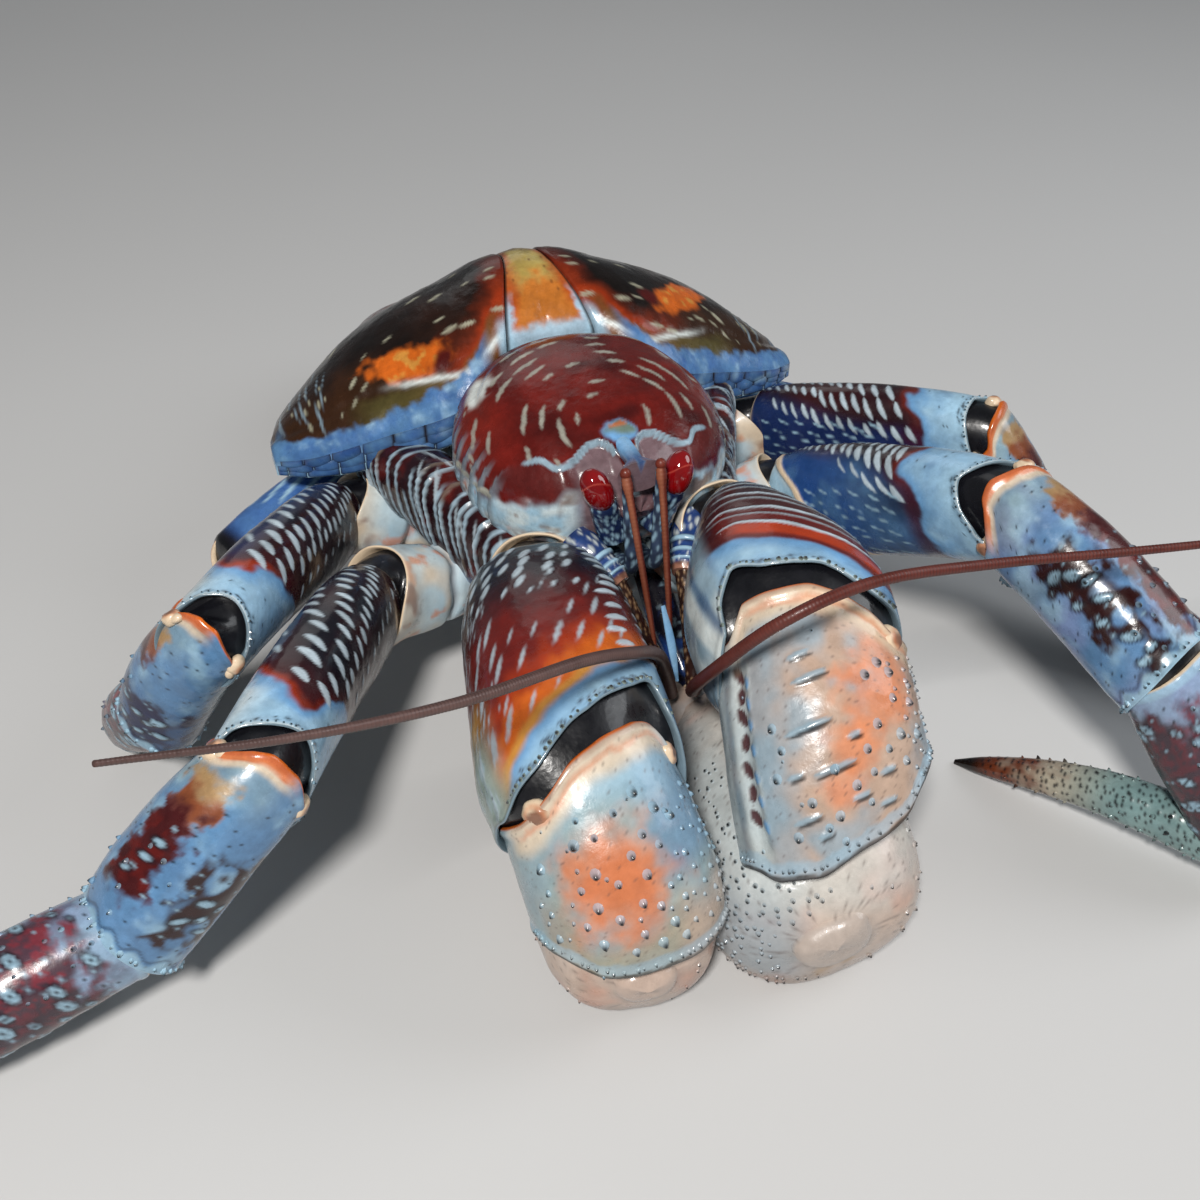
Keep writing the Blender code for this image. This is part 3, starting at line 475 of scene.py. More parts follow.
def pipe(route, radii, colour, sides, pitch, flat=1.0):
    """A round tube along a smooth route through given points, as a Skin."""
    points = smooth_route(route)
    arc = np.concatenate([[0], np.cumsum(np.linalg.norm(np.diff(points, axis=0), axis=1))])
    count = max(int(arc[-1] / pitch), 6)
    s = np.linspace(0, arc[-1], count)
    p = np.stack([np.interp(s, arc, points[:, k]) for k in range(3)], -1)
    along = unit(np.gradient(p, axis=0))
    side = unit(np.cross(np.array((0.0, 0.0, 1.0)), along[0]))
    sides_at = []
    for a in along:
        side = unit(side - a * float(side @ a))
        sides_at.append(side)
    side = np.array(sides_at)
    other = np.cross(along, side)
    r = curve(s / arc[-1], radii)
    b = 2 * np.pi * np.arange(sides) / sides
    grid = p[:, None] + r[:, None, None] * (np.cos(b)[None, :, None] * side[:, None]
                                            + flat * np.sin(b)[None, :, None] * other[:, None])
    grid[..., 2] = np.maximum(grid[..., 2], LOWEST)
    skin = Skin(grid, True, colour)
    skin.s = np.broadcast_to(s[:, None], grid.shape[:2])
    skin.share = skin.s / arc[-1]
    skin.b = np.broadcast_to(b[None], grid.shape[:2])
    return skin


def smooth_route(route, per=24):
    """Points along a smooth line through given points, so many to each length."""
    route = [np.array(p, float) for p in route]
    ends = [route[0] * 2 - route[1]] + route + [route[-1] * 2 - route[-2]]
    out = []
    for a, b, c, d in zip(ends, ends[1:], ends[2:], ends[3:]):
        for t in np.arange(per) / per:
            out.append(0.5 * (2 * b + (c - a) * t + (2 * a - 5 * b + 4 * c - d) * t**2
                              + (3 * b - a - 3 * c + d) * t**3))
    out.append(route[-1])
    return np.array(out)


# Materials


def new_material(name):
    material = bpy.data.materials.new(name)
    material.use_nodes = True
    tree = material.node_tree
    return material, tree, tree.nodes["Principled BSDF"]


def node(tree, kind, **inputs):
    made = tree.nodes.new(kind)
    for key, value in inputs.items():
        made.inputs[key].default_value = value
    return made


def shell_material(name, coat, rough=(0.16, 0.34), grain=0.16, grain_size=700.0, pits=0.22, pit_size=420.0,
                   coat_rough=0.08, specular=0.42):
    """Painted shell: the piece's own colours, broken up by fine grain, with pits and uneven gloss."""
    material, tree, shader = new_material(name)
    link = tree.links.new
    paint = tree.nodes.new("ShaderNodeAttribute")
    paint.attribute_name = "paint"
    where = tree.nodes.new("ShaderNodeTexCoord")
    fine = node(tree, "ShaderNodeTexNoise", Scale=grain_size, Detail=4.0, Roughness=0.6)
    broad = node(tree, "ShaderNodeTexNoise", Scale=grain_size * 0.2, Detail=4.0, Roughness=0.65)
    pit = node(tree, "ShaderNodeTexVoronoi", Scale=pit_size)
    for texture in (fine, broad, pit):
        link(where.outputs["Object"], texture.inputs["Vector"])
    both = node(tree, "ShaderNodeMix")
    both.inputs["Factor"].default_value = 0.6
    link(fine.outputs["Fac"], both.inputs["A"])
    link(broad.outputs["Fac"], both.inputs["B"])
    shade = tree.nodes.new("ShaderNodeMapRange")
    for key, value in (("From Min", 0.35), ("From Max", 0.65), ("To Min", 1 - grain), ("To Max", 1 + grain)):
        shade.inputs[key].default_value = value
    link(both.outputs["Result"], shade.inputs["Value"])
    colour = tree.nodes.new("ShaderNodeVectorMath")
    colour.operation = "SCALE"
    link(paint.outputs["Color"], colour.inputs[0])
    link(shade.outputs["Result"], colour.inputs["Scale"])
    link(colour.outputs["Vector"], shader.inputs["Base Color"])
    gloss = tree.nodes.new("ShaderNodeMapRange")
    for key, value in (("From Min", 0.35), ("From Max", 0.65), ("To Min", rough[0]), ("To Max", rough[1])):
        gloss.inputs[key].default_value = value
    link(broad.outputs["Fac"], gloss.inputs["Value"])
    link(gloss.outputs["Result"], shader.inputs["Roughness"])
    height = tree.nodes.new("ShaderNodeMath")
    height.operation = "MULTIPLY_ADD"
    link(pit.outputs["Distance"], height.inputs[0])
    height.inputs[1].default_value = 0.6
    link(fine.outputs["Fac"], height.inputs[2])
    bump = node(tree, "ShaderNodeBump", Strength=pits, Distance=0.00025)
    link(height.outputs["Value"], bump.inputs["Height"])
    link(bump.outputs["Normal"], shader.inputs["Normal"])
    shader.inputs["Coat Weight"].default_value = coat
    shader.inputs["Coat Roughness"].default_value = coat_rough
    shader.inputs["Specular IOR Level"].default_value = specular
    return material


SHELL = shell_material("shell_limbs", coat=0.25)
DARK_SHELL = shell_material("shell_back", rough=(0.18, 0.34), grain=0.2, pits=0.3, pit_size=520.0, coat=0.12,
                            specular=0.34)
PLATE = shell_material("shell_pale", rough=(0.25, 0.45), grain=0.08, pits=0.18, coat=0.25)
CLAW = shell_material("shell_claws", rough=(0.22, 0.42), grain=0.1, pits=0.4, pit_size=330.0, coat=0.35)
MEMBRANE = shell_material("joint_membrane", rough=(0.24, 0.42), grain=0.2, pits=0.2, pit_size=900.0, coat=0.3)
EYE = shell_material("eye_gloss", rough=(0.05, 0.1), grain=0.1, grain_size=1500.0, pits=0.04, coat=1.0,
                     coat_rough=0.03)
FEELER = shell_material("feeler_skin", rough=(0.35, 0.55), grain=0.18, pits=0.3, coat=0.05)
SOFT = shell_material("soft_skin", rough=(0.4, 0.6), grain=0.18, grain_size=300.0, pits=0.5,
                      pit_size=300.0, coat=0.05)


def make(name, parts, material, replaces=(), sharp=50):
    """One object from several closed meshes, placed in the part's frame and tied to the body."""
    offset = 0
    points, paint, quads, tris = [], [], [], []
    for p, q, t, c in parts:
        points.append(p)
        paint.append(c)
        quads.append(q + offset)
        tris.append(t + offset)
        offset += len(p)
    points, paint = np.concatenate(points), np.concatenate(paint)
    points[:, 2] = np.maximum(points[:, 2], LOWEST)
    quads, tris = np.concatenate(quads), np.concatenate(tris)
    mesh = bpy.data.meshes.new(name)
    mesh.vertices.add(len(points))
    mesh.vertices.foreach_set("co", ((points - REST) * MM).astype(np.float32).ravel())
    corners = np.concatenate([quads.ravel(), tris.ravel()]).astype(np.int32)
    after = len(quads) * 4
    starts = np.concatenate([np.arange(len(quads)) * 4, after + np.arange(len(tris)) * 3]).astype(np.int32)
    mesh.loops.add(len(corners))
    mesh.loops.foreach_set("vertex_index", corners)
    mesh.polygons.add(len(starts))
    mesh.polygons.foreach_set("loop_start", starts)
    mesh.update(calc_edges=True)
    mesh.validate()
    layer = mesh.color_attributes.new(name="paint", type="FLOAT_COLOR", domain="POINT")
    full = np.ones((len(points), 4), np.float32)
    full[:, :3] = np.clip(paint, 0, 1)
    layer.data.foreach_set("color", full.ravel())
    mesh.shade_smooth()
    mesh.set_sharp_from_angle(angle=math.radians(sharp))
    mesh.materials.append(material)
    obj = bpy.data.objects.new(name, mesh)
    bpy.context.scene.collection.objects.link(obj)
    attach(obj, "root")
    if replaces:
        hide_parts(*replaces)


def dress(node_name, parts, material):
    """A piece that takes the place of one solid."""
    make(f"{node_name}_skin", parts, material, [node_name])


def sleeve(inner, outer, bulge, sink):
    """The black skin between the end of one limb length and the start of the next."""
    rows, cols, tuck = 14, 140, 0.03
    angle = -90 + 360 * np.arange(cols) / cols
    t1 = round_curve(angle, inner.ends)
    a1, a2 = inner.place(t1 - tuck, angle), inner.place(t1 - 2 * tuck, angle)
    t2 = round_curve(angle, outer.starts)
    rim, rim2 = outer.place(t2 + tuck, angle), outer.place(t2 + 2 * tuck, angle)
    away = np.linalg.norm(a1[:, None] - rim[None], axis=-1)
    near = int(np.argmin(away[cols // 2]))
    turned = (near - cols // 2) % cols
    b1, b2 = np.roll(rim, -turned, axis=0), np.roll(rim2, -turned, axis=0)
    na = unit(a1 - (inner.start + inner.along * ((a1 - inner.start) @ inner.along)[:, None]))
    nb = unit(b1 - (outer.start + outer.along * ((b1 - outer.start) @ outer.along)[:, None]))
    a1, b1 = a1 - na * sink, b1 - nb * sink
    da, db = unit(a1 + na * sink - a2), unit(b2 - b1 - nb * sink)
    span = np.linalg.norm(b1 - a1, axis=1, keepdims=True)
    rings = []
    for u in np.linspace(0, 1, rows):
        h = 2 * u**3 - 3 * u**2 + 1
        p = h * a1 + (1 - h) * b1
        p = p + (u**3 - 2 * u**2 + u) * span * da * bulge
        rings.append(p + (u**3 - u**2) * span * db * bulge)
    rings = np.array(rings)
    rings[..., 2] = np.maximum(rings[..., 2], LOWEST)
    return tube_mesh(rings, INK * (0.8 + 1.2 * noise(rings, 2.5, 3)[..., None]))


def knob(limb, t, angle, radius, seed):
    """The pale lump at one side of a joint, brown in its middle, with a smaller lump beside it."""
    point = limb.place(np.array([t]), np.array([angle], float))[0]
    foot = limb.start + limb.along * ((point - limb.start) @ limb.along)
    n = unit(point - foot)
    side = unit(np.cross(n, limb.along))
    centre = point + n * (0.2 - radius * 0.45)

    def tint(p, c):
        spread = np.linalg.norm(p - n * (p @ n)[..., None] - side * radius * 0.15, axis=-1)
        blot = noise(p + centre, radius, seed) - 0.5
        m = (step(0.85 * radius, 0.45 * radius, spread + blot * radius * 0.9) * (p @ n > 0))[..., None]
        c = c * (1 - m * 0.85) + RUST * m * 0.85
        ring = (band(0.6 * radius, 0.85 * radius, 0.15 * radius, spread) * (p @ n > 0))[..., None]
        return c * (1 - ring * 0.5) + PEACH * ring * 0.5

    axes = (side, np.cross(n, side), n)
    big = lozenge(centre, axes, (radius * 1.1, radius, radius * 0.8), CREAM, 20, 30, tint, 0.35, seed)
    beside = centre + side * radius * 0.9 + limb.along * radius * 0.5 - n * 0.2 * radius
    small = lozenge(beside, axes, (radius * 0.7, radius * 0.55, radius * 0.5), CREAM, 14, 20,
                    None, 0.4, seed + 1)
    return [big, small]


# Legs

# Sections of each length: place, half width, rise, drop, as shares of the girth
LEG_SECTIONS = {
    "ischium": ((-0.1, 0.5, 0.55, 0.55), (0, 0.6, 0.62, 0.62), (0.35, 0.72, 0.8, 0.8),
                (0.8, 0.85, 1.0, 0.98), (1.0, 0.86, 1.02, 1.0), (1.1, 0.8, 0.95, 0.95)),
    "merus": ((-0.05, 0.45, 0.6, 0.6), (0.02, 0.66, 0.9, 0.95), (0.22, 0.74, 1.12, 1.22),
              (0.5, 0.78, 1.14, 1.2), (0.82, 0.84, 1.1, 1.02), (1.0, 0.86, 1.0, 0.96),
              (1.12, 0.82, 0.88, 0.94), (1.2, 0.76, 0.8, 0.9)),
    "carpus": ((-0.34, 0.44, 0.6, 0.5), (-0.24, 0.6, 0.74, 0.6), (-0.12, 0.78, 0.88, 0.74),
               (0.02, 0.88, 1.0, 0.86), (0.3, 0.94, 1.06, 0.94), (0.7, 0.98, 1.08, 0.96),
               (1.0, 0.94, 1.0, 0.92), (1.12, 0.86, 0.88, 0.86)),
    "propodus": ((-0.12, 0.56, 0.62, 0.58), (-0.06, 0.68, 0.76, 0.68), (0.08, 0.78, 0.9, 0.8),
                 (0.35, 0.84, 0.94, 0.86), (0.7, 0.76, 0.84, 0.78), (0.96, 0.64, 0.68, 0.64),
                 (1.04, 0.56, 0.58, 0.56)),
    "dactyl": ((-0.08, 0.34, 0.36, 0.36), (-0.03, 0.44, 0.48, 0.46), (0.1, 0.5, 0.54, 0.5),
               (0.4, 0.44, 0.46, 0.42), (0.7, 0.32, 0.32, 0.3), (0.9, 0.18, 0.18, 0.16),
               (1.0, 0.05, 0.05, 0.05)),
}
LEG_BOW = {"ischium": 0, "merus": 0.16, "carpus": 0.1, "propodus": 0.08, "dactyl": 0.42}
LEG_JOINTS = {
    "leg2_right": ((-27, -20, 30), (-64, -35, 41), (-103, -101, 53), (-134, -107, 25), (-202, -121, 15),
                   (-257, -136, 0.5)),
    "leg2_left": ((27, -20, 30), (58, -29, 40), (86, -94, 71), (103, -136, 51), (118, -167, 12),
                  (75, -107, 0.5)),
    "leg3_right": ((-28, 4, 31), (-64, 4, 42), (-106, -56, 57), (-121, -44, 27), (-132, -24, 8),
                   (-94, 6, 0.5)),
    "leg3_left": ((28, 4, 31), (64, 6, 42), (111, -43, 57), (127, -60, 21), (156, -109, 11),
                  (186, -160, 0.5)),
    "leg4_right": ((-28, 27, 33), (-54, 32, 38), (-95, 9, 30), (-86, 36, 10), (-76, 58, 0.4)),
    "leg4_left": ((28, 27, 33), (54, 32, 38), (97, 17, 30), (102, 48, 12), (98, 74, 0.4)),
}
LEG_GIRTH = {"leg2": 13.0, "leg3": 11.3, "leg4": 8.5}

# Where each length ends and the next begins: (angle, place) round the limb
MERUS_ENDS = {
    "leg2_right": ((0, 0.93), (26, 0.91), (70, 0.945), (112, 0.99), (140, 1.06), (180, 1.08), (270, 1.02),
                   (340, 1.0)),
    "leg2_left": ((0, 0.95), (25, 0.9), (52, 0.885), (72, 0.915), (101, 0.965), (130, 1.05), (180, 1.08),
                  (270, 1.04), (340, 1.0)),
    "leg3_right": ((0, 1.0), (29, 0.97), (59, 0.96), (93, 0.985), (125, 1.08), (180, 1.1), (270, 1.04),
                   (340, 1.06)),
    "leg3_left": ((0, 1.0), (30, 0.98), (57, 0.97), (95, 0.98), (125, 1.06), (180, 1.08), (270, 1.04),
                  (340, 1.04)),
}
CARPUS_STARTS = {
    "leg2_right": ((0, -0.2), (37, -0.235), (62, -0.2), (91, -0.1), (106, -0.06), (140, -0.03), (180, 0.0),
                   (270, 0.1), (327, -0.08)),
    "leg3_right": ((0, -0.3), (25, -0.3), (51, -0.25), (70, -0.15), (100, -0.08), (140, -0.04), (180, 0.0),
                   (270, 0.1), (310, -0.16)),
    "leg2_left": ((14, -0.07), (25, -0.13), (49, -0.165), (68, -0.15), (100, -0.12), (132, -0.06),
                  (180, 0.05), (270, 0.12), (347, 0.06)),
    "leg3_left": ((0, 0.06), (23, 0.02), (38, -0.085), (59, -0.14), (80, -0.16), (97, -0.165), (130, -0.12),
                  (160, -0.02), (200, 0.06), (270, 0.12)),
}

# Where the dark part of each upper leg ends and the light blue begins: (angle, place)
MERUS_EDGE = {
    "leg2_right": ((0, 0.62), (12, 0.65), (64, 0.83), (82, 0.81), (120, 0.74), (180, 0.7), (270, 0.7),
                   (330, 0.62)),
    "leg2_left": ((0, 0.76), (25, 0.74), (49, 0.7), (70, 0.65), (93, 0.7), (130, 0.72), (180, 0.7),
                  (270, 0.75), (330, 0.8)),
    "leg3_right": ((0, 0.66), (27, 0.71), (68, 0.81), (99, 0.84), (130, 0.76), (180, 0.7), (270, 0.7),
                   (330, 0.62)),
    "leg3_left": ((0, 0.84), (45, 0.8), (65, 0.74), (100, 0.74), (180, 0.7), (270, 0.75), (330, 0.8)),
}

# Where the pale lumps sit at each wrist joint of the legs, on the upper leg: (place, angle)
LEG_KNOBS = {
    "leg2_right": ((1.04, 126), (1.01, 341)),
    "leg2_left": ((0.975, 340), (1.02, 116)),
    "leg3_right": ((1.08, 125), (1.05, 345)),
    "leg3_left": ((1.0, 345), (1.05, 112)),
}


def slanting(limb, onward, round_it):
    """A direction at each grid place, so much onward and so much round the limb."""
    def direction(i, j):
        a = np.radians(limb.h[i, j])
        return limb.along * onward + round_it * (limb.across * -np.sin(a) + limb.up * np.cos(a))
    return direction


def leg_length(name, part, starts, ends, pitch=STEP):
    """One length of a walking leg."""
    leg, side = name.split("_")
    joints = LEG_JOINTS[name]
    k = ("ischium", "merus", "carpus", "propodus", "dactyl").index(part)
    sign = 1 if side == "left" else -1
    return Limb(joints[k], joints[k + 1], LEG_SECTIONS[part], LEG_GIRTH[leg], sign=sign, bow=LEG_BOW[part],
                starts=starts, ends=ends, pitch=pitch)


def uneven(skin, seed, small=0.3, broad=0.6, size=14.0):
    """Fine and broad unevenness over the whole skin, in millimetres."""
    skin.relief += small * (noise(skin.p, 4.0, seed, 3) - 0.5) + broad * (noise(skin.p, size, seed + 1) - 0.5)


def dots(skin, pitch, radius, colour, where, seed, strength, chance, lift=0.0):
    """Small short marks, kept where the mask is high."""
    for i, j, luck in skin.spots(pitch, pitch, 0.5, 0.4, seed):
        i, j = skin.at(i, j)
        if luck < chance and where[i, j] > 0.5:
            size = radius * (0.7 + 0.6 * luck)
            along = skin.p[min(i + 1, skin.rows - 1), j] - skin.p[max(i - 1, 0), j]
            skin.stamp(i, j, along, size, size * 1.5, colour, lift, strength)


def always(direction):
    """The same direction at every grid place."""
    return lambda i, j: direction


def flecks(skin, pitch_i, pitch_j, half, wide, colour, where, seed, direction, stagger, jitter, lift,
           strength, vary=0.35, chance=1.0, halo=None):
    """Long marks, larger where the mask is high; direction gives a vector at a grid place."""
    rng = random.Random(seed * 7 + 1)
    for i, j, luck in skin.spots(pitch_i, pitch_j, stagger, jitter, seed):
        i, j = skin.at(i, j)
        size = where[i, j]
        if size > 0.15 and luck < chance:
            scale = (1 - vary + 2 * vary * rng.random()) * min(size, 1.0) ** 0.5
            skin.stamp(i, j, direction(i, j), half * scale, wide * scale, colour, lift, strength, halo)


# The line that the pale marks of each upper leg follow: (place, angle)
MARK_LINES = {
    "leg2_right": ((0, 92), (0.13, 74), (0.28, 62), (0.39, 50), (0.49, 37), (0.61, 27), (1, 22)),
    "leg3_right": ((0, 72), (0.13, 58), (0.235, 48), (0.39, 42), (0.555, 35), (0.645, 24), (1, 18)),
    "leg2_left": ((0, 122), (0.13, 112), (0.435, 99), (0.558, 86), (0.7, 76), (1, 70)),
    "leg3_left": ((0, 112), (0.15, 98), (0.34, 82), (0.494, 70), (0.651, 64), (1, 60)),
}

# Rows of those marks: (degrees off the line, span, gaps, half lengths, half widths, tilt)
RIGHT_ROWS = (
    (-36, (0.06, 0.6), (3.8, 5.0), (1.6, 2.0), (0.42, 0.55), 20),
    (0, (0.03, 0.62), (2.2, 4.4), (1.5, 2.2), (0.5, 0.95), 12),
    (24, (0.1, 0.78), (3.1, 5.8), (1.7, 2.6), (0.55, 1.25), 14),
    (52, (0.06, 0.78), (3.8, 6.2), (2.1, 2.7), (0.45, 1.1), 32),
    (80, (0.04, 0.66), (4.4, 7.0), (3.0, 2.8), (0.34, 0.6), 54),
    (104, (0.1, 0.66), (5.4, 7.5), (3.6, 2.8), (0.32, 0.45), 66),
    (132, (0.1, 0.66), (6.0, 7.5), (3.0, 3.0), (0.36, 0.5), 60),
    (165, (0.1, 0.66), (6.0, 7.5), (3.0, 3.0), (0.36, 0.5), 50),
)
LEFT2_ROWS = (
    (30, (0.06, 0.62), (3.6, 5.5), (2.0, 2.8), (0.45, 0.8), 20),
    (64, (0.06, 0.62), (4.2, 5.5), (2.4, 2.8), (0.45, 0.7), 40),
    (4, (0.02, 0.64), (2.0, 3.4), (1.5, 2.4), (0.5, 0.85), 14),
    (-16, (0.06, 0.68), (2.4, 5.0), (1.6, 4.0), (0.4, 1.05), 34),
    (-36, (0.4, 0.7), (4.4, 5.4), (2.2, 3.6), (0.34, 0.8), 52),
)
LEFT3_ROWS = (
    (52, (0.06, 0.66), (3.8, 5.0), (2.0, 2.6), (0.45, 0.7), 30),
    (20, (0.03, 0.72), (2.6, 4.4), (1.8, 2.6), (0.42, 0.8), 34),
    (-6, (0.06, 0.76), (2.8, 4.6), (1.8, 2.6), (0.42, 0.8), 34),
    (-34, (0.16, 0.78), (3.2, 4.8), (1.8, 2.6), (0.45, 0.95), 30),
)

# The middle of the thin strokes on the left legs' front faces, and their rows: (degrees off it, tilt)
FACE_LINE = ((0, -8), (1, -8))
FACE_ROWS = ((44, 70), (28, 72), (12, 74), (-6, 76), (-24, 80), (-46, 80), (-70, 80))


def upper_leg_marks(limb, name, seed, dark):
    """The rows of pale marks on the dark part of an upper leg."""
    line = MARK_LINES[name]
    rows = {"leg2_left": LEFT2_ROWS, "leg3_left": LEFT3_ROWS}.get(name, RIGHT_ROWS)
    for k, (offset, span, gaps, halves, wides, tilt) in enumerate(rows):
        limb.comb(line, span, gaps, halves, wides, tilt, seed + k, offset=offset, lift=0.14, keep=dark)
    if name.endswith("left"):
        for k, (offset, tilt) in enumerate(FACE_ROWS):
            span = (0.12 + 0.05 * (k % 2), 0.66)
            limb.comb(FACE_LINE, span, (5.5, 6.5), (1.6, 2.2), (0.3, 0.34), tilt, seed + 20 + k,
                      offset=offset, lift=0.04, keep=dark, colour=PALE_BLUE * 0.95, strength=0.85)


# Where the pale hip skin ends on the left front leg, from below up: (angle, place)
LEG_ROOT_LINE = ((-90, 0.46), (-60, 0.42), (-20, 0.33), (20, 0.22), (38, 0.195), (66, 0.1), (75, 0.08),
                 (110, 0.02))


def paint_merus(limb, name, seed):
    """Dark with pale marks near the body, light blue beyond a ragged line."""
    t, h = limb.t, limb.h
    left = name.endswith("left")
    wobble = (noise(limb.p, 7, seed, 3) - 0.5) * 0.14
    ahead = t - round_curve(h, MERUS_EDGE[name]) + wobble
    limb.colour[:] = NAVY
    limb.tint(noise(limb.p, 12, seed + 1) * 1.5 - 0.35, MAROON * 0.85)
    line = curve(t, MARK_LINES[name])
    if left:
        face = step(line - 14, line - 44, h) * step(-100, -70, h)
        if name == "leg2_left":
            limb.tint(face * step(0.0, 0.1, t), rgb(34, 70, 128))
            limb.tint(face * step(0.25, 0.6, t + wobble) * 0.6, STEEL * 0.9)
            limb.tint(face * step(0.42, 0.7, t) * step(-10, 30, h) * 0.75, NAVY * 1.6)
            limb.tint(face * step(0.5, 0.8, noise(limb.p, 6, seed + 2)) * 0.5, SKY * 0.6)
        else:
            limb.tint(face * 0.7, DEEP_BLUE * 0.6)
    else:
        blue_side = band(112, 190, 16, h) if name == "leg2_right" else band(90, 170, 16, h)
        limb.tint(blue_side * 0.6, DEEP_BLUE * 0.55)
    limb.tint(band(-130, -76, 12, h) * 0.7, GREY_GREEN * 0.7)
    limb.tint(step(-0.12, -0.02, ahead) * 0.75, MAROON * 1.2)
    hot = step(-0.045, -0.01, ahead) * step(0.03, 0.005, ahead)
    limb.tint(hot * step(30, 80, h) * (0.25 if left else 0.75), RED_ORANGE)
    limb.tint(step(-0.012, 0.018, ahead), SKY * 0.95)
    limb.tint(step(0.01, 0.08, ahead) * (0.25 + 0.75 * noise(limb.p, 6, seed + 3)), PALE_BLUE)
    limb.tint(step(0.0, 0.12, ahead) * step(0.55, 0.8, noise(limb.p, 4, seed + 4)) * 0.5, STEEL * 1.2)
    rear = band(110 if left else 100, 190, 16, h)
    limb.tint(step(0.0, 0.1, ahead) * rear * 0.75, WHITE * 0.95)
    limb.tint(step(9, 3, limb.to_end) * step(0.02, 0.05, ahead) * 0.45, PALE_BLUE * 1.1)
    dark = step(0.005, -0.025, ahead) * step(0.02, 0.05, t)
    if name == "leg2_left":
        root = (t - curve(np.clip(h, -90, 110), LEG_ROOT_LINE)) * limb.length
        dark = dark * step(0.5, 2.5, root)
    upper_leg_marks(limb, name, seed + 40, dark)
    limb.tint(step(0.06, 0.02, t) * 0.9, CREAM)
    if name == "leg2_left":
        behind = step(0.4, -0.6, root) * step(-100, -80, h)
        limb.tint(behind, PALE_BLUE)
        limb.tint(behind * step(0.4, 0.7, noise(limb.p, 6, seed + 11)) * 0.8, WHITE)
        limb.tint(step(1.5, 0.7, np.abs(root + 0.4)) * step(-100, -80, h), CREAM)
        limb.relief += 0.6 * step(2.0, 0.6, np.abs(root + 0.6)) * step(-100, -80, h)
    clear = step(0.03, 0.07, ahead) * band(-60, 200, 10, h)
    dots(limb, 4.2, 0.36, INK, clear, seed + 20, chance=0.5, strength=0.8)
    dots(limb, 1.5, 0.4, NAVY, band(0.6, 2.0, 0.3, limb.to_end) * band(-60, 175, 8, h), seed + 21,
         0.8, chance=0.75)
    limb.relief += 0.3 * step(2.2, 0.4, limb.to_end)
    limb.tint(step(0.7, 0.2, limb.to_end) * 0.7, WHITE * 0.8)
    limb.shade(0.18, 3.0, seed + 24)
    uneven(limb, seed + 30, 0.22, 0.45, 12.0)


def rim_teeth(limb, pitch, radius, height, tip=INK, first=-180, last=180, inset=1.0, base=None):
    """Small dark teeth along a limb's end."""
    parts = []
    count = int(2 * math.pi * limb.girth / pitch)
    rng = random.Random(count)
    for k in range(count):
        angle = -90 + 360 * (k + rng.uniform(-0.3, 0.3)) / count
        local = (angle + 180) % 360 - 180
        size = rng.uniform(0.6, 1.15)
        if not first <= local <= last:
            continue
        j = int((angle + 90) / 360 * limb.cols) % limb.cols
        i = limb.rows - 1 - int(round(inset / limb.length
                                      / max(limb.high[j] - limb.low[j], 0.01) * limb.rows))
        i = max(i, 0)
        colour = base if base is not None else limb.colour[i, j]
        parts.append(thorn(limb.p[i, j], limb.n[i, j], limb.along, radius * size, height * size,
                           colour, tip, 6))
    return parts


def thorns(limb, places, lean=1.0, pale=0.35):
    """Pointed knobs at grid places: (i, j, radius, height); pale mixes pale blue into each knob's colour as a
    painted highlight.
    """
    parts = []
    for i, j, radius, height in places:
        i, j = limb.at(i, j)
        # Painted highlight: each knob is lightened towards pale blue by the share pale.
        base = limb.colour[i, j] * (1 - pale) + PALE_BLUE * pale
        parts.append(thorn(limb.p[i, j], limb.n[i, j], limb.along * lean, radius, height, base, INK))
    return parts


def scattered(limb, pitch_i, pitch_j, radius, height, where, seed, chance=0.8, jitter=0.25):
    """Grid places for pointed knobs, kept where the mask is high."""
    rng = random.Random(seed + 3)
    places = []
    for i, j, luck in limb.spots(pitch_i, pitch_j, 0.5, jitter, seed):
        i, j = limb.at(i, j)
        if where[i, j] > 0.5 and luck < chance:
            scale = 0.75 + 0.5 * rng.random()
            places.append((i, j, radius * scale, height * scale))
    return places


def ring_marks(limb, places, seed, where):
    """Pale ovals and crescents with a dark edge, some dark in the middle, at (place, angle) pairs."""
    rng = random.Random(seed)
    for t, angle in places:
        i, j = limb.spot(t + rng.uniform(-0.02, 0.02), angle + rng.uniform(-4, 4))
        size = rng.uniform(0.65, 1.2)
        d = slanting(limb, 0.3 + rng.uniform(-0.4, 0.4), 1)(i, j)
        luck = rng.random()
        if where[i, j] < 0.3:
            continue
        wide = 0.95 * size * (0.6 + 0.5 * luck)
        limb.stamp(i, j, d, 1.8 * size, wide, PALE_BLUE * 0.85, 0.25, 0.92, NAVY)
        if luck > 0.45:
            limb.stamp(i + 1, j + 1, d, 0.6 * size, 0.32, INK, -0.1, 0.85)


# Maroon patch on top of each wrist, and dark blotches on its far side: (low angle, high angle, from, to)
CARPUS_TOPS = {
    "leg2_right": (52, 96, 0.12, 0.74),
    "leg3_right": (44, 82, 0.1, 0.36),
    "leg2_left": (82, 128, 0.14, 0.95),
    "leg3_left": (54, 104, 0.1, 0.76),
}
CARPUS_FAR = {
    "leg2_right": (-34, 30, 0.3, 0.84),
    "leg3_right": (-60, 64, 0.56, 0.96),
    "leg2_left": (20, 70, 0.26, 1.02),
    "leg3_left": (-24, 54, 0.36, 0.94),
}

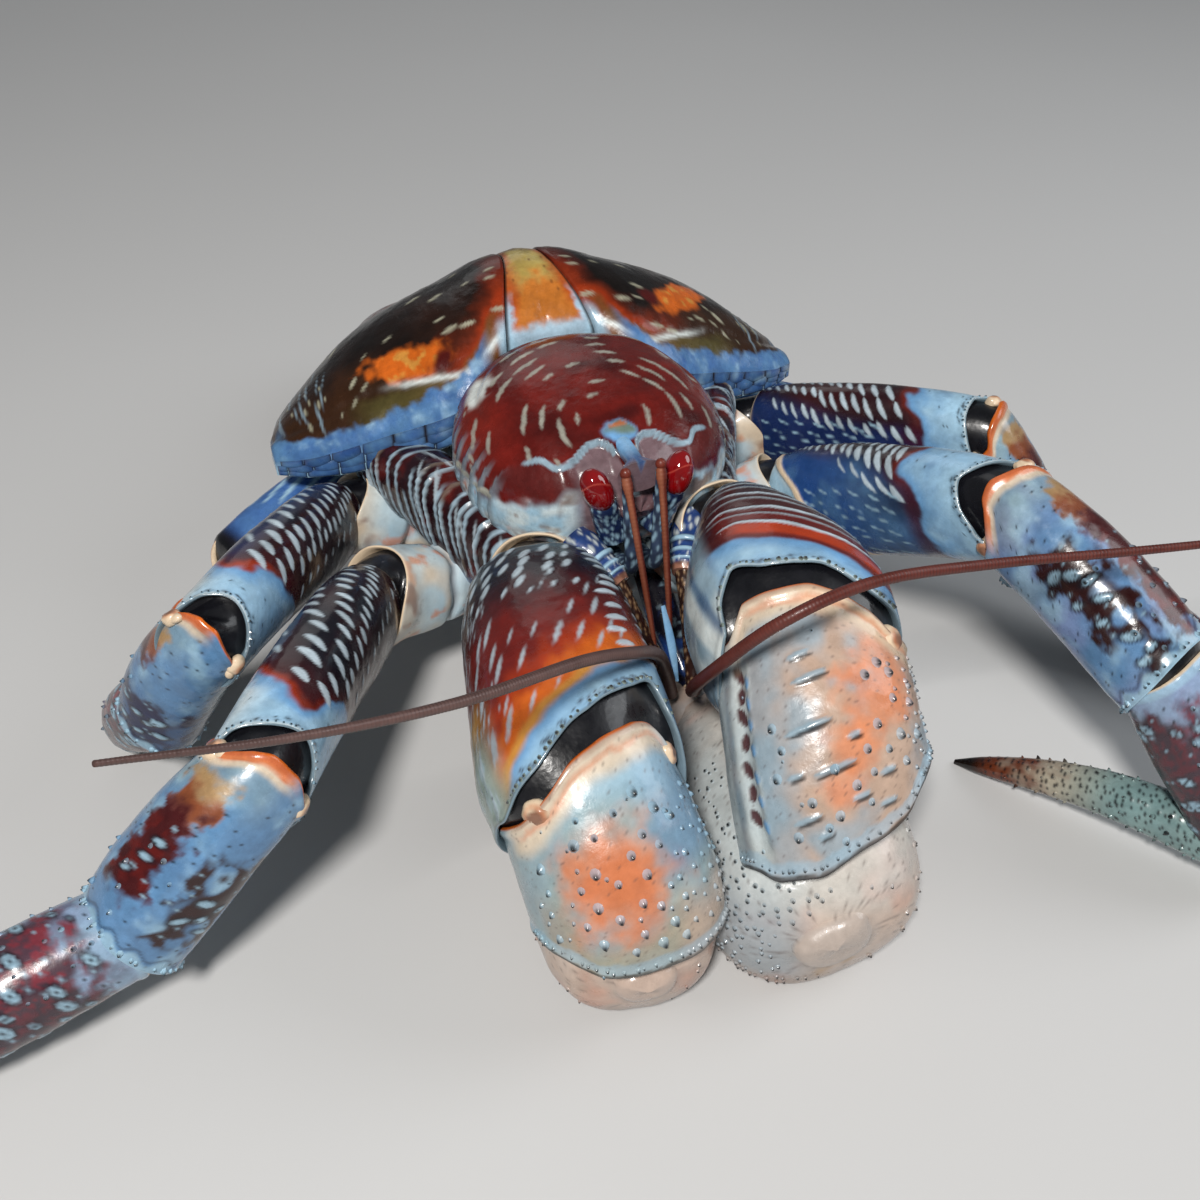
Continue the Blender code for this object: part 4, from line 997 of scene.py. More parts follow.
# Places of the ringed marks on each wrist: (place, angle)
CARPUS_RINGS = {
    "leg2_right": ((0.46, -10), (0.56, 4), (0.66, -6), (0.7, 12), (0.6, -22), (0.76, -18), (0.52, 76),
                   (0.62, 84), (0.42, 70), (0.8, 30)),
    "leg3_right": ((0.7, 46), (0.74, 24), (0.78, 2), (0.84, -20), (0.86, 34), (0.88, 12), (0.7, -10)),
    "leg2_left": ((0.36, 32), (0.44, 40), (0.5, 54), (0.6, 46), (0.66, 34), (0.7, 56), (0.8, 44),
                  (0.88, 56), (0.92, 36), (0.56, 30)),
    "leg3_left": ((0.5, 10), (0.6, 30), (0.7, 12), (0.78, 34), (0.84, 4), (0.6, -6)),
}


def paint_carpus(limb, name, seed):
    """Blue with short dark marks, a maroon patch along the top and dark blotches near the end."""
    t, h = limb.t, limb.h
    limb.colour[:] = SKY * 0.74
    limb.tint(noise(limb.p, 9, seed, 3) * 0.9, STEEL * 1.2)
    if name == "leg2_left":
        limb.tint(step(0.3, 0.7, noise(limb.p, 10, seed + 1)) * 0.65, LILAC * 0.85)
    limb.tint(step(0.45, 0.8, noise(limb.p, 5, seed + 6, 3)) * 0.7, PALE_BLUE * 0.9)
    limb.tint(band(-140, -60, 20, h) * 0.6, GREY_GREEN * 0.8)
    limb.tint(step(16, 6, limb.from_start) * step(-10, 30, h) * 0.4, GREY_GREEN)
    ragged = noise(limb.p, 3.0, seed + 2, 3) - 0.5
    low, high, first, last = CARPUS_TOPS.get(name, (64, 100, 0.16, 0.7))
    top = band(low, high, 5, h + ragged * 40)
    limb.tint(top * band(first - 0.14, first + 0.1, 0.04, t + ragged * 0.16) * 0.8, YELLOW * 0.8)
    limb.tint(top * band(first - 0.04, first + 0.2, 0.05, t + ragged * 0.18) * 0.9, RUST * 1.4)
    limb.tint(top * band(first + 0.1, last, 0.05, t + ragged * 0.26), MAROON * 1.15)
    red = top * band(first + 0.16, last, 0.06, t + ragged * 0.3)
    limb.tint(red * step(0.5, 0.7, noise(limb.p, 3, seed + 9)) * 0.6, RED_BROWN)
    low2, high2, first2, last2 = CARPUS_FAR.get(name, (-30, 40, 0.5, 0.9))
    far = band(low2, high2, 6, h + ragged * 50) * band(first2, last2, 0.05, t + ragged * 0.3)
    far = far * step(0.3, 0.42, noise(limb.p, 6, seed + 3))
    limb.tint(far, BLACK_BROWN * 0.6 + MAROON * 0.4)
    if name == "leg3_right":
        limb.tint(step(0.35, 0.75, t) * 0.7, DEEP_BLUE * 0.4)
    marked = np.maximum(far, top)
    ring_marks(limb, CARPUS_RINGS.get(name, ()), seed + 4, marked)
    top_core = top * band(first + 0.14, last, 0.05, t)
    dots(limb, 3.2, 0.5, PALE_BLUE * 0.75, top_core, seed + 12, 0.8, chance=0.45)
    dots(limb, 2.8, 0.45, PALE_BLUE * 0.7, far, seed + 13, 0.8, chance=0.4)
    clear = step(0.5, 0.3, marked) * band(-60, 200, 8, h)
    dots(limb, 3.2, 0.34, INK, clear, seed + 5, 0.85, chance=0.55)
    limb.relief += 0.7 * step(2.4, 0.5, limb.from_start)
    glow = step(-20, 20, h) * step(150, 120, h)
    limb.tint(step(4.2, 2.6, limb.from_start + ragged) * glow * 0.8, CREAM)
    limb.tint(step(2.1, 1.4, limb.from_start + ragged) * glow * 0.85, ORANGE)
    limb.tint(step(1.0, 0.5, limb.from_start) * glow * 0.35, RED_ORANGE)
    scallop = 0.9 * np.sin(np.radians(limb.angle) * limb.girth / 1.1)[None]
    limb.relief += 0.4 * step(2.6, 0.4, limb.to_end)
    limb.tint(step(2.6, 1.4, limb.to_end + scallop) * 0.8, PALE_BLUE * 0.85)
    limb.tint(band(2.6, 3.4, 0.3, limb.to_end + scallop) * 0.5, NAVY)
    limb.shade(0.18, 3.0, seed + 24)
    uneven(limb, seed + 30, 0.25, 0.5, 12.0)


def paint_propodus(limb, seed):
    """Pale blue, with a dark red face full of ringed pale marks."""
    t, h = limb.t, limb.h
    ragged = noise(limb.p, 3.4, seed + 2, 3) - 0.5
    limb.colour[:] = PALE_BLUE * 0.8
    limb.tint(noise(limb.p, 8, seed, 3) * 0.8, LILAC * 0.9)
    limb.tint(band(-150, -70, 20, h) * 0.6, GREY_GREEN * 0.8)
    red = step(0.08, 0.24, t + ragged * 0.3) * band(-75, 118, 10, h + ragged * 40)
    limb.tint(red * 0.9, MAROON * 1.3)
    limb.tint(red * step(0.42, 0.62, noise(limb.p, 1.4, seed + 3, 2)) * 0.7, rgb(128, 44, 54))
    limb.tint(red * step(60, 10, h) * 0.55, NAVY * 1.3)
    limb.tint(red * step(0.5, 1.0, t) * 0.5, NAVY * 1.4)
    slant = slanting(limb, 0.5, 1)
    flecks(limb, 7.0, 6.2, 1.9, 0.95, PALE_BLUE * 0.8, red, seed + 4, slant, 0.5, 0.4, 0.25, 0.92, 0.4,
           chance=0.8, halo=NAVY * 1.2)
    flecks(limb, 7.0, 6.2, 0.75, 0.34, NAVY, red, seed + 4, slant, 0.5, 0.4, -0.15, 0.85, 0.4, chance=0.8)
    flecks(limb, 4.4, 4.4, 0.7, 0.4, PALE_BLUE * 0.7, red, seed + 8, slant, 0.5, 0.4, 0.1, 0.8, 0.3,
           chance=0.5)
    dots(limb, 3.4, 0.34, INK, step(0.5, 0.3, red) * band(-60, 200, 8, h), seed + 5, 0.85, chance=0.5)
    limb.relief += 0.5 * step(2.4, 0.5, limb.from_start)
    limb.tint(step(2.2, 1.2, limb.from_start) * 0.6, PALE_BLUE)
    limb.shade(0.16, 3.0, seed + 24)
    uneven(limb, seed + 30, 0.25, 0.4, 12.0)


def paint_dactyl(limb, seed):
    """Grey-green with black dots, brown and then black at its tip."""
    t, h = limb.t, limb.h
    limb.colour[:] = TURQUOISE
    limb.tint(noise(limb.p, 5, seed, 3) * 0.7, rgb(128, 150, 146))
    limb.tint(step(0.4, 0.66, t) * 0.7, CREAM * 0.6)
    limb.tint(step(0.58, 0.84, t + (noise(limb.p, 3, seed, 3) - 0.5) * 0.3), RUST * 0.9)
    limb.tint(step(0.84, 0.94, t), BLACK_BROWN)
    dots(limb, 1.9, 0.36, INK, step(0.93, 0.9, t) * band(-80, 200, 10, h), seed + 1, 0.92, 0.95, 0.1)


def paint_hip(limb, seed):
    """White and cream plates with blue shading and orange spots, in low folds."""
    t = limb.t
    limb.colour[:] = WHITE * 1.1
    limb.tint(noise(limb.p, 10, seed, 3) * 1.1, PALE_BLUE)
    limb.tint(step(0.5, 0.75, noise(limb.p, 8, seed + 6)) * 0.8, CREAM)
    limb.tint(step(0.56, 0.72, noise(limb.p, 5, seed + 7, 3)) * 0.75, PEACH * 1.1)
    limb.tint(step(0.74, 0.95, t) * 0.6, CREAM)
    limb.tint(step(0.6, 0.8, noise(limb.p, 4, seed + 8)) * step(0.7, 0.9, t) * 0.6, RUST * 1.3)
    fold = np.abs(t - 0.52 - 0.1 * (noise(limb.p, 9, seed + 9) - 0.5)) * limb.length
    limb.relief -= 1.5 * np.exp(-((fold / 1.3) ** 2))
    limb.tint(np.exp(-((fold / 0.9) ** 2)) * 0.6, rgb(96, 84, 88))
    limb.relief += 1.8 * (noise(limb.p, 11, seed + 3) - 0.5) + 0.9 * step(0.8, 0.98, t)
    limb.shade(0.12, 3.0, seed + 24)


def build_leg(name):
    seed = 10 * (1 + sorted(LEG_JOINTS).index(name))
    girth = LEG_GIRTH[name.split("_")[0]]
    ischium = leg_length(name, "ischium", ((0, 0.0),), ((0, 0.98), (90, 0.86), (180, 1.0), (270, 1.0)))
    merus = leg_length(name, "merus", ((0, 0.04), (90, 0.06), (180, 0.03), (270, 0.03)),
                       MERUS_ENDS[name], FINE)
    carpus = leg_length(name, "carpus", CARPUS_STARTS[name],
                        ((0, 1.04), (90, 1.0), (180, 1.02), (270, 1.06)), FINE)
    propodus = leg_length(name, "propodus", ((0, 0.03), (90, -0.02), (180, 0.03), (270, 0.05)),
                          ((0, 1.0), (90, 0.97)))
    dactyl = leg_length(name, "dactyl", ((0, -0.02),), ((0, 1.0),), 0.56)
    paint_hip(ischium, seed)
    paint_merus(merus, name, seed)
    paint_carpus(carpus, name, seed + 1)
    paint_propodus(propodus, seed + 2)
    paint_dactyl(dactyl, seed + 3)
    for piece in (ischium, merus, carpus, propodus, dactyl):
        piece.settle()

    parts = [shell(merus, end_colour=BLUE_GREY * 0.6)]
    parts += rim_teeth(merus, 1.6, 0.4, 0.6, first=-40, last=150, inset=0.6, base=PALE_BLUE * 0.8)
    dress(f"{name}_merus", parts, SHELL)
    dress(f"{name}_ischium", [shell(ischium)], PLATE)
    parts = [shell(carpus, start_colour=ORANGE, end_colour=PALE_BLUE)]
    above = step(0.4, 0.5, carpus.t) * band(40, 150, 3, carpus.h)
    parts += thorns(carpus, scattered(carpus, 5.5, 6.5, 0.6, 0.8, above, seed + 7))
    parts += rim_teeth(carpus, 2.6, 0.6, 0.9, base=PALE_BLUE)
    dress(f"{name}_carpus", parts, SHELL)
    parts = [shell(propodus)]
    parts += thorns(propodus, scattered(propodus, 5.5, 6.0, 0.5, 0.7, band(20, 160, 3, propodus.h), seed + 8))
    dress(f"{name}_propodus", parts, SHELL)
    parts = [shell(dactyl, end_cap=None)]
    parts += thorns(dactyl, scattered(dactyl, 3.6, 4.4, 0.42, 0.7, band(0.05, 0.8, 0.01, dactyl.t),
                                      seed + 9), pale=0.0)
    dress(f"{name}_dactyl", parts, SHELL)
    joints = [sleeve(merus, carpus, 0.55, 1.3), sleeve(carpus, propodus, 0.5, 1.2),
              sleeve(propodus, dactyl, 0.5, 1.0), sleeve(ischium, merus, 0.6, 1.2)]
    make(f"{name}_joint_skins", joints, MEMBRANE)
    balls = []
    for k, (t, angle) in enumerate(LEG_KNOBS[name]):
        balls += knob(merus, t, angle, girth * 0.2, seed + 50 + k)
    make(f"{name}_condyles", balls, PLATE)


for leg in ("leg2_right", "leg2_left", "leg3_right", "leg3_left"):
    build_leg(leg)


# Claws

# Joints: root, upper arm, wrist and palm
CLAW_JOINTS = {
    "claw_right": ((-14, -36, 34), (-27, -60, 52), (-36.5, -123, 50), (-31, -142, 20)),
    "claw_left": ((16, -36, 36), (25, -62, 56), (21.5, -110, 60), (15.5, -144, 30)),
}
CLAW_GIRTH = {"claw_right": 20.7, "claw_left": 21.8}
CLAW_ROOT_WIDTH = {"claw_right": 1.0, "claw_left": 0.52}
CLAW_SECTIONS = {
    "ischium": ((-0.1, 0.5, 0.5, 0.5), (0.3, 0.56, 0.6, 0.62), (1.0, 0.6, 0.7, 0.7), (1.1, 0.6, 0.7, 0.7)),
    "merus": ((-0.06, 0.6, 0.6, 0.55), (0.04, 0.84, 0.84, 0.8), (0.3, 1.0, 1.0, 0.92),
              (0.65, 1.06, 1.06, 1.0), (0.92, 1.1, 1.08, 1.04), (1.06, 1.04, 1.0, 0.98),
              (1.14, 0.96, 0.9, 0.9), (1.24, 0.88, 0.8, 0.84)),
    "carpus": ((-0.36, 0.78, 0.7, 0.42), (-0.2, 0.9, 0.84, 0.54), (0.0, 0.95, 0.97, 0.62),
               (0.3, 1.0, 1.06, 0.7), (0.65, 1.02, 1.02, 0.7), (0.95, 1.0, 0.88, 0.66),
               (1.1, 0.94, 0.72, 0.56), (1.2, 0.86, 0.6, 0.5)),
}
PALM_SECTIONS = ((-0.54, 0.3, 0.16, 0.3), (-0.5, 0.55, 0.32, 0.5), (-0.4, 0.84, 0.56, 0.8),
                 (-0.2, 1.02, 0.74, 0.95), (0.1, 1.08, 0.82, 1.0), (0.5, 1.04, 0.8, 1.0),
                 (0.85, 0.92, 0.72, 1.0), (1.1, 0.78, 0.62, 0.9))
FINGER_SECTIONS = ((-0.3, 0.3, 0.3, 0.3), (-0.15, 0.46, 0.46, 0.46), (0.1, 0.5, 0.52, 0.5),
                   (0.5, 0.4, 0.42, 0.42), (0.8, 0.26, 0.26, 0.28), (0.95, 0.16, 0.16, 0.17),
                   (1.0, 0.06, 0.06, 0.06))
PALM_JOINTS = {
    "claw_right": ((-30.5, -133, 17), (-25, -94, 13), (-26, -57, 8), (-13, -57, 8)),
    "claw_left": ((11.5, -136, 20), (18.5, -92, 16), (28, -52, 8), (13, -54, 8)),
}
PALM_GIRTH = {"claw_right": 19.5, "claw_left": 25.0}
PALM_UP = {"claw_right": (0, 0, 1), "claw_left": (-0.45, 0, 1)}
FINGER_GIRTH = 18.0
PALM_POWER = {"claw_right": 2.3, "claw_left": 2.5}

CLAW_MERUS_ENDS = {
    "claw_right": ((0, 1.13), (20, 1.18), (42, 1.15), (61, 1.116), (72, 1.076), (87, 1.0), (101, 0.933),
                   (119, 0.875), (134, 0.83), (148, 0.93), (163, 1.0), (185, 1.06), (230, 1.04),
                   (300, 1.05), (340, 1.1)),
    "claw_left": ((0, 1.1), (14, 1.09), (28, 1.06), (38, 0.943), (48, 0.867), (54, 0.832), (71, 0.915),
                  (96, 0.979), (113, 1.081), (140, 1.13), (180, 1.13), (240, 1.08), (300, 1.06)),
}
CLAW_CARPUS_STARTS = {
    "claw_right": ((0, 0.05), (30, -0.02), (45, -0.08), (60, -0.16), (82, -0.286), (106, -0.33),
                   (130, -0.317), (145, -0.268), (158, -0.06), (180, 0.05), (270, 0.25)),
    "claw_left": ((5, -0.02), (16, -0.05), (26, -0.16), (32, -0.22), (58, -0.257), (77, -0.265),
                  (107, -0.12), (130, 0.03), (180, 0.1), (270, 0.2)),
}
CLAW_CARPUS_ENDS = {
    "claw_right": ((0, 0.72), (25, 0.78), (42, 0.87), (56, 0.97), (80, 1.06), (110, 1.1), (150, 1.05),
                   (180, 1.0), (270, 0.9)),
    "claw_left": ((0, 1.0), (14, 1.02), (35, 1.08), (60, 1.08), (86, 0.98), (108, 0.87), (124, 0.73),
                  (150, 0.6), (180, 0.55), (270, 0.8)),
}

# Where the pale lumps sit at each claw's wrist joint, on the wrist: (place, angle)
CLAW_KNOB_PLACES = {
    "claw_right": ((-0.08, 45), (-0.04, 158)),
    "claw_left": ((-0.02, 5), (0.03, 130)),
}


def claw_limb(name, part):
    """One length of a claw's arm."""
    k = ("ischium", "merus", "carpus").index(part)
    joints = CLAW_JOINTS[name]
    hint = ((0, 0, 1), (0, 0, 1), (0, -1, 0.6))[k]
    starts, ends, wide = ((0, 0.0),), ((0, 1.0),), None
    if part == "merus":
        root = CLAW_ROOT_WIDTH[name]
        wide = ((0, root), (0.3, 0.45 + root * 0.55), (0.7, 1), (1, 1))
        ends = CLAW_MERUS_ENDS[name]
    if part == "carpus":
        starts, ends = CLAW_CARPUS_STARTS[name], CLAW_CARPUS_ENDS[name]
    return Limb(joints[k], joints[k + 1], CLAW_SECTIONS[part], CLAW_GIRTH[name], hint=hint, bow=0.08,
                starts=starts, ends=ends, wide=wide, pitch=FINE)


# Where the dark part of each claw's upper arm ends and the light blue begins: (angle, place)
RIGHT_BLUE_LINE = ((0, 1.3), (39, 1.11), (53, 1.05), (69, 0.98), (85, 0.9), (101, 0.82), (122, 0.76),
                   (140, 0.7), (160, 0.6), (200, 0.7), (270, 1.0), (330, 1.2))
LEFT_BLUE_LINE = ((0, 0.2), (20, 0.45), (34, 0.62), (48, 0.66), (60, 0.68), (75, 0.74), (96, 0.84),
                  (113, 0.95), (140, 1.05), (180, 1.05), (270, 0.8), (330, 0.3))


def paint_claw_merus_right(limb):
    """Dark with pale marks near the body, then red, orange and yellow up to a light blue edge."""
    t, h = limb.t, limb.h
    ragged = noise(limb.p, 4, 71, 3) - 0.5
    line = round_curve(h, RIGHT_BLUE_LINE)
    s = t - line + ragged * 0.035
    streak = noise(limb.p * np.array((1, 0.35, 1)), 2.4, 70, 2) - 0.5
    limb.colour[:] = NAVY
    limb.tint(step(0.18, 0.42, t + ragged * 0.16 + streak * 0.1), MAROON * 1.1)
    limb.tint(step(0.34, 0.56, t + ragged * 0.16 + streak * 0.1) * step(160, 120, h), RED_BROWN)
    limb.tint(step(-0.32, -0.2, s + streak * 0.1) * step(0.48, 0.62, t) * 0.9, RED_ORANGE * 0.85)
    limb.tint(step(-0.2, -0.09, s + streak * 0.12) * step(0.5, 0.62, t) * 0.9, ORANGE * 0.95)
    limb.tint(step(-0.07, -0.03, s) * 0.75, YELLOW)
    limb.tint(step(-0.025, 0.015, s), SKY * 0.9)
    limb.tint(step(0.0, 0.07, s) * (0.3 + 0.7 * noise(limb.p, 5, 79)), PALE_BLUE)
    low = step(46, 20, h) * step(-130, -60, h)
    limb.tint(low * step(0.66, 0.82, t + ragged * 0.12) * 0.9, YELLOW * 0.8)
    limb.tint(low * step(0.8, 0.95, t + ragged * 0.14), GREY_GREEN * 0.95)
    limb.tint(low * step(0.86, 1.0, t) * step(0.5, 0.75, noise(limb.p, 5, 78)) * 0.6, PALE_BLUE)
    limb.tint(step(-60, -110, h) * 0.8, GREY_GREEN * 0.7)
    inner = band(148, 205, 8, h)
    limb.tint(inner * step(0.5, 0.75, t), SKY * 0.8)
    dark = step(-0.04, -0.12, s) * step(0.0, 0.03, t) * (1 - inner * step(0.5, 0.7, t))
    near = step(0.42, 0.26, t)
    pale = FLECK * 0.88
    flecks(limb, 4.4, 4.9, 2.0, 0.82, pale, dark * near * band(-30, 116, 6, h), 72,
           slanting(limb, 1, -0.55), 0.36, 0.22, 0.2, 0.92, 0.25, chance=0.95)
    flecks(limb, 6.4, 6.2, 2.9, 0.52, pale * 0.9, dark * (1 - near) * band(-70, 122, 6, h), 73,
           slanting(limb, 1, -0.4), 0.36, 0.3, 0.14, 0.85, 0.35, chance=0.72)
    flecks(limb, 3.4, 3.8, 1.6, 0.36, pale * 0.8, dark * band(-20, 46, 6, h), 81,
           slanting(limb, 1, -0.3), 0.5, 0.35, 0.08, 0.8, 0.3, chance=0.6)
    bars = ((0, 134), (0.3, 128), (0.6, 124), (1, 120))
    limb.comb(bars, (0.04, 0.72), (3.4, 5.0), (3.2, 2.8), (0.9, 0.8), 22, 74, lift=0.3)
    limb.comb(bars, (0.04, 0.72), (3.6, 5.0), (2.6, 2.2), (0.75, 0.65), 22, 80, offset=22, lift=0.25)
    dots(limb, 4.0, 0.34, INK, low * step(0.86, 0.95, t), 75, 0.8, chance=0.5)
    dots(limb, 1.6, 0.45, rgb(52, 50, 60), band(0.2, 2.4, 0.4, limb.to_end) * step(0.0, 0.03, s), 76,
         0.8, chance=0.85)
    limb.tint(step(0.6, 0.1, limb.to_end) * 0.5, INK)
    limb.relief += 0.45 * step(2.6, 0.5, limb.to_end)
    limb.shade(0.18, 3.0, 86)
    uneven(limb, 77)


# Distances of the pale lines above the blue edge of the left upper arm, with half widths
LEFT_LINES = ((0.17, 0.62), (0.27, 0.36), (0.34, 0.55), (0.45, 0.4), (0.53, 0.5), (0.62, 0.36), (0.7, 0.45),
              (0.79, 0.36))


def paint_claw_merus_left(limb):
    """Dark with long pale lines round it, a red band and a light blue edge."""
    t, h = limb.t, limb.h
    ragged = noise(limb.p, 5, 81, 3) - 0.5
    line = round_curve(h, LEFT_BLUE_LINE)
    s = t - line + ragged * 0.03
    limb.colour[:] = NAVY * 1.1
    limb.tint(step(-0.75, -0.45, s + ragged * 0.2), MAROON * 1.05)
    limb.tint(step(-0.36, -0.24, s) * step(52, 64, h) * 0.8, RED_BROWN)
    limb.tint(band(-0.15, -0.06, 0.02, s) * step(56, 70, h), RED_ORANGE * 1.05)
    limb.tint(step(-0.03, 0.0, s), SKY * 0.9)
    limb.tint(step(0.0, 0.1, s) * (0.2 + 0.8 * noise(limb.p, 5, 85)), PALE_BLUE)
    inner = band(-40, 46, 6, h)
    limb.tint(inner * step(0.1, 0.3, t), BLUE_GREY)
    limb.tint(inner * step(0.45, 0.7, noise(limb.p * np.array((1, 0.25, 0.25)), 2.4, 87)) * 0.8, WHITE * 0.9)
    limb.tint(inner * step(0.55, 0.8, noise(limb.p * np.array((1, 0.2, 0.2)), 1.8, 90)) * 0.6, STEEL)
    limb.tint(band(14, 26, 3, h) * step(0.25, 0.45, t) * 0.9, WHITE)
    limb.tint(band(28, 33, 2, h) * step(0.1, 0.3, t) * 0.8, STEEL * 0.7)
    limb.tint(step(-40, -80, h) * 0.8, GREY_GREEN * 0.6)
    rng = random.Random(83)
    for away, wide in LEFT_LINES:
        path = []
        first = 50 + rng.uniform(0, 14)
        for angle in (first, first + 12, first + 26, 92, 108, 124, 138, 150):
            place = float(round_curve(np.array(angle), LEFT_BLUE_LINE))
            place -= away * (0.86 + 0.0022 * (angle - 50))
            place += rng.uniform(-0.012, 0.012)
            if place > 0.0:
                path.append((min(place, 0.95), angle))
        if len(path) > 2:
            limb.stroke(path, wide, FLECK * (0.95 if wide > 0.41 else 0.6), 0.25)
    for first, last, end in ((120, 146, 0.9), (130, 156, 0.9), (142, 166, 0.9)):
        limb.stroke([(0.0, first), (end * 0.5, (first + last) / 2 - 2), (end, last)], 0.45, FLECK * 0.8, 0.2)
    dots(limb, 1.6, 0.45, rgb(52, 50, 60), band(0.3, 2.0, 0.4, limb.to_end) * band(30, 150, 6, h), 89,
         0.8, chance=0.85)
    limb.tint(step(0.6, 0.1, limb.to_end) * 0.6, WHITE * 0.8)
    limb.relief += 0.45 * step(2.6, 0.5, limb.to_end)
    limb.shade(0.18, 3.0, 86)
    uneven(limb, 84)


def paint_claw_carpus(limb, name):
    """Blue-grey and sand with peach blots; the left one has a groove of dark spots on its inner side."""
    t, h = limb.t, limb.h
    right = name == "claw_right"
    seed = 91 if right else 101
    ragged = noise(limb.p, 7, seed, 3) - 0.5
    fine = noise(limb.p, 2.4, seed + 9, 3) - 0.5
    limb.colour[:] = BLUE_GREY * 0.95 if right else SAND * 0.92
    if right:
        limb.tint(noise(limb.p, 8, seed + 1, 3) * 0.9, GREY_GREEN)
        spot = np.hypot((t - 0.4) * limb.length / 14.5, limb.turn(82) / 32)
        limb.tint(step(1.4, 0.4, spot + ragged * 1.2 + fine * 0.6) * 0.85, PEACH * 0.95)
        limb.tint(step(0.8, 0.1, spot + ragged * 1.2 + fine * 0.7) * 0.45, ORANGE)
        limb.tint(step(0.66, 0.9, t + ragged * 0.3) * 0.6, YELLOW * 0.5 + GREY_GREEN * 0.5)
        limb.tint(step(0.55, 0.8, t + ragged * 0.2) * step(96, 116, h) * 0.7, SAND)
        limb.tint(step(100, 118, h + ragged * 30) * step(0.6, 0.4, t) * 0.6, SKY * 0.7)
        limb.tint(step(0.12, -0.12, t + ragged * 0.2) * 0.7, PALE_BLUE * 0.85)
        limb.tint(band(28, 50, 6, h) * step(0.3, 0.6, t) * 0.4, YELLOW * 0.8)
    else:
        limb.tint(step(0.35, 0.7, noise(limb.p, 8, seed + 2, 3)) * 0.75, BLUE_GREY)
        for place, angle, reach, wide in ((0.18, 112, 9, 24), (0.32, 98, 9, 20), (0.5, 86, 6, 18),
                                          (0.72, 74, 5, 14)):
            spot = np.hypot((t - place) * limb.length / reach, limb.turn(angle) / wide)
            limb.tint(step(1.3, 0.3, spot + ragged * 1.3 + fine * 0.8) * 0.75, PEACH)
        limb.tint(step(60, 40, h) * 0.6, BLUE_GREY)
        groove = band(12, 31, 3, h + ragged * 12) * band(0.02, 1.0, 0.04, t)
        limb.tint(groove * 0.7, WHITE * 0.85)
        for k, place in enumerate((0.1, 0.2, 0.3, 0.42, 0.55, 0.66, 0.78)):
            limb.stroke([(place - 0.035, 19 + 4 * (k % 2)), (place + 0.05, 24 - 3 * (k % 2))], 1.15,
                        MAROON * 1.2, -0.3)
            limb.stroke([(place + 0.02, 28), (place + 0.08, 31)], 1.0, SKY * 0.8, 0.4)
        limb.relief -= 1.1 * band(19, 29, 4, h) * band(0.05, 1.0, 0.08, t)
        limb.tint(step(12, 0, h) * 0.6, BLUE_GREY)
        limb.tint(band(0.0, 0.9, 0.1, t) * step(9, 4, h) * step(-10, 0, h) * 0.5, WHITE)
    rim_line = limb.from_start + ragged * 3
    limb.tint(step(7.5, 3.5, rim_line) * band(20, 150, 10, h) * 0.8, CREAM)
    limb.tint(band(1.6, 2.8, 0.6, limb.from_start + fine * 2) * band(30, 150, 10, h) * 0.45, ORANGE)
    limb.tint(step(0.9, 0.3, limb.from_start) * band(30, 150, 10, h) * 0.5, RUST * 1.4)
    limb.relief += 0.9 * step(2.6, 0.5, limb.from_start)
    limb.relief += 0.5 * step(2.6, 0.4, limb.to_end)
    limb.tint(band(0.6, 3.4, 0.5, limb.to_end + fine * 2) * 0.55, PALE_BLUE * 0.85)
    limb.tint(step(0.9, 0.3, limb.to_end + fine) * 0.85, INK)
    dots(limb, 2.2, 0.26, rgb(84, 70, 66), band(-60, 200, 8, h), seed + 6, 0.5, chance=0.3)
    limb.shade(0.15, 2.6, seed + 8)
    uneven(limb, seed + 7)


def paint_palm(limb, name):
    """Sand and pink, with painted shade darkening it near the ground."""
    right = name == "claw_right"
    seed = 111 if right else 121
    x, z = limb.p[..., 0], limb.p[..., 2]
    limb.colour[:] = SAND
    limb.tint(noise(limb.p, 10, seed, 3) * 0.9, rgb(178, 168, 160))
    limb.tint(step(0.5, 0.85, noise(limb.p, 7, seed + 1)) * 0.7, PINK * 0.95)
    # Painted shade: brown darkening near the ground, where the palm rests on the floor.
    limb.tint(step(13, 2, z) * 0.65, rgb(112, 88, 72))
    if not right:
        limb.tint(step(8, -4, x + 6 * (noise(limb.p, 6, seed + 2) - 0.5)) * band(8, 40, 4, z) * 0.65,
                  BLUE_GREY * 0.85)
        limb.tint(step(24, 34, z) * 0.5, WHITE * 0.95)
        limb.tint(step(0.62, 0.8, noise(limb.p, 6, seed + 3)) * step(24, 12, z) * 0.6, YELLOW * 0.7)
    dots(limb, 2.2, 0.28, rgb(84, 70, 66), np.ones_like(z), seed + 6, 0.5, chance=0.3)
    limb.shade(0.14, 2.8, seed + 8)
    uneven(limb, seed + 7)


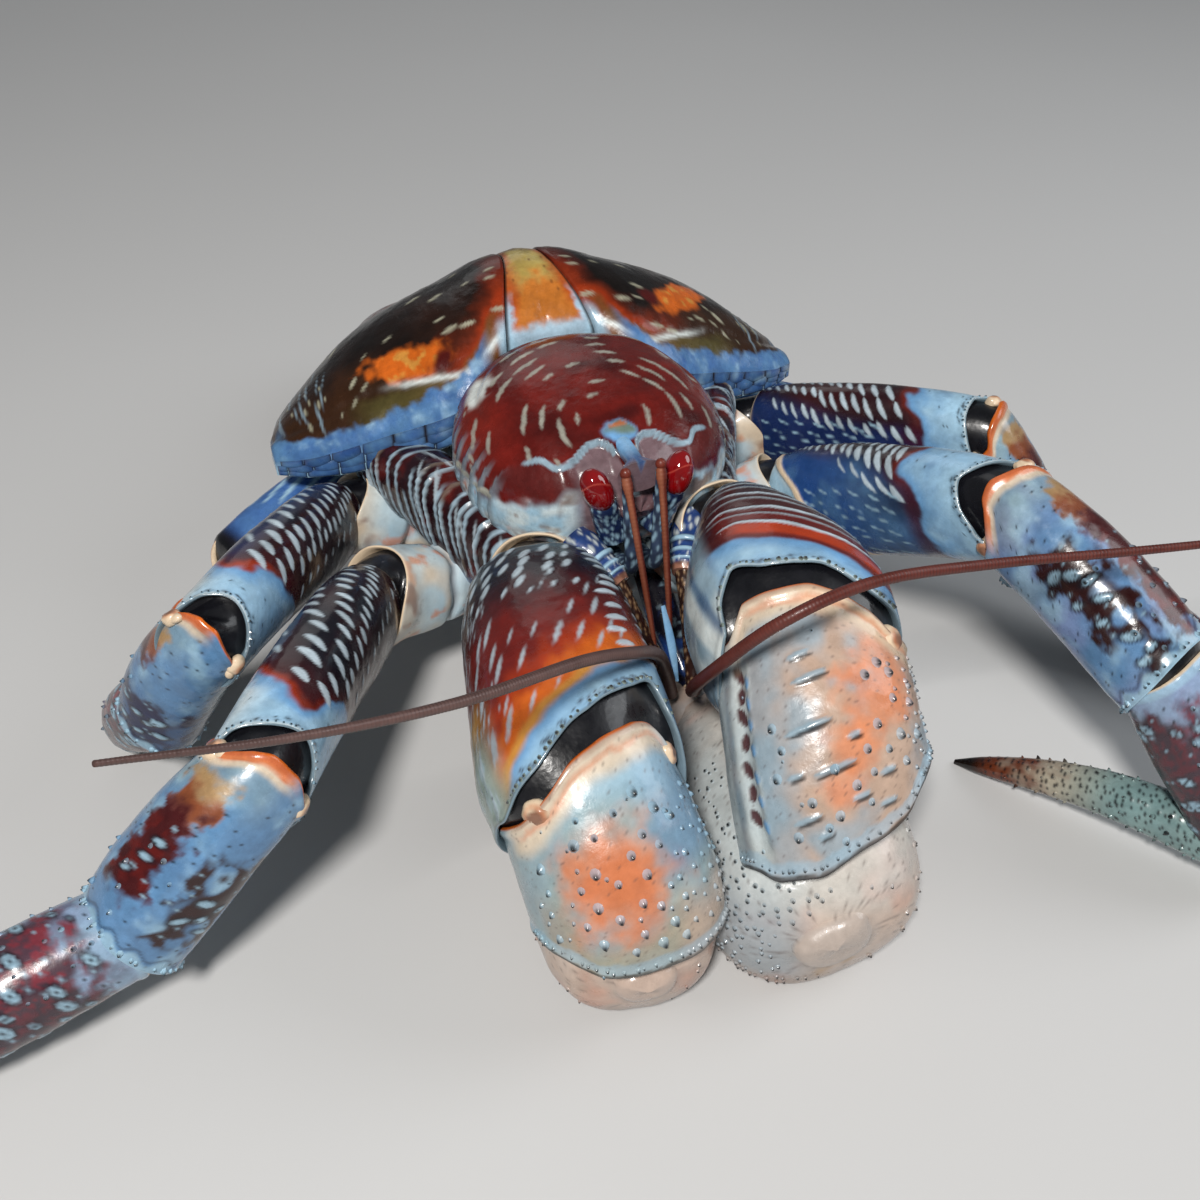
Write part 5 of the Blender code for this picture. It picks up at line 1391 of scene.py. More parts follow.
# Pointed knobs on the wrists: (place, angle); raised bars on the left wrist: (place, angle, half length)
RIGHT_KNOBS = ((0.0, 70), (0.03, 92), (-0.02, 105), (0.12, 60), (0.13, 78), (0.08, 112), (0.17, 98),
               (0.2, 121), (0.27, 88), (0.3, 70), (0.31, 106), (0.37, 58), (0.42, 80), (0.4, 95),
               (0.43, 118), (0.5, 66), (0.52, 104), (0.55, 86), (0.6, 54), (0.62, 72), (0.63, 94),
               (0.66, 112), (0.74, 62), (0.76, 84), (0.78, 102), (0.86, 74), (0.88, 92), (0.9, 110),
               (0.52, 40), (0.66, 38), (0.36, 40), (0.22, 44))
LEFT_KNOBS = ((0.13, 104), (0.2, 113), (0.2, 96), (0.33, 106), (0.36, 118), (0.44, 96), (0.47, 109),
              (0.55, 86), (0.56, 101), (0.6, 70), (0.66, 92), (0.68, 80), (0.74, 60), (0.78, 88), (0.8, 74),
              (0.87, 64), (0.9, 48), (0.62, 44), (0.5, 48), (0.38, 46), (0.94, 76), (0.28, 124), (0.5, 124),
              (0.62, 112))
LEFT_BARS = ((0.06, 62, 2.4), (0.17, 66, 3.6), (0.4, 62, 4.4), (0.46, 84, 1.4), (0.62, 52, 1.6),
             (0.6, 72, 4.2), (0.82, 54, 3.0), (0.74, 84, 2.0), (0.9, 62, 1.6), (0.78, 100, 2.0),
             (0.64, 100, 1.8))


def claw_knobs(limb, name):
    """Grid places of a wrist's large knobs."""
    rng = random.Random(len(name) * 3)
    places = []
    for t, angle in RIGHT_KNOBS if name == "claw_right" else LEFT_KNOBS:
        i, j = limb.spot(t + rng.uniform(-0.02, 0.02), angle + rng.uniform(-3, 3))
        scale = 0.7 + 0.5 * rng.random()
        places.append((i, j, 0.95 * scale, 1.15 * scale))
    return places


def bar_marks(limb):
    """Short raised bars across the left wrist, pale above, with a painted shadow as a dark lower edge."""
    for t, angle, half in LEFT_BARS:
        turned = math.degrees(half / limb.girth)
        shift = half * 0.3 / limb.length
        below = 0.75 / limb.length
        high = [(t + shift, angle - turned), (t, angle), (t - shift, angle + turned)]
        low = [(place + below, a + 1.5) for place, a in high]
        limb.stroke(high, 0.7, BLUE_GREY * 1.05, 0.6, 0.8)
        # Painted shadow: a dark stroke just below each raised bar.
        limb.stroke(low, 0.5, INK, 0.0, 0.85)


def build_claw(name):
    ischium, merus, carpus = (claw_limb(name, part) for part in ("ischium", "merus", "carpus"))
    girth = CLAW_GIRTH[name]
    start, root, fixed_tip, free_tip = (np.array(p, float) for p in PALM_JOINTS[name])
    palm = Limb(start, root, PALM_SECTIONS, PALM_GIRTH[name], hint=PALM_UP[name], starts=((0, -0.53),),
                ends=((0, 1.08),), pitch=0.72, power=PALM_POWER[name])
    inward = (free_tip - fixed_tip) * 0.9
    fixed, finger = (Limb(foot, tip, FINGER_SECTIONS, FINGER_GIRTH, bow=0.1, starts=((0, -0.2),),
                          ends=((0, 0.99),), pitch=0.6)
                     for foot, tip in ((root, fixed_tip), (root + inward, free_tip)))
    paint_hip(ischium, 5)
    if name == "claw_right":
        paint_claw_merus_right(merus)
    else:
        paint_claw_merus_left(merus)
    paint_claw_carpus(carpus, name)
    if name == "claw_left":
        bar_marks(carpus)
    paint_palm(palm, name)
    for piece in (fixed, finger):
        piece.colour[:] = SAND
        piece.tint(step(0.6, 0.9, piece.t), INK * 2)
        piece.tint(noise(piece.p, 6, 9) * 0.6, BLUE_GREY)
        uneven(piece, 12)
    for piece in (ischium, merus, carpus, palm, fixed, finger):
        piece.settle()
    dress(name + "_ischium", [shell(ischium)], PLATE)
    parts = [shell(merus, end_colour=BLUE_GREY * 0.6)]
    parts += rim_teeth(merus, 1.5, 0.5, 0.7, first=30, last=150, inset=0.7, base=GREY_GREEN * 0.7,
                       tip=rgb(40, 38, 44))
    dress(name + "_merus", parts, CLAW)
    seed = 131 if name == "claw_right" else 141
    parts = [shell(carpus, start_colour=ORANGE * 0.8, end_colour=INK)]
    parts += thorns(carpus, claw_knobs(carpus, name), pale=0.5)
    side = band(0.1, 0.95, 0.02, carpus.t) * band(108, 178, 4, carpus.h)
    parts += thorns(carpus, scattered(carpus, 4.2, 4.6, 0.5, 0.7, side, seed), pale=0.4)
    rest = band(-0.1, 0.97, 0.02, carpus.t) * band(20, 108, 4, carpus.h)
    parts += thorns(carpus, scattered(carpus, 8.0, 8.5, 0.42, 0.6, rest, seed + 5, 0.5, 0.4), pale=0.4)
    parts += rim_teeth(carpus, 2.0, 0.5, 0.8, first=0, last=160, inset=1.6)
    dress(name + "_carpus", parts, CLAW)
    front = band(-0.5, 0.45, 0.02, palm.t)
    if name == "claw_left":
        close = front * step(12, 6, palm.p[..., 0]) * band(4, 34, 2, palm.p[..., 2])
        places = scattered(palm, 2.3, 2.6, 0.5, 0.7, close, seed + 1, 0.8, 0.35)
        places += scattered(palm, 5.6, 6.4, 0.5, 0.7, front * (1 - close), seed + 2, 0.6, 0.45)
    else:
        places = scattered(palm, 4.6, 5.2, 0.45, 0.6, front, seed + 1, 0.6, 0.4)
    parts = [shell(palm, ROUND_END, LIP, start_colour=palm.colour[0].mean(0)), shell(fixed)]
    parts += thorns(palm, places, lean=-1.0, pale=0.15)
    dress(name + "_palm", parts, CLAW)
    dress(name + "_finger", [shell(finger)], CLAW)
    joints = [sleeve(merus, carpus, 0.5, 1.5), sleeve(ischium, merus, 0.6, 1.5)]
    make(name + "_joint_skins", joints, MEMBRANE)
    balls = []
    for k, (t, angle) in enumerate(CLAW_KNOB_PLACES[name]):
        balls += knob(carpus, t, angle, girth * 0.15, seed + 60 + k)
    make(name + "_condyles", balls, PLATE)


build_claw("claw_right")
build_claw("claw_left")


# Short fourth legs


def build_short_leg(name):
    joints = LEG_JOINTS[name]
    sign = 1 if name.endswith("left") else -1
    girth = LEG_GIRTH["leg4"]
    hip = Limb(joints[0], joints[1], LEG_SECTIONS["ischium"], girth, sign=sign,
               starts=((0, 0),), ends=((0, 1),))
    merus = Limb(joints[1], joints[2], LEG_SECTIONS["merus"], girth, sign=sign, bow=0.16, starts=((0, 0.02),),
                 ends=((0, 1.06), (90, 1.0)))
    foot = Limb(joints[2], joints[3], LEG_SECTIONS["carpus"], girth * 0.85, sign=sign,
                starts=((0, -0.02), (90, -0.1), (180, 0), (270, 0.1)), ends=((0, 1.05),))
    tip = Limb(joints[3], joints[4], LEG_SECTIONS["dactyl"], girth, sign=sign, bow=0.3, starts=((0, -0.02),),
               ends=((0, 1),))
    paint_hip(hip, 20)
    merus.colour[:] = rgb(24, 66, 150)
    merus.tint(noise(merus.p, 7, 21, 3) * 0.8, SKY * 0.75)
    merus.tint(step(0.08, 0.02, merus.t), CREAM)
    merus.tint(step(0.88, 1.0, merus.t), NAVY)
    for k, angle in enumerate((48, 66, 82, 98, 118)):
        path = [(0.1 + 0.07 * k, angle + 8), (0.3 + 0.07 * k, angle), (0.5 + 0.07 * k, angle - 10)]
        merus.stroke(path, 0.5, PALE_BLUE, 0.1)
    paint_carpus(foot, name, 23)
    paint_dactyl(tip, 24)
    for piece in (hip, merus, tip):
        uneven(piece, 25)
    for piece in (hip, merus, foot, tip):
        piece.settle()
    parts = [shell(hip), shell(merus, end_cap=CLOSED_END, end_colour=INK)]
    dress(name + "_merus", parts, SHELL)
    dress(name + "_foot", [shell(foot), shell(tip, end_cap=None)], SHELL)
    make(name + "_joint_skins", [sleeve(merus, foot, 0.6, 1.0)], MEMBRANE)


for leg in ("leg4_right", "leg4_left"):
    build_short_leg(leg)


# Body

# The dome of the carapace: heights and depths of its edges by distance from the middle
CREST = 97.0
CREST_FALL, CREST_POWER = 0.01475, 1.8
HALF_WIDTH = 79.0
DOME_FRONT_Y = ((0, 9), (12, 6), (27, -7), (51, 1), (70, 7), (79, 13))
DOME_REAR_Y = ((0, 63), (25, 66), (48, 62), (64, 50), (74, 36), (79, 22))
DOME_FRONT_Z = ((0, 84), (12, 84), (27, 76), (51, 66), (79, 57))
DOME_REAR_Z = ((0, 67), (25, 64), (48, 56), (64, 53), (79, 57))
DOME_RIM = ((0, 9.5), (51, 9), (79, 4.5))
DOME_INNER = ((0, 12.5), (0.5, 5.5), (0.75, 6.5), (1, 10))
# Body sections across Y: y, half width, centre height, rise, drop
SHIELD_SECTIONS = ((-58.5, 6, 71, 4, 4), (-57, 12, 71, 8, 8), (-54, 20, 69, 13.5, 12),
                   (-47, 28, 67, 19, 16), (-36, 34, 66.5, 23, 18), (-22, 36, 67, 24, 17),
                   (-8, 32, 69, 21.5, 15), (2, 24, 71, 16, 12), (8, 15, 73, 9.5, 8))
ROSTRUM_SECTIONS = ((-42, 9.5, 82, 5, 6), (-53, 6, 83, 3.6, 5), (-60, 2.2, 84, 1.4, 2.4),
                    (-62, 0.7, 84.2, 0.6, 1))
THORAX_SECTIONS = ((-47, 13, 44, 10, 10), (-40, 22, 43, 18, 16), (-22, 28, 43, 26, 24), (4, 31, 44, 32, 27),
                   (28, 31, 46, 32, 26), (48, 27, 48, 26, 22), (62, 17, 50, 15, 13), (65, 9, 50, 8, 7))
# Flank sections: y, outer x, half thickness, centre height, half height
FLANK_SECTIONS = ((-49, 33, 3, 48, 7), (-44, 35.5, 6, 48, 11), (-30, 41, 8, 49, 14), (-12, 49, 9, 53, 12),
                  (8, 57, 9, 54, 9), (28, 61, 9, 54, 8), (46, 55, 9, 54, 8), (54, 48, 5, 54, 5))
# Abdomen sections, as for the body
ABDOMEN_SECTIONS = ((58, 22, 46, 14, 16), (66, 34, 44, 19, 24), (80, 43, 38, 22, 32), (98, 46, 30, 23, 34),
                    (114, 43, 24, 22, 28), (128, 35, 19, 18, 22), (138, 23, 15, 13, 17),
                    (144, 11, 11, 7, 10))


def dome(x, share):
    """Points of the dome at x, from its front edge (share 0) to its rear edge (share 1)."""
    far = np.abs(x)
    front, rear = curve(far, DOME_FRONT_Z), curve(far, DOME_REAR_Z)
    crest = CREST - CREST_FALL * far**CREST_POWER
    swell = np.maximum(crest - (front + rear) / 2, 0.5)
    near_y, far_y = curve(far, DOME_FRONT_Y), curve(far, DOME_REAR_Y)
    y = near_y + (far_y - near_y) * share
    z = front + (rear - front) * share + swell * np.sin(np.pi * share) ** 0.75
    return np.stack([x, y, z], -1)


def dome_under(x, share):
    """Points of the dome's underside."""
    top = dome(x, share)
    far = np.abs(x)
    edge = curve(far, DOME_FRONT_Z) * (1 - share) + curve(far, DOME_REAR_Z) * share
    z = np.minimum(edge - curve(far, DOME_RIM), top[..., 2] - 1.0)
    return np.stack([top[..., 0], top[..., 1], z], -1)


def body_skin(sections, colour, pitch, power=2.3):
    """A grid over sections across Y: y, half width, centre height, rise, drop."""
    y0, y1 = sections[0][0], sections[-1][0]
    rows = max(int((y1 - y0) / pitch), 6)
    widest = max(s[1] for s in sections)
    cols = int(2 * math.pi * widest * 0.85 / pitch)
    y = np.linspace(y0, y1, rows)[:, None] * np.ones(cols)
    a = np.radians(-90 + 360 * np.arange(cols) / cols)[None] * np.ones((rows, 1))
    half, height, rise, drop = (curve(y, [(s[0], s[k]) for s in sections]) for k in (1, 2, 3, 4))
    c, s = bent(np.cos(a), power), bent(np.sin(a), power)
    z = height + np.where(s > 0, rise, drop) * s
    skin = Skin(np.stack([half * c, y, z], -1), True, colour)
    skin.a = np.degrees(a)
    return skin


# The blue brow line on the right half of the shield: (x, y)
BROW = ((-29, -41.5), (-24, -44.5), (-20.3, -46.5), (-17.4, -50.2), (-13.3, -50.4), (-8, -48.1),
        (-4.4, -49.2), (-3, -52))


def polyline_distance(p, line):
    """Distance in the XY plane from points to a line through given points."""
    best = np.full(p.shape[:-1], 1e9)
    q = p[..., :2]
    for a, b in zip(line, line[1:]):
        a, b = np.array(a, float), np.array(b, float)
        d = b - a
        t = np.clip(((q - a) @ d) / (d @ d), 0, 1)
        best = np.minimum(best, np.linalg.norm(q - a - t[..., None] * d, axis=-1))
    return best


# Centre and radii of the arcs that the shield's pale marks lie on
SWIRL_Y = -43.0
SWIRL_RADII = (9, 13.5, 18, 22.5, 27, 31.5, 36, 40.5, 45, 50)


def shield_flecks(skin, clear):
    """Pale marks in arcs round the brow, longer down the shield's sides."""
    x, y, z = skin.p[..., 0], skin.p[..., 1], skin.p[..., 2]
    rng = random.Random(210)
    for ring, radius in enumerate(SWIRL_RADII):
        count = int(2 * math.pi * radius / (7.5 + 0.12 * radius))
        for k in range(count):
            a = 2 * math.pi * (k + rng.uniform(-0.3, 0.3) + 0.5 * (ring % 2)) / count
            half = (1.0 + 0.03 * radius) * rng.uniform(0.6, 1.4) * (1 + 0.9 * abs(math.cos(a)))
            wide = rng.uniform(0.5, 0.7) + 0.012 * radius
            if rng.random() < 0.2:
                continue
            for turn in (-0.9, -0.6, -0.3, 0, 0.3, 0.6, 0.9):
                b = a + turn * half / radius
                away = np.hypot(x - radius * math.cos(b), y - SWIRL_Y - radius * math.sin(b))
                flat = int(np.argmin(away + (z < 70) * 50))
                i, j = flat // skin.cols, flat % skin.cols
                if clear[i, j] > 0.5:
                    d = np.array((-math.sin(b), math.cos(b), 0.0))
                    size = wide * 0.8 * math.sqrt(1 - 0.75 * turn**2)
                    skin.stamp(i, j, d, half * 0.3, size, rgb(150, 150, 140), 0.04, 0.7)


def build_shield():
    """The front shield, with the brow, the cheeks and the pointed rostrum."""
    skin = body_skin(SHIELD_SECTIONS, colour=MAROON, pitch=0.52)
    p = skin.p
    x, y, z = p[..., 0], p[..., 1], p[..., 2]
    side = np.abs(x)
    ragged = noise(p, 5, 201, 3) - 0.5
    streak = noise(p * np.array((1, 0.4, 0.4)), 3, 215, 3) - 0.5
    skin.colour[:] = rgb(62, 12, 10)
    skin.tint(noise(p, 12, 202, 3) * 1.3 - 0.3, rgb(112, 24, 16))
    skin.tint(step(0.5, 0.85, noise(p, 7, 203)) * 0.7, rgb(38, 8, 10))
    skin.tint(step(20, 28, side + ragged * 6) * step(-44, -20, y) * 0.45, rgb(124, 34, 20))
    skin.tint(step(4, 16, y + ragged * 8) * 0.5, BLACK_BROWN)
    low = step(73, 67, z + ragged * 8 + (side - 30) * 0.25)
    skin.tint(low, PALE_BLUE)
    skin.tint(low * step(0.4, 0.65, noise(p, 6, 204, 3)) * 0.8, WHITE)
    skin.tint(low * step(0.5, 0.66, noise(p, 5, 205, 3)) * 0.8, RUST)
    skin.tint(low * step(0.6, 0.75, noise(p, 4, 216, 3)) * 0.7, ORANGE)
    bars = step(0.05, 0.3, np.sin(y * 1.35 + 3 * streak + 0.2 * z)) * step(24, 30, side) * step(-46, -40, y)
    bars = bars * step(80, 74, z + ragged * 4) * step(8, -2, y)
    skin.tint(bars * 0.8, rgb(112, 128, 138))
    skin.relief += 0.5 * bars
    brow = [(a[0], a[1], 0) for a in BROW]
    smooth = [tuple(q[:2]) for q in smooth_route(brow, 5)]
    dist = polyline_distance(np.abs(p) * np.array((-1, -1, 1)), smooth)
    xs = [-q[0] for q in smooth][::-1]
    ys = [q[1] for q in smooth][::-1]
    brow_y = np.interp(side, [0] + xs, [-62] + ys)
    below = step(0.5, -0.6, y - brow_y) * step(60, 66, z)
    skin.tint(below * step(20, 15, side), MAUVE)
    skin.tint(below * step(20, 15, side) * noise(p, 2.0, 206, 3) * 0.7, rgb(124, 106, 112))
    cheek_top = np.interp(side, (12, 17, 21, 30), (77, 76.5, 72, 70.5))
    cheek = below * step(12, 17, side) * step(cheek_top + 1.5, cheek_top - 1.5, z + ragged * 5)
    skin.tint(below * step(12, 16, side) * step(72, 77, z) * 0.9, rgb(84, 26, 24))
    skin.tint(cheek, PALE_BLUE)
    skin.tint(cheek * step(0.35, 0.7, noise(p, 4, 217, 3)) * 0.7, WHITE)
    skin.tint(cheek * step(0.48, 0.64, noise(p, 5, 207, 3)) * 0.8, rgb(112, 76, 54))
    skin.relief -= 1.8 * below * band(3, 15, 2, side) * step(70, 76, z)
    top = step(60, 70, z)
    near = np.exp(-((dist / (0.62 + 0.4 * ragged)) ** 2)) * top * step(27, 21, side)
    skin.relief += 0.28 * near
    skin.tint(step(0.25, 0.6, near) * 0.9, BLUE_GREY * 1.1)
    patch = np.exp(-((x / 5.5) ** 2 + ((y + 46.5) / 3.6) ** 2)) * top + 0.5 * streak * band(-8, 8, 2, x)
    skin.tint(step(0.35, 0.6, patch + ragged * 0.6) * band(-52, -41, 1, y), SKY * 0.9)
    skin.tint(step(0.4, 0.7, patch + ragged * 0.9) * band(-47.5, -41, 1, y + ragged * 4) * 0.85,
              rgb(96, 108, 78))
    skin.tint(step(0.5, 0.8, patch + streak * 1.4) * band(-45.5, -42, 0.6, y) * 0.7, ORANGE)
    groove = np.abs(np.hypot(x / 31, (y + 22) / 25) - 0.95)
    skin.relief -= 0.7 * np.exp(-((groove / 0.045) ** 2)) * step(-36, -20, y) * top
    white = band(24, 32, 2, side + ragged * 4) * band(-19, -8, 2, y - (side - 24) * 0.3 + ragged * 5)
    skin.tint(white * step(80, 83, z + ragged * 3) * step(0.4, 0.5, noise(p, 5, 208, 3)) * 0.9, WHITE * 0.95)
    clear = top * (1 - low) * (1 - step(0.2, 0.5, near)) * (1 - below)
    clear = clear * (1 - step(0.2, 0.4, patch)) * (1 - white)
    shield_flecks(skin, clear * (1 - bars) * step(9, 4, y))
    skin.shade(0.14, 3.0, 218)
    uneven(skin, 212)
    skin.settle()
    rostrum = body_skin(ROSTRUM_SECTIONS, colour=MAUVE, pitch=0.35)
    q = rostrum.p
    rostrum.tint(noise(q, 2, 213, 3) * 0.6, rgb(124, 106, 112))
    wedge = np.abs(q[..., 0]) - np.interp(q[..., 1], (-61, -56, -50, -44), (0.9, 2.6, 4.6, 8))
    on = step(0.5, -0.5, wedge) * step(80.5, 82.5, q[..., 2])
    rostrum.tint(on, SKY)
    rostrum.tint(on * noise(q, 3, 214) * 0.5, PALE_BLUE)
    rostrum.tint(on * step(-53, -59, q[..., 1]) * 0.85, DEEP_BLUE * 0.8)
    rostrum.tint(on * step(-50, -46, q[..., 1] + 3 * (noise(q, 2, 219) - 0.5)) * 0.7, rgb(88, 104, 84))
    rostrum.relief += 0.3 * (noise(q, 2.5, 214, 3) - 0.5)
    rostrum.settle()
    parts = [shell(skin, ROUND_END, ROUND_END, start_colour=MAUVE, end_colour=BLACK_BROWN),
             shell(rostrum, None, None)]
    dress("carapace_shield", parts, DARK_SHELL)


def wing_grid(sign):
    """Places of a wing's grid points: share outwards, share back, and x."""
    pitch = 0.68
    cols, rows = int(100 / pitch), int(70 / pitch)
    spread = np.linspace(0, 1, cols)[:, None] * np.ones(rows)
    share = np.linspace(0, 1, rows)[None] * np.ones((cols, 1))
    inner = curve(share, DOME_INNER) + 0.3
    x = inner + (HALF_WIDTH - inner) * spread
    return spread, share, x * sign


def build_wing(side, sign):
    """A wing of the carapace, near black with an orange patch, pale dashes and a blue rim."""
    spread, share, x = wing_grid(sign)
    skin = Skin(dome(x, share), False, BLACK_BROWN)
    p = skin.p
    far, y = np.abs(p[..., 0]), p[..., 1]
    ragged = noise(p, 5, 221 + sign, 3) - 0.5
    fine = noise(p, 2.2, 229 + sign, 3) - 0.5
    inner_mm = far - curve(share, DOME_INNER)
    edge_mm = share * (curve(far, DOME_REAR_Y) - curve(far, DOME_FRONT_Y))
    skin.tint(step(0.45, 0.9, noise(p, 14, 222, 3)) * 0.8, rgb(44, 20, 9))
    beside = step(10, 2, inner_mm + ragged * 9) * step(0.7, 0.3, share)
    skin.tint(beside * 0.8, rgb(96, 28, 10))
    skin.tint(step(6, 0.5, inner_mm + ragged * 6) * step(0.4, 0.16, share) * 0.75, RED_ORANGE)
    frontal = step(19, 10, edge_mm + ragged * 12) * step(52, 30, far + ragged * 12)
    skin.tint(frontal * 0.8, rgb(100, 34, 12))
    skin.tint(frontal * step(13, 8, edge_mm + ragged * 8) * step(40, 26, far) * 0.6, RED_ORANGE)
    skin.tint(step(22, 12, edge_mm + ragged * 10) * step(30, 50, far) * 0.55, rgb(62, 36, 16))
    middle, slope = ((39, 9.6), 0.6) if side == "right" else ((43, 18.5), 0.8)
    u, v = far - middle[0], y - middle[1]
    length = math.hypot(1, slope)
    along_patch, across_patch = (u + v * slope) / length, (v - u * slope) / length
    patch = np.hypot(along_patch / 12.5, across_patch / 4.2)
    skin.tint(step(1.25, 0.75, patch + ragged * 1.2 + fine * 0.5), ORANGE * 0.95)
    skin.tint(step(0.55, 0.7, noise(p, 2.4, 228, 3)) * step(1.0, 0.6, patch + ragged) * 0.7, YELLOW * 1.1)
    skin.tint(step(1.2, 0.6, np.hypot(far - 31.5, y - middle[1] + 5.4) / 3.4 + ragged), rgb(70, 12, 8))
    olive = step(9.5, 6, edge_mm + ragged * 5) * band(14, 54, 6, far)
    skin.tint(olive * 0.75, rgb(82, 76, 40))
    white = np.exp(-(((edge_mm - np.interp(far, (12, 30, 50), (1.2, 7.0, 9.5)) + ragged * 1.6) / 0.7) ** 2))
    skin.tint(white * step(50, 38, far) * 0.95, WHITE)
    corner = step(4.5, 1.5, inner_mm + ragged * 3) * step(6, 2, edge_mm + ragged * 3)
    skin.tint(corner * 0.9, PALE_BLUE)
    rim = np.interp(far, (20, 30, 42, 60, 79), (7.5, 5.6, 3.4, 2.8, 5.0))
    blue = step(rim + 0.8, rim - 0.8, edge_mm + ragged * 3 + fine * 2.4) * step(17, 24, far)
    skin.tint(blue, SKY * 0.72)
    skin.tint(blue * noise(p, 2.6, 223, 3) * 0.8, DEEP_BLUE * 1.3)
    skin.tint(blue * step(0.55, 0.8, noise(p, 4, 230, 3)) * 0.6, PALE_BLUE)
    blue_side = step(0.93, 0.985, spread) * step(0.7, 0.4, share)
    skin.tint(blue_side * 0.7, SKY * 0.6)
    margin = step(0.975, 0.995, share) + step(0.985, 1.0, spread)
    skin.tint(margin * 0.8, STEEL * 0.8)
    dark = step(5.5, 8, edge_mm) * step(1.1, 1.4, patch) * step(0.96, 0.92, share) * step(0.5, 0.2, white)

    def dash(i, j):
        out = min(max((abs(skin.p[i, j, 0]) - 45) / 25, 0), 1)
        return np.array(((1 - out) * sign, -0.15 - out, 0.0))

    flecks(skin, 8.5, 10, 1.8, 0.6, rgb(160, 158, 138), dark * step(0.8, 0.7, spread), 224, dash,
           0.5, 0.4, 0.15, 0.85, 0.4, chance=0.6)
    low = dark * step(24, 14, edge_mm) * band(44, 72, 4, far)
    flecks(skin, 5.2, 5.6, 1.6, 0.5, rgb(150, 148, 128), low, 232, dash, 0.5, 0.35, 0.15, 0.85, 0.35,
           chance=0.7)
    flecks(skin, 3.2, 10.0, 4.2, 0.36, rgb(128, 150, 164), dark * step(0.74, 0.82, spread), 225, dash,
           0.5, 0.3, 0.12, 0.85, 0.35, chance=0.8)
    skin.shade(0.16, 3.0, 231)
    skin.relief += 0.4 * (noise(p, 5, 226, 3) - 0.5) + 1.2 * (noise(p, 22, 227) - 0.5)
    skin.relief -= 0.6 * np.exp(-(((edge_mm - 8) / 1.6) ** 2)) * step(20, 34, far)
    skin.relief -= 0.5 * step(1.0, 0.2, inner_mm)
    skin.settle()
    parts = [sheet_mesh(skin.p, dome_under(x, share), skin.colour)]
    parts += wing_scutes(sign)
    dress(f"carapace_{side}", parts, DARK_SHELL)


def wing_scutes(sign):
    """Three rows of overlapping blue plates down the front rim of the wing."""
    parts = []
    rng = random.Random(231 + sign)
    for row, (high, low) in enumerate(((0.0, 0.4), (0.3, 0.72), (0.62, 1.0))):
        x0 = 23.0 + row * 3.0
        while x0 < 77.0:
            x1 = min(x0 + rng.uniform(5.5, 9.0) * (1 - 0.4 * step(60, 78, x0)), 78.6)
            parts.append(scute(sign, x0, x1, high, low, row, rng))
            x0 = x1
    return parts


def scute(sign, x0, x1, high, low, row, rng):
    """One small plate of the rim, from x0 to x1 and from high to low."""
    grid = []
    sag = rng.uniform(0.05, 0.12)
    for s in np.linspace(0, 1, 13):
        x = np.array((x0 + (x1 - x0) * s) * sign)
        front, under = dome(x, np.array(0.0)), dome_under(x, np.array(0.0))
        last = min(low + sag * math.sin(math.pi * s), 1.0)
        grid.append([front * (1 - v) + under * v for v in np.linspace(high, last, 9)])
    grid = np.array(grid)
    lift = np.outer(np.sin(np.linspace(0, np.pi, 13)) ** 0.3, np.sin(np.linspace(0.35, np.pi, 9)) ** 0.35)
    out = unit(np.array((0.12 * sign, -1, 0.3)))
    top = grid + out * (0.2 + 0.75 * lift[..., None] - 0.12 * row)
    blot = noise(top, 3.0, 233, 3)[..., None]
    colour = SKY * rng.uniform(0.5, 0.85) * (1 - blot) + DEEP_BLUE * 1.2 * blot
    colour = colour + (PALE_BLUE - colour) * (step(0.6, 0.85, noise(top, 4.5, 234))[..., None] * 0.5)
    edge = (1 - np.clip(lift, 0, 1)[..., None]) ** 1.1
    colour = colour * (1 - edge) + rgb(36, 28, 30) * edge
    return sheet_mesh(top, grid - out * 0.6, colour)


def build_heart():
    """The yellow and orange middle plate between the wings."""
    rows, cols = 160, 70
    across = np.linspace(-1, 1, cols)[:, None] * np.ones(rows)
    share = np.linspace(0, 1, rows)[None] * np.ones((cols, 1))
    x = across * curve(share, DOME_INNER)
    skin = Skin(dome(x, share), False, rgb(150, 124, 56))
    p = skin.p
    ragged = noise(p, 4, 241, 3) - 0.5
    fine = noise(p, 1.8, 245, 3) - 0.5
    skin.tint(noise(p, 5, 242, 3) * 0.9, rgb(170, 156, 96))
    skin.tint(step(0.3, 0.14, share + ragged * 0.2 + fine * 0.1) * 0.85, rgb(178, 96, 28))
    skin.tint(step(0.45, 0.9, np.abs(across) + ragged * 0.6) * 0.7, RED_ORANGE)
    skin.tint(step(0.045, 0.01, share + fine * 0.03) * 0.9, PALE_BLUE)
    skin.tint(step(0.72, 0.9, np.abs(across) + fine * 0.3) * step(0.2, 0.08, share) * 0.9, PALE_BLUE * 1.05)
    skin.tint(step(0.4, 0.62, share + ragged * 0.2) * 0.9, rgb(60, 26, 12))
    skin.tint(step(0.9, 0.98, np.abs(across)) * 0.85, BLACK_BROWN)
    dots(skin, 3.5, 0.4, rgb(90, 50, 24), band(0.12, 0.5, 0.02, share), 246, 0.7, chance=0.4)
    skin.shade(0.16, 2.5, 247)
    skin.relief += 0.4 * (noise(p, 4, 243, 3) - 0.5) + 0.6 * (1 - across**2) - 0.5
    skin.settle()
    parts = [sheet_mesh(skin.p, dome_under(x, share), skin.colour)]
    dress("carapace_heart", parts, DARK_SHELL)


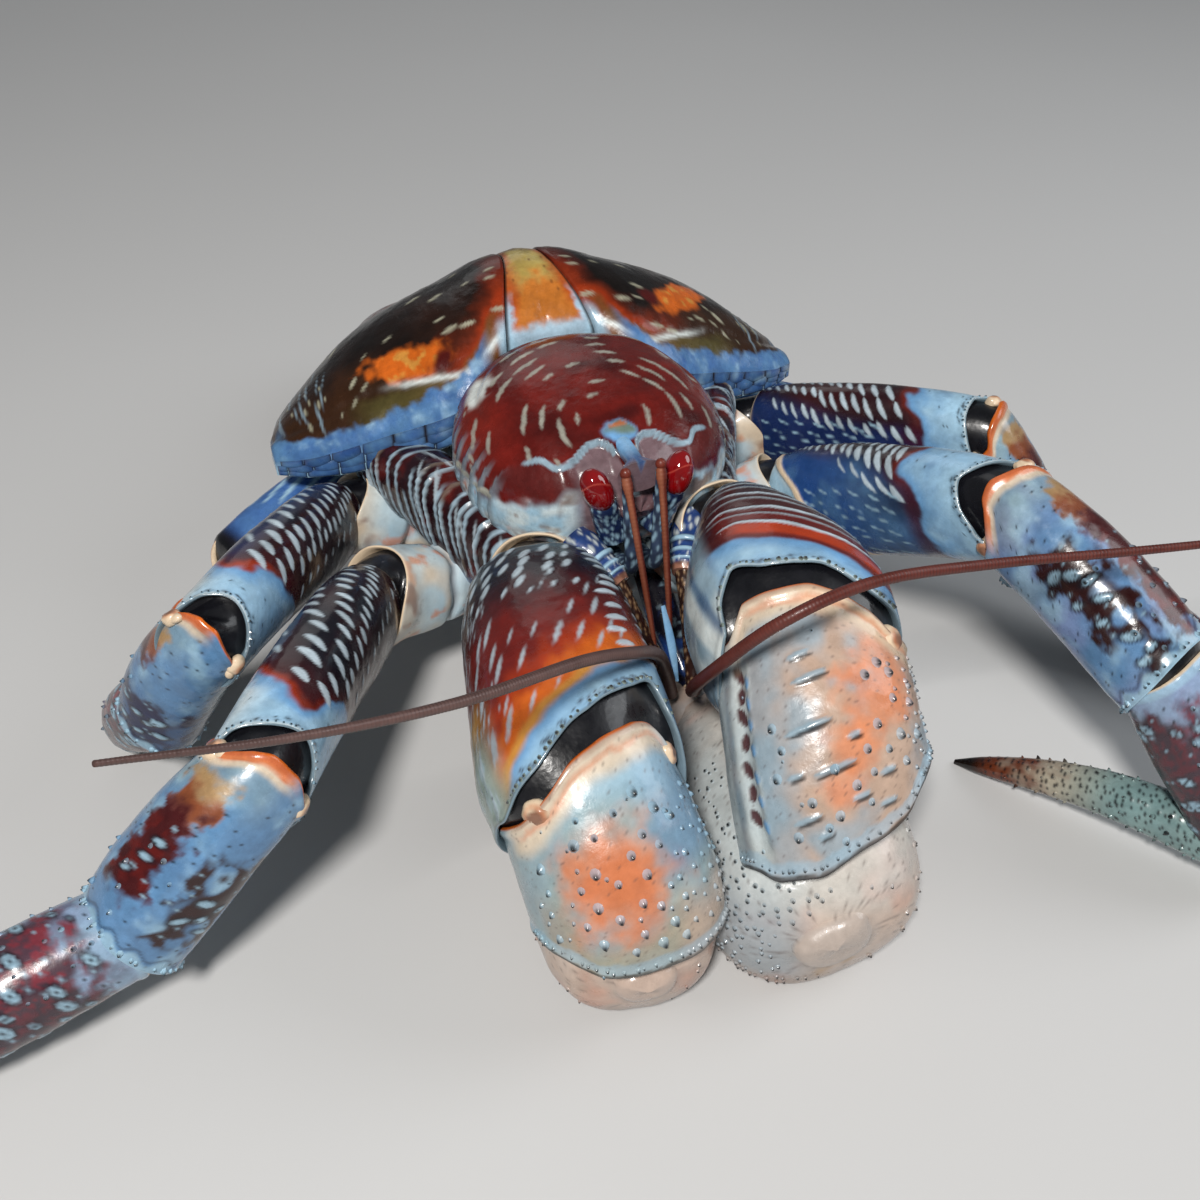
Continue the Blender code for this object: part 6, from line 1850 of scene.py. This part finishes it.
def build_thorax():
    skin = body_skin(THORAX_SECTIONS, colour=WHITE, pitch=1.2)
    skin.tint(noise(skin.p, 10, 251, 3) * 0.9, PALE_BLUE)
    skin.tint(step(0.5, 0.8, noise(skin.p, 9, 252)) * 0.7, CREAM)
    skin.tint(step(0.6, 0.8, noise(skin.p, 6, 254)) * 0.6, PEACH)
    skin.relief += 1.4 * (noise(skin.p, 10, 253) - 0.5)
    skin.settle()
    dress("thorax", [shell(skin, None, None)], PLATE)


def build_flank(side, sign):
    """The side plate below the shield and wing, with upright pale strokes."""
    rows, cols = int((FLANK_SECTIONS[-1][0] - FLANK_SECTIONS[0][0]) / 0.64), 156
    y = np.linspace(FLANK_SECTIONS[0][0], FLANK_SECTIONS[-1][0], rows)[:, None] * np.ones(cols)
    a = np.radians(-180 + 360 * np.arange(cols) / cols)[None] * np.ones((rows, 1))
    x, half, height, tall = (curve(y, [(s[0], s[k]) for s in FLANK_SECTIONS]) for k in (1, 2, 3, 4))
    c, s = bent(np.cos(a), 2.6), bent(np.sin(a), 2.6)
    skin = Skin(np.stack([sign * (x - half + half * c), y, height + tall * s], -1), True, rgb(40, 10, 12))
    p = skin.p
    z = p[..., 2]
    skin.tint(noise(p, 8, 261, 3) * 1.1, rgb(24, 10, 18))
    skin.tint(step(0.5, 0.8, noise(p, 6, 262, 3)) * 0.7, rgb(92, 22, 14))
    skin.tint(step(44, 39, z) * 0.9, STEEL)
    rng = random.Random(263 + sign)
    low, high = p[..., 1] * 0, p[..., 1] * 0
    place = -47.0
    while place < 24:
        lean = rng.uniform(0.2, 0.34)
        line = place + (z - 50) * lean + 1.2 * (noise(p, 7, 265) - 0.5)
        gap = np.abs(p[..., 1] - line)
        first, last = rng.uniform(38, 50), rng.uniform(56, 70)
        if rng.random() < 0.35:
            low = np.maximum(low, step(0.75, 0.3, gap))
        high = np.maximum(high, step(0.55, 0.2, gap - 0.14) * band(first, last, 1.5, z))
        place += rng.uniform(2.2, 3.8)
    skin.tint(low * 0.6 * step(38, 44, z), rgb(118, 108, 98))
    skin.tint(high * 0.85, rgb(150, 172, 186))
    skin.relief += 0.45 * low + 0.2 * high
    upright = always(np.array((0.1 * sign, 0.27, 1.0)))
    flecks(skin, 3.4, 9.0, 2.8, 0.42, FLECK * 0.85, step(38, 44, z) * step(0.4, 0.1, high), 266, upright,
           0.4, 0.3, 0.12, 0.85, 0.4, chance=0.55)
    skin.shade(0.16, 3.0, 267)
    uneven(skin, 264)
    skin.settle()
    dress(f"flank_{side}", [shell(skin, None, None)], DARK_SHELL)


def build_abdomen():
    """The soft abdomen in three lengths and the telson, each with a plate on its back."""
    bounds = (58, 82, 100, 119, 144)
    names = ("abdomen_1", "abdomen_2", "abdomen_3", "telson")
    for k, name in enumerate(names):
        low, high = bounds[k] + (0.15 if k else 0), bounds[k + 1] - (0.15 if k < 3 else 0.5)
        columns = [[(s[0], s[c]) for s in ABDOMEN_SECTIONS] for c in range(1, 5)]
        places = [low] + [s[0] for s in ABDOMEN_SECTIONS if low + 1 < s[0] < high - 1] + [high]
        sections = [(y, *[float(np.interp(y, [q[0] for q in c], [q[1] for q in c])) for c in columns])
                    for y in places]
        skin = body_skin(sections, power=2.2, pitch=0.9, colour=rgb(70, 40, 44))
        p = skin.p
        skin.tint(noise(p, 10, 271 + k) * 0.8, rgb(104, 70, 70))
        skin.tint(step(0.55, 0.8, noise(p, 5, 272 + k)) * 0.5, rgb(140, 112, 108))
        folds = np.sin(p[..., 1] * 1.3 + 2 * noise(p, 14, 273))
        skin.relief += 0.7 * folds * step(20, 60, np.abs(p[..., 0]) + 15) * 0.5
        skin.relief += 0.8 * (noise(p, 7, 274, 3) - 0.5)
        skin.settle()
        plates = []
        for y in [low + 2.5] + [q for q in places if low + 3 < q < high - 2] + [high - 1.5]:
            row = [float(np.interp(y, [q[0] for q in c], [q[1] for q in c])) for c in columns]
            plates.append((y, row[0] * 0.92, row[1] + 1.4, row[2], row[3] * 0.4))
        plate = body_skin(plates, power=2.9, pitch=0.85, colour=rgb(44, 16, 16))
        q = plate.p
        plate.tint(noise(q, 12, 275 + k) * 0.9, rgb(84, 30, 22))
        plate.tint(step(0.6, 0.85, noise(q, 7, 276)) * 0.6, RED_ORANGE * 0.6)
        plate.tint(step(plates[-1][0] - 2.2, plates[-1][0] - 0.8, q[..., 1]) * 0.8, STEEL)
        up = step(0, 20, plate.a) * step(180, 160, plate.a)
        across = always(np.array((1.0, 0.2, 0)))
        flecks(plate, 4.0, 5.5, 1.7, 0.5, FLECK * 0.85, up, 277 + k, across, 0.5, 0.25, 0.12, 0.9,
               chance=0.8)
        plate.relief += 0.3 * (noise(q, 4, 278, 3) - 0.5)
        plate.settle()
        dress(name, [shell(skin, None, None)], SOFT)
        make(name + "_plate", [shell(plate, LIP, LIP, start_colour=rgb(60, 24, 20), end_colour=STEEL)],
             DARK_SHELL)


build_shield()
for side, sign in SIDES:
    build_wing(side, sign)
    build_flank(side, sign)
build_heart()
build_thorax()
build_abdomen()


# Face

# Places on the left side, mirrored for the right
EYE_CENTRE = np.array((10.5, -60, 79.5))
EYE_AXIS = np.array((0.35, 0.25, 0.9))
EYE_HALF_LENGTH = 5.9
EYE_RADIUS = 3.8
STALK_FOOT = np.array((5.5, -58, 64))


def build_eye(side, sign):
    """A red eye and its speckled stalk."""
    mirror = np.array((sign, 1, 1))
    axis = unit(EYE_AXIS * mirror)
    centre = EYE_CENTRE * mirror
    across = unit(np.cross(axis, (0, 1, 0)))
    third = np.cross(across, axis)

    def tint(p, c):
        place = p @ axis
        out = p @ across * sign
        c = c * (0.7 + 0.6 * noise(p + centre, 2.2, 301, 3)[..., None])
        line = np.abs(place - 3.0 + 0.3 * out + 0.16 * out**2)
        m = (step(0.24, 0.05, line) * 0.42)[..., None]
        c = c * (1 - m) + rgb(206, 96, 80) * m
        low = step(-3.2, -5.4, place)[..., None]
        return c * (1 - low) + rgb(50, 6, 8) * low

    eye = lozenge(centre, (axis, across, third), (EYE_HALF_LENGTH, EYE_RADIUS, EYE_RADIUS),
                  rgb(118, 5, 8), 70, 72, tint)
    make(f"eye_{side}_globe", [eye], EYE, [f"eye_{side}"], sharp=80)
    foot = STALK_FOOT * mirror
    stalk = pipe([foot, (foot + centre) / 2, centre - axis * 3.5],
                 ((0, 4.2), (0.5, 3.7), (0.85, 3.4), (1, 2.6)), NAVY * 1.3, sides=56, pitch=0.3)
    stalk.tint(noise(stalk.p, 3, 303) * 0.6, DEEP_BLUE * 0.8)
    flecks(stalk, 1.5, 1.8, 0.7, 0.36, PALE_BLUE * 0.85, np.ones(stalk.p.shape[:2]), 302 + sign,
           always(axis), 0.5, 0.4, 0.1, 0.85, 0.4, chance=0.75)
    stalk.relief += 0.4 * (noise(stalk.p, 1.6, 304, 2) - 0.5)
    stalk.settle()
    dress(f"eyestalk_{side}", [shell(stalk, None, None)], SHELL)


ANTENNULE_ROOT = (3.6, -46, 51)
ANTENNULE_FOOT = (3.2, -64, 57)
# Places of each antennule's bend and tip, which differ from side to side
ANTENNULE_ELBOW = {"right": (-5.2, -65, 86), "left": (4.2, -64, 86)}
ANTENNULE_TIP = {"right": (-2.4, -80, 43), "left": (2.2, -79, 42)}


def build_antennule(side, sign):
    """A copper rod that hangs from its elbow, and the stem that holds it up."""
    copper = rgb(92, 34, 22)
    elbow, tip = np.array(ANTENNULE_ELBOW[side], float), np.array(ANTENNULE_TIP[side], float)
    rod = pipe([elbow, elbow * 0.75 + tip * 0.25 + (0, -0.4, 0), elbow * 0.3 + tip * 0.7 + (0, -0.3, 0), tip],
               ((0, 1.1), (0.06, 1.35), (0.13, 0.95), (0.6, 0.85), (0.95, 0.6), (1, 0.4)), copper,
               sides=20, pitch=0.35)
    # Painted highlight down one side of the rod and painted shade down the other side.
    rod.tint(step(0.4, 0.95, np.cos(rod.b - 2.4)) * 0.5, rgb(168, 104, 74))
    rod.tint(step(-0.2, -0.9, np.cos(rod.b - 2.4)) * 0.8, rgb(34, 10, 12))
    rod.tint(step(0.1, 0.6, rod.share) * 0.5, rgb(64, 14, 12))
    rod.relief += 0.05 * np.sin(rod.s * 6)
    rod.settle()
    root = np.array(ANTENNULE_ROOT, float) * np.array((sign, 1, 1))
    foot = np.array(ANTENNULE_FOOT, float) * np.array((sign, 1, 1))
    stem = pipe([root, foot, (foot + elbow) / 2 + (0, -1, 0), elbow],
                ((0, 2.3), (0.4, 2.0), (0.8, 1.3), (1, 1.1)), rgb(58, 74, 102), sides=26, pitch=0.35)
    stem.tint(noise(stem.p, 3, 312), NAVY)
    flecks(stem, 1.9, 2.0, 0.8, 0.36, PALE_BLUE * 0.8, np.ones(stem.p.shape[:2]), 313,
           always(elbow - foot), 0.5, 0.4, 0.08, 0.8, 0.4)
    stem.settle()
    axes = (np.array((0, 0, 1.0)), np.array((1.0, 0, 0)), np.array((0, 1.0, 0)))
    ball = lozenge(elbow + (0, 0, 0.2), axes, (1.5, 1.35, 1.35), copper * 1.3, 16, 22)
    parts = [shell(rod, None, None), shell(stem, None, None), ball]
    dress(f"antennule_{side}", parts, FEELER)


# Joints of each feeler's base, and the route of its whip
ANTENNA_JOINTS = {
    "right": ((-16, -57, 64), (-8.6, -71, 57.5), (0.5, -84.5, 30)),
    "left": ((17, -55, 61.5), (9.5, -69, 55), (6.5, -85.5, 30)),
}
FLAGELLUM_ROUTE = {
    "right": ((0.5, -84.5, 30), (-5, -93, 47), (-12, -104, 64), (-22, -116, 78), (-38, -127, 90),
              (-66, -143, 103), (-94, -154, 115), (-122, -170, 135)),
    "left": ((6.5, -85.5, 30), (-1, -100, 46), (-6, -117, 67), (3, -130, 90), (24, -130, 95),
             (52, -130, 92), (86, -136, 91), (122, -144, 92), (160, -154, 95)),
}

# Pale spine over the base of each feeler and the light blue blade below it
ACICLE_ROUTE = {
    "right": ((-15.5, -63, 62), (-12.5, -70, 58), (-9.4, -77, 54)),
    "left": ((16.5, -63, 63), (15.5, -68, 58.5), (14.5, -74, 53)),
}
BLADE_ROUTE = {
    "right": ((1.2, -75.5, 52), (1.6, -80.5, 44), (1.6, -85.5, 35)),
    "left": ((12.8, -74, 53), (11.8, -79, 43), (9.8, -84, 34)),
}


def build_antenna(side, sign):
    """A feeler: its thick base, arm, spine, blade and long whip."""
    foot, knee, wrist = (np.array(p, float) for p in ANTENNA_JOINTS[side])
    base = pipe([foot, foot * 0.55 + knee * 0.45, knee],
                ((0, 4.2), (0.2, 5.0), (0.6, 4.5), (0.85, 3.9), (1, 3.0)), rgb(40, 74, 138),
                sides=60, pitch=0.35)
    p = base.p
    base.tint(noise(p, 3.0, 321, 3), rgb(24, 32, 66))
    flecks(base, 1.9, 2.0, 0.9, 0.42, WHITE * 0.85, np.ones(p.shape[:2]), 322, always(knee - foot),
           0.5, 0.45, 0.12, 0.85, 0.45, chance=0.7)
    rings = np.maximum(band(0.5, 0.57, 0.012, base.share), band(0.68, 0.74, 0.012, base.share))
    rings = np.maximum(rings, band(0.82, 0.86, 0.012, base.share))
    base.tint(rings * 0.9, PALE_BLUE)
    base.tint(band(0.58, 0.6, 0.01, base.share) * 0.8, NAVY)
    base.relief += 0.5 * rings + 0.5 * (noise(p, 2.4, 323, 3) - 0.5)
    base.tint(step(0.88, 0.93, base.share), rgb(84, 52, 40))
    base.tint(step(0.9, 0.95, base.share) * noise(p, 1.5, 328) * 0.8, PINK)
    base.settle()
    mid = knee + (foot - knee) * 0.12
    arm = pipe([mid, mid * 0.4 + wrist * 0.6 + (0, -0.8, 0.5), wrist],
               ((0, 2.9), (0.15, 2.6), (0.9, 2.2), (1, 1.9)), rgb(30, 17, 16), sides=44, pitch=0.35)
    arm.tint(noise(arm.p, 4, 325, 3) * 0.5, rgb(60, 30, 22))
    flecks(arm, 1.3, 1.4, 0.42, 0.24, rgb(150, 120, 90), np.ones(arm.p.shape[:2]), 324,
           always(wrist - knee), 0.5, 0.4, 0.1, 0.85, 0.4, chance=0.65)
    arm.relief += 0.3 * (noise(arm.p, 2, 327) - 0.5)
    arm.settle()
    spine = pipe(ACICLE_ROUTE[side], ((0, 1.5), (0.5, 1.3), (0.85, 0.9), (1, 0.4)), LILAC * 1.2,
                 sides=22, pitch=0.3, flat=0.7)
    spine.tint(step(0.45, 0.7, noise(spine.p, 2.2, 329, 3)) * 0.8, NAVY)
    spine.tint(step(0.25, 0.0, spine.share) * 0.7, PINK)
    blade = pipe(BLADE_ROUTE[side], ((0, 0.6), (0.5, 1.15), (1, 0.4)), SKY, sides=18, pitch=0.4, flat=0.5)
    blade.tint(noise(blade.p, 4, 330) * 0.6, PALE_BLUE)
    ball = lozenge(foot * 0.35 + knee * 0.65 + np.array((3.4 * sign, -2.0, 1.8)), np.eye(3),
                   (2.0, 1.7, 1.5), PINK, 18, 26, None, 0.5)
    parts = [shell(base, None, None), shell(arm, None, None), shell(spine, None, None),
             shell(blade, None, None), ball]
    dress(f"antenna_base_{side}", parts, SHELL)
    tone = rgb(84, 62, 58) if side == "right" else rgb(92, 40, 32)
    whip = pipe(FLAGELLUM_ROUTE[side], ((0, 1.5), (0.05, 1.6), (0.3, 1.35), (0.6, 1.05), (1, 0.45)), tone,
                sides=12, pitch=0.2)
    joint = np.mod(whip.s / 0.8, 1.0)
    whip.relief += 0.08 * np.sin(joint * math.pi) ** 0.6
    whip.tint(step(0.18, 0.02, np.minimum(joint, 1 - joint)) * 0.8, rgb(40, 18, 18))
    whip.tint(noise(whip.p, 9, 326, 3) * 0.6, tone * 0.6)
    # Painted highlight: one side of the whip is lightened.
    whip.tint(step(0.4, 1.0, np.cos(whip.b)) * 0.35, tone * 1.7)
    whip.settle()
    make(f"antenna_{side}_whip", [shell(whip, None, None)], FEELER,
         [f"antenna_{side}_1", f"antenna_{side}_2"])


MOUTH_SECTIONS = ((0, 0.8, 0.8, 0.8), (0.5, 1, 1, 1), (0.9, 0.7, 0.7, 0.7), (1, 0.4, 0.4, 0.4))
MOUTH_GIRTH = 4.6


def build_mouth(side, sign):
    """The third maxilliped, mostly hidden behind the claws."""
    limb = Limb((sign * 8, -46, 42), (sign * 9, -77, 24), MOUTH_SECTIONS, MOUTH_GIRTH, pitch=0.4)
    limb.colour[:] = NAVY * 1.2
    limb.tint(step(0.45, 0.7, noise(limb.p, 4, 331, 3)) * 0.8, DEEP_BLUE)
    limb.tint(step(0.6, 0.75, noise(limb.p, 2.5, 332, 3)) * 0.7, BLUE_GREY * 0.8)
    limb.settle()
    dress(f"maxilliped_{side}", [shell(limb)], SHELL)


for side, sign in SIDES:
    build_eye(side, sign)
    build_antennule(side, sign)
    build_antenna(side, sign)
    build_mouth(side, sign)


# Floor, light and camera


def plain_floor():
    mesh = bpy.data.meshes.new("floor")
    size = 3.0
    mesh.from_pydata([(-size, -size, 0), (size, -size, 0), (size, size, 0), (-size, size, 0)],
                     [], [(0, 1, 2, 3)])
    floor = bpy.data.objects.new("floor", mesh)
    bpy.context.scene.collection.objects.link(floor)
    material, tree, shader = new_material("floor_plain")
    speck = node(tree, "ShaderNodeTexNoise", Scale=14.0, Detail=3.0)
    ramp = tree.nodes.new("ShaderNodeMapRange")
    for key, value in (("To Min", 0.5), ("To Max", 0.56)):
        ramp.inputs[key].default_value = value
    tree.links.new(speck.outputs["Fac"], ramp.inputs["Value"])
    tree.links.new(ramp.outputs["Result"], shader.inputs["Base Color"])
    shader.inputs["Roughness"].default_value = 0.9
    mesh.materials.append(material)


def soft_light(name, place, size, power, tone):
    light = bpy.data.lights.new(name, "AREA")
    light.shape = "DISK"
    light.size = size
    light.energy = power
    light.color = tone
    obj = bpy.data.objects.new(name, light)
    bpy.context.scene.collection.objects.link(obj)
    obj.location = place
    obj.rotation_euler = (Vector(LIGHT_TARGET) - Vector(place)).to_track_quat("-Z", "Y").to_euler()


# Lights: name, place, width, power, colour
LIGHT_TARGET = (-0.02, -0.16, 0.05)
LIGHTS = (
    ("key", (-0.35, -0.75, 0.85), 0.16, 12.0, (1.0, 0.97, 0.93)),
    ("fill", (0.75, -0.35, 0.6), 0.6, 3.0, (0.94, 0.97, 1.0)),
    ("back", (0.1, 0.9, 0.7), 0.7, 0.8, (1, 1, 1)),
)
WORLD_COLOUR, WORLD_STRENGTH = (0.8, 0.86, 0.92, 1), 0.15
CAMERA_AZIMUTH, CAMERA_ELEVATION = math.radians(-20), math.radians(40)
CAMERA_PLACE = Vector((-100.83661207, -310.19941277, 268.13855803))
CAMERA_LENS = 40.5


def photo_camera():
    a, e = CAMERA_AZIMUTH, CAMERA_ELEVATION
    back = Vector((math.sin(a) * math.cos(e), -math.cos(a) * math.cos(e), math.sin(e)))
    right = Vector((math.cos(a), math.sin(a), 0))
    data = bpy.data.cameras.new("photo_camera")
    data.sensor_width = 36
    data.lens = CAMERA_LENS
    data.clip_start = 0.01
    camera = bpy.data.objects.new("photo_camera", data)
    bpy.context.scene.collection.objects.link(camera)
    matrix = Matrix((right, back.cross(right), back)).transposed().to_4x4()
    matrix.translation = (CAMERA_PLACE - Vector(REST)) * MM
    camera.matrix_world = matrix
    bpy.context.scene.camera = camera


plain_floor()
for light in LIGHTS:
    soft_light(*light)
photo_camera()
world = bpy.data.worlds.new("studio")
bpy.context.scene.world = world
world.use_nodes = True
background = world.node_tree.nodes["Background"]
background.inputs["Color"].default_value = WORLD_COLOUR
background.inputs["Strength"].default_value = WORLD_STRENGTH
bpy.context.scene.view_settings.view_transform = "Standard"
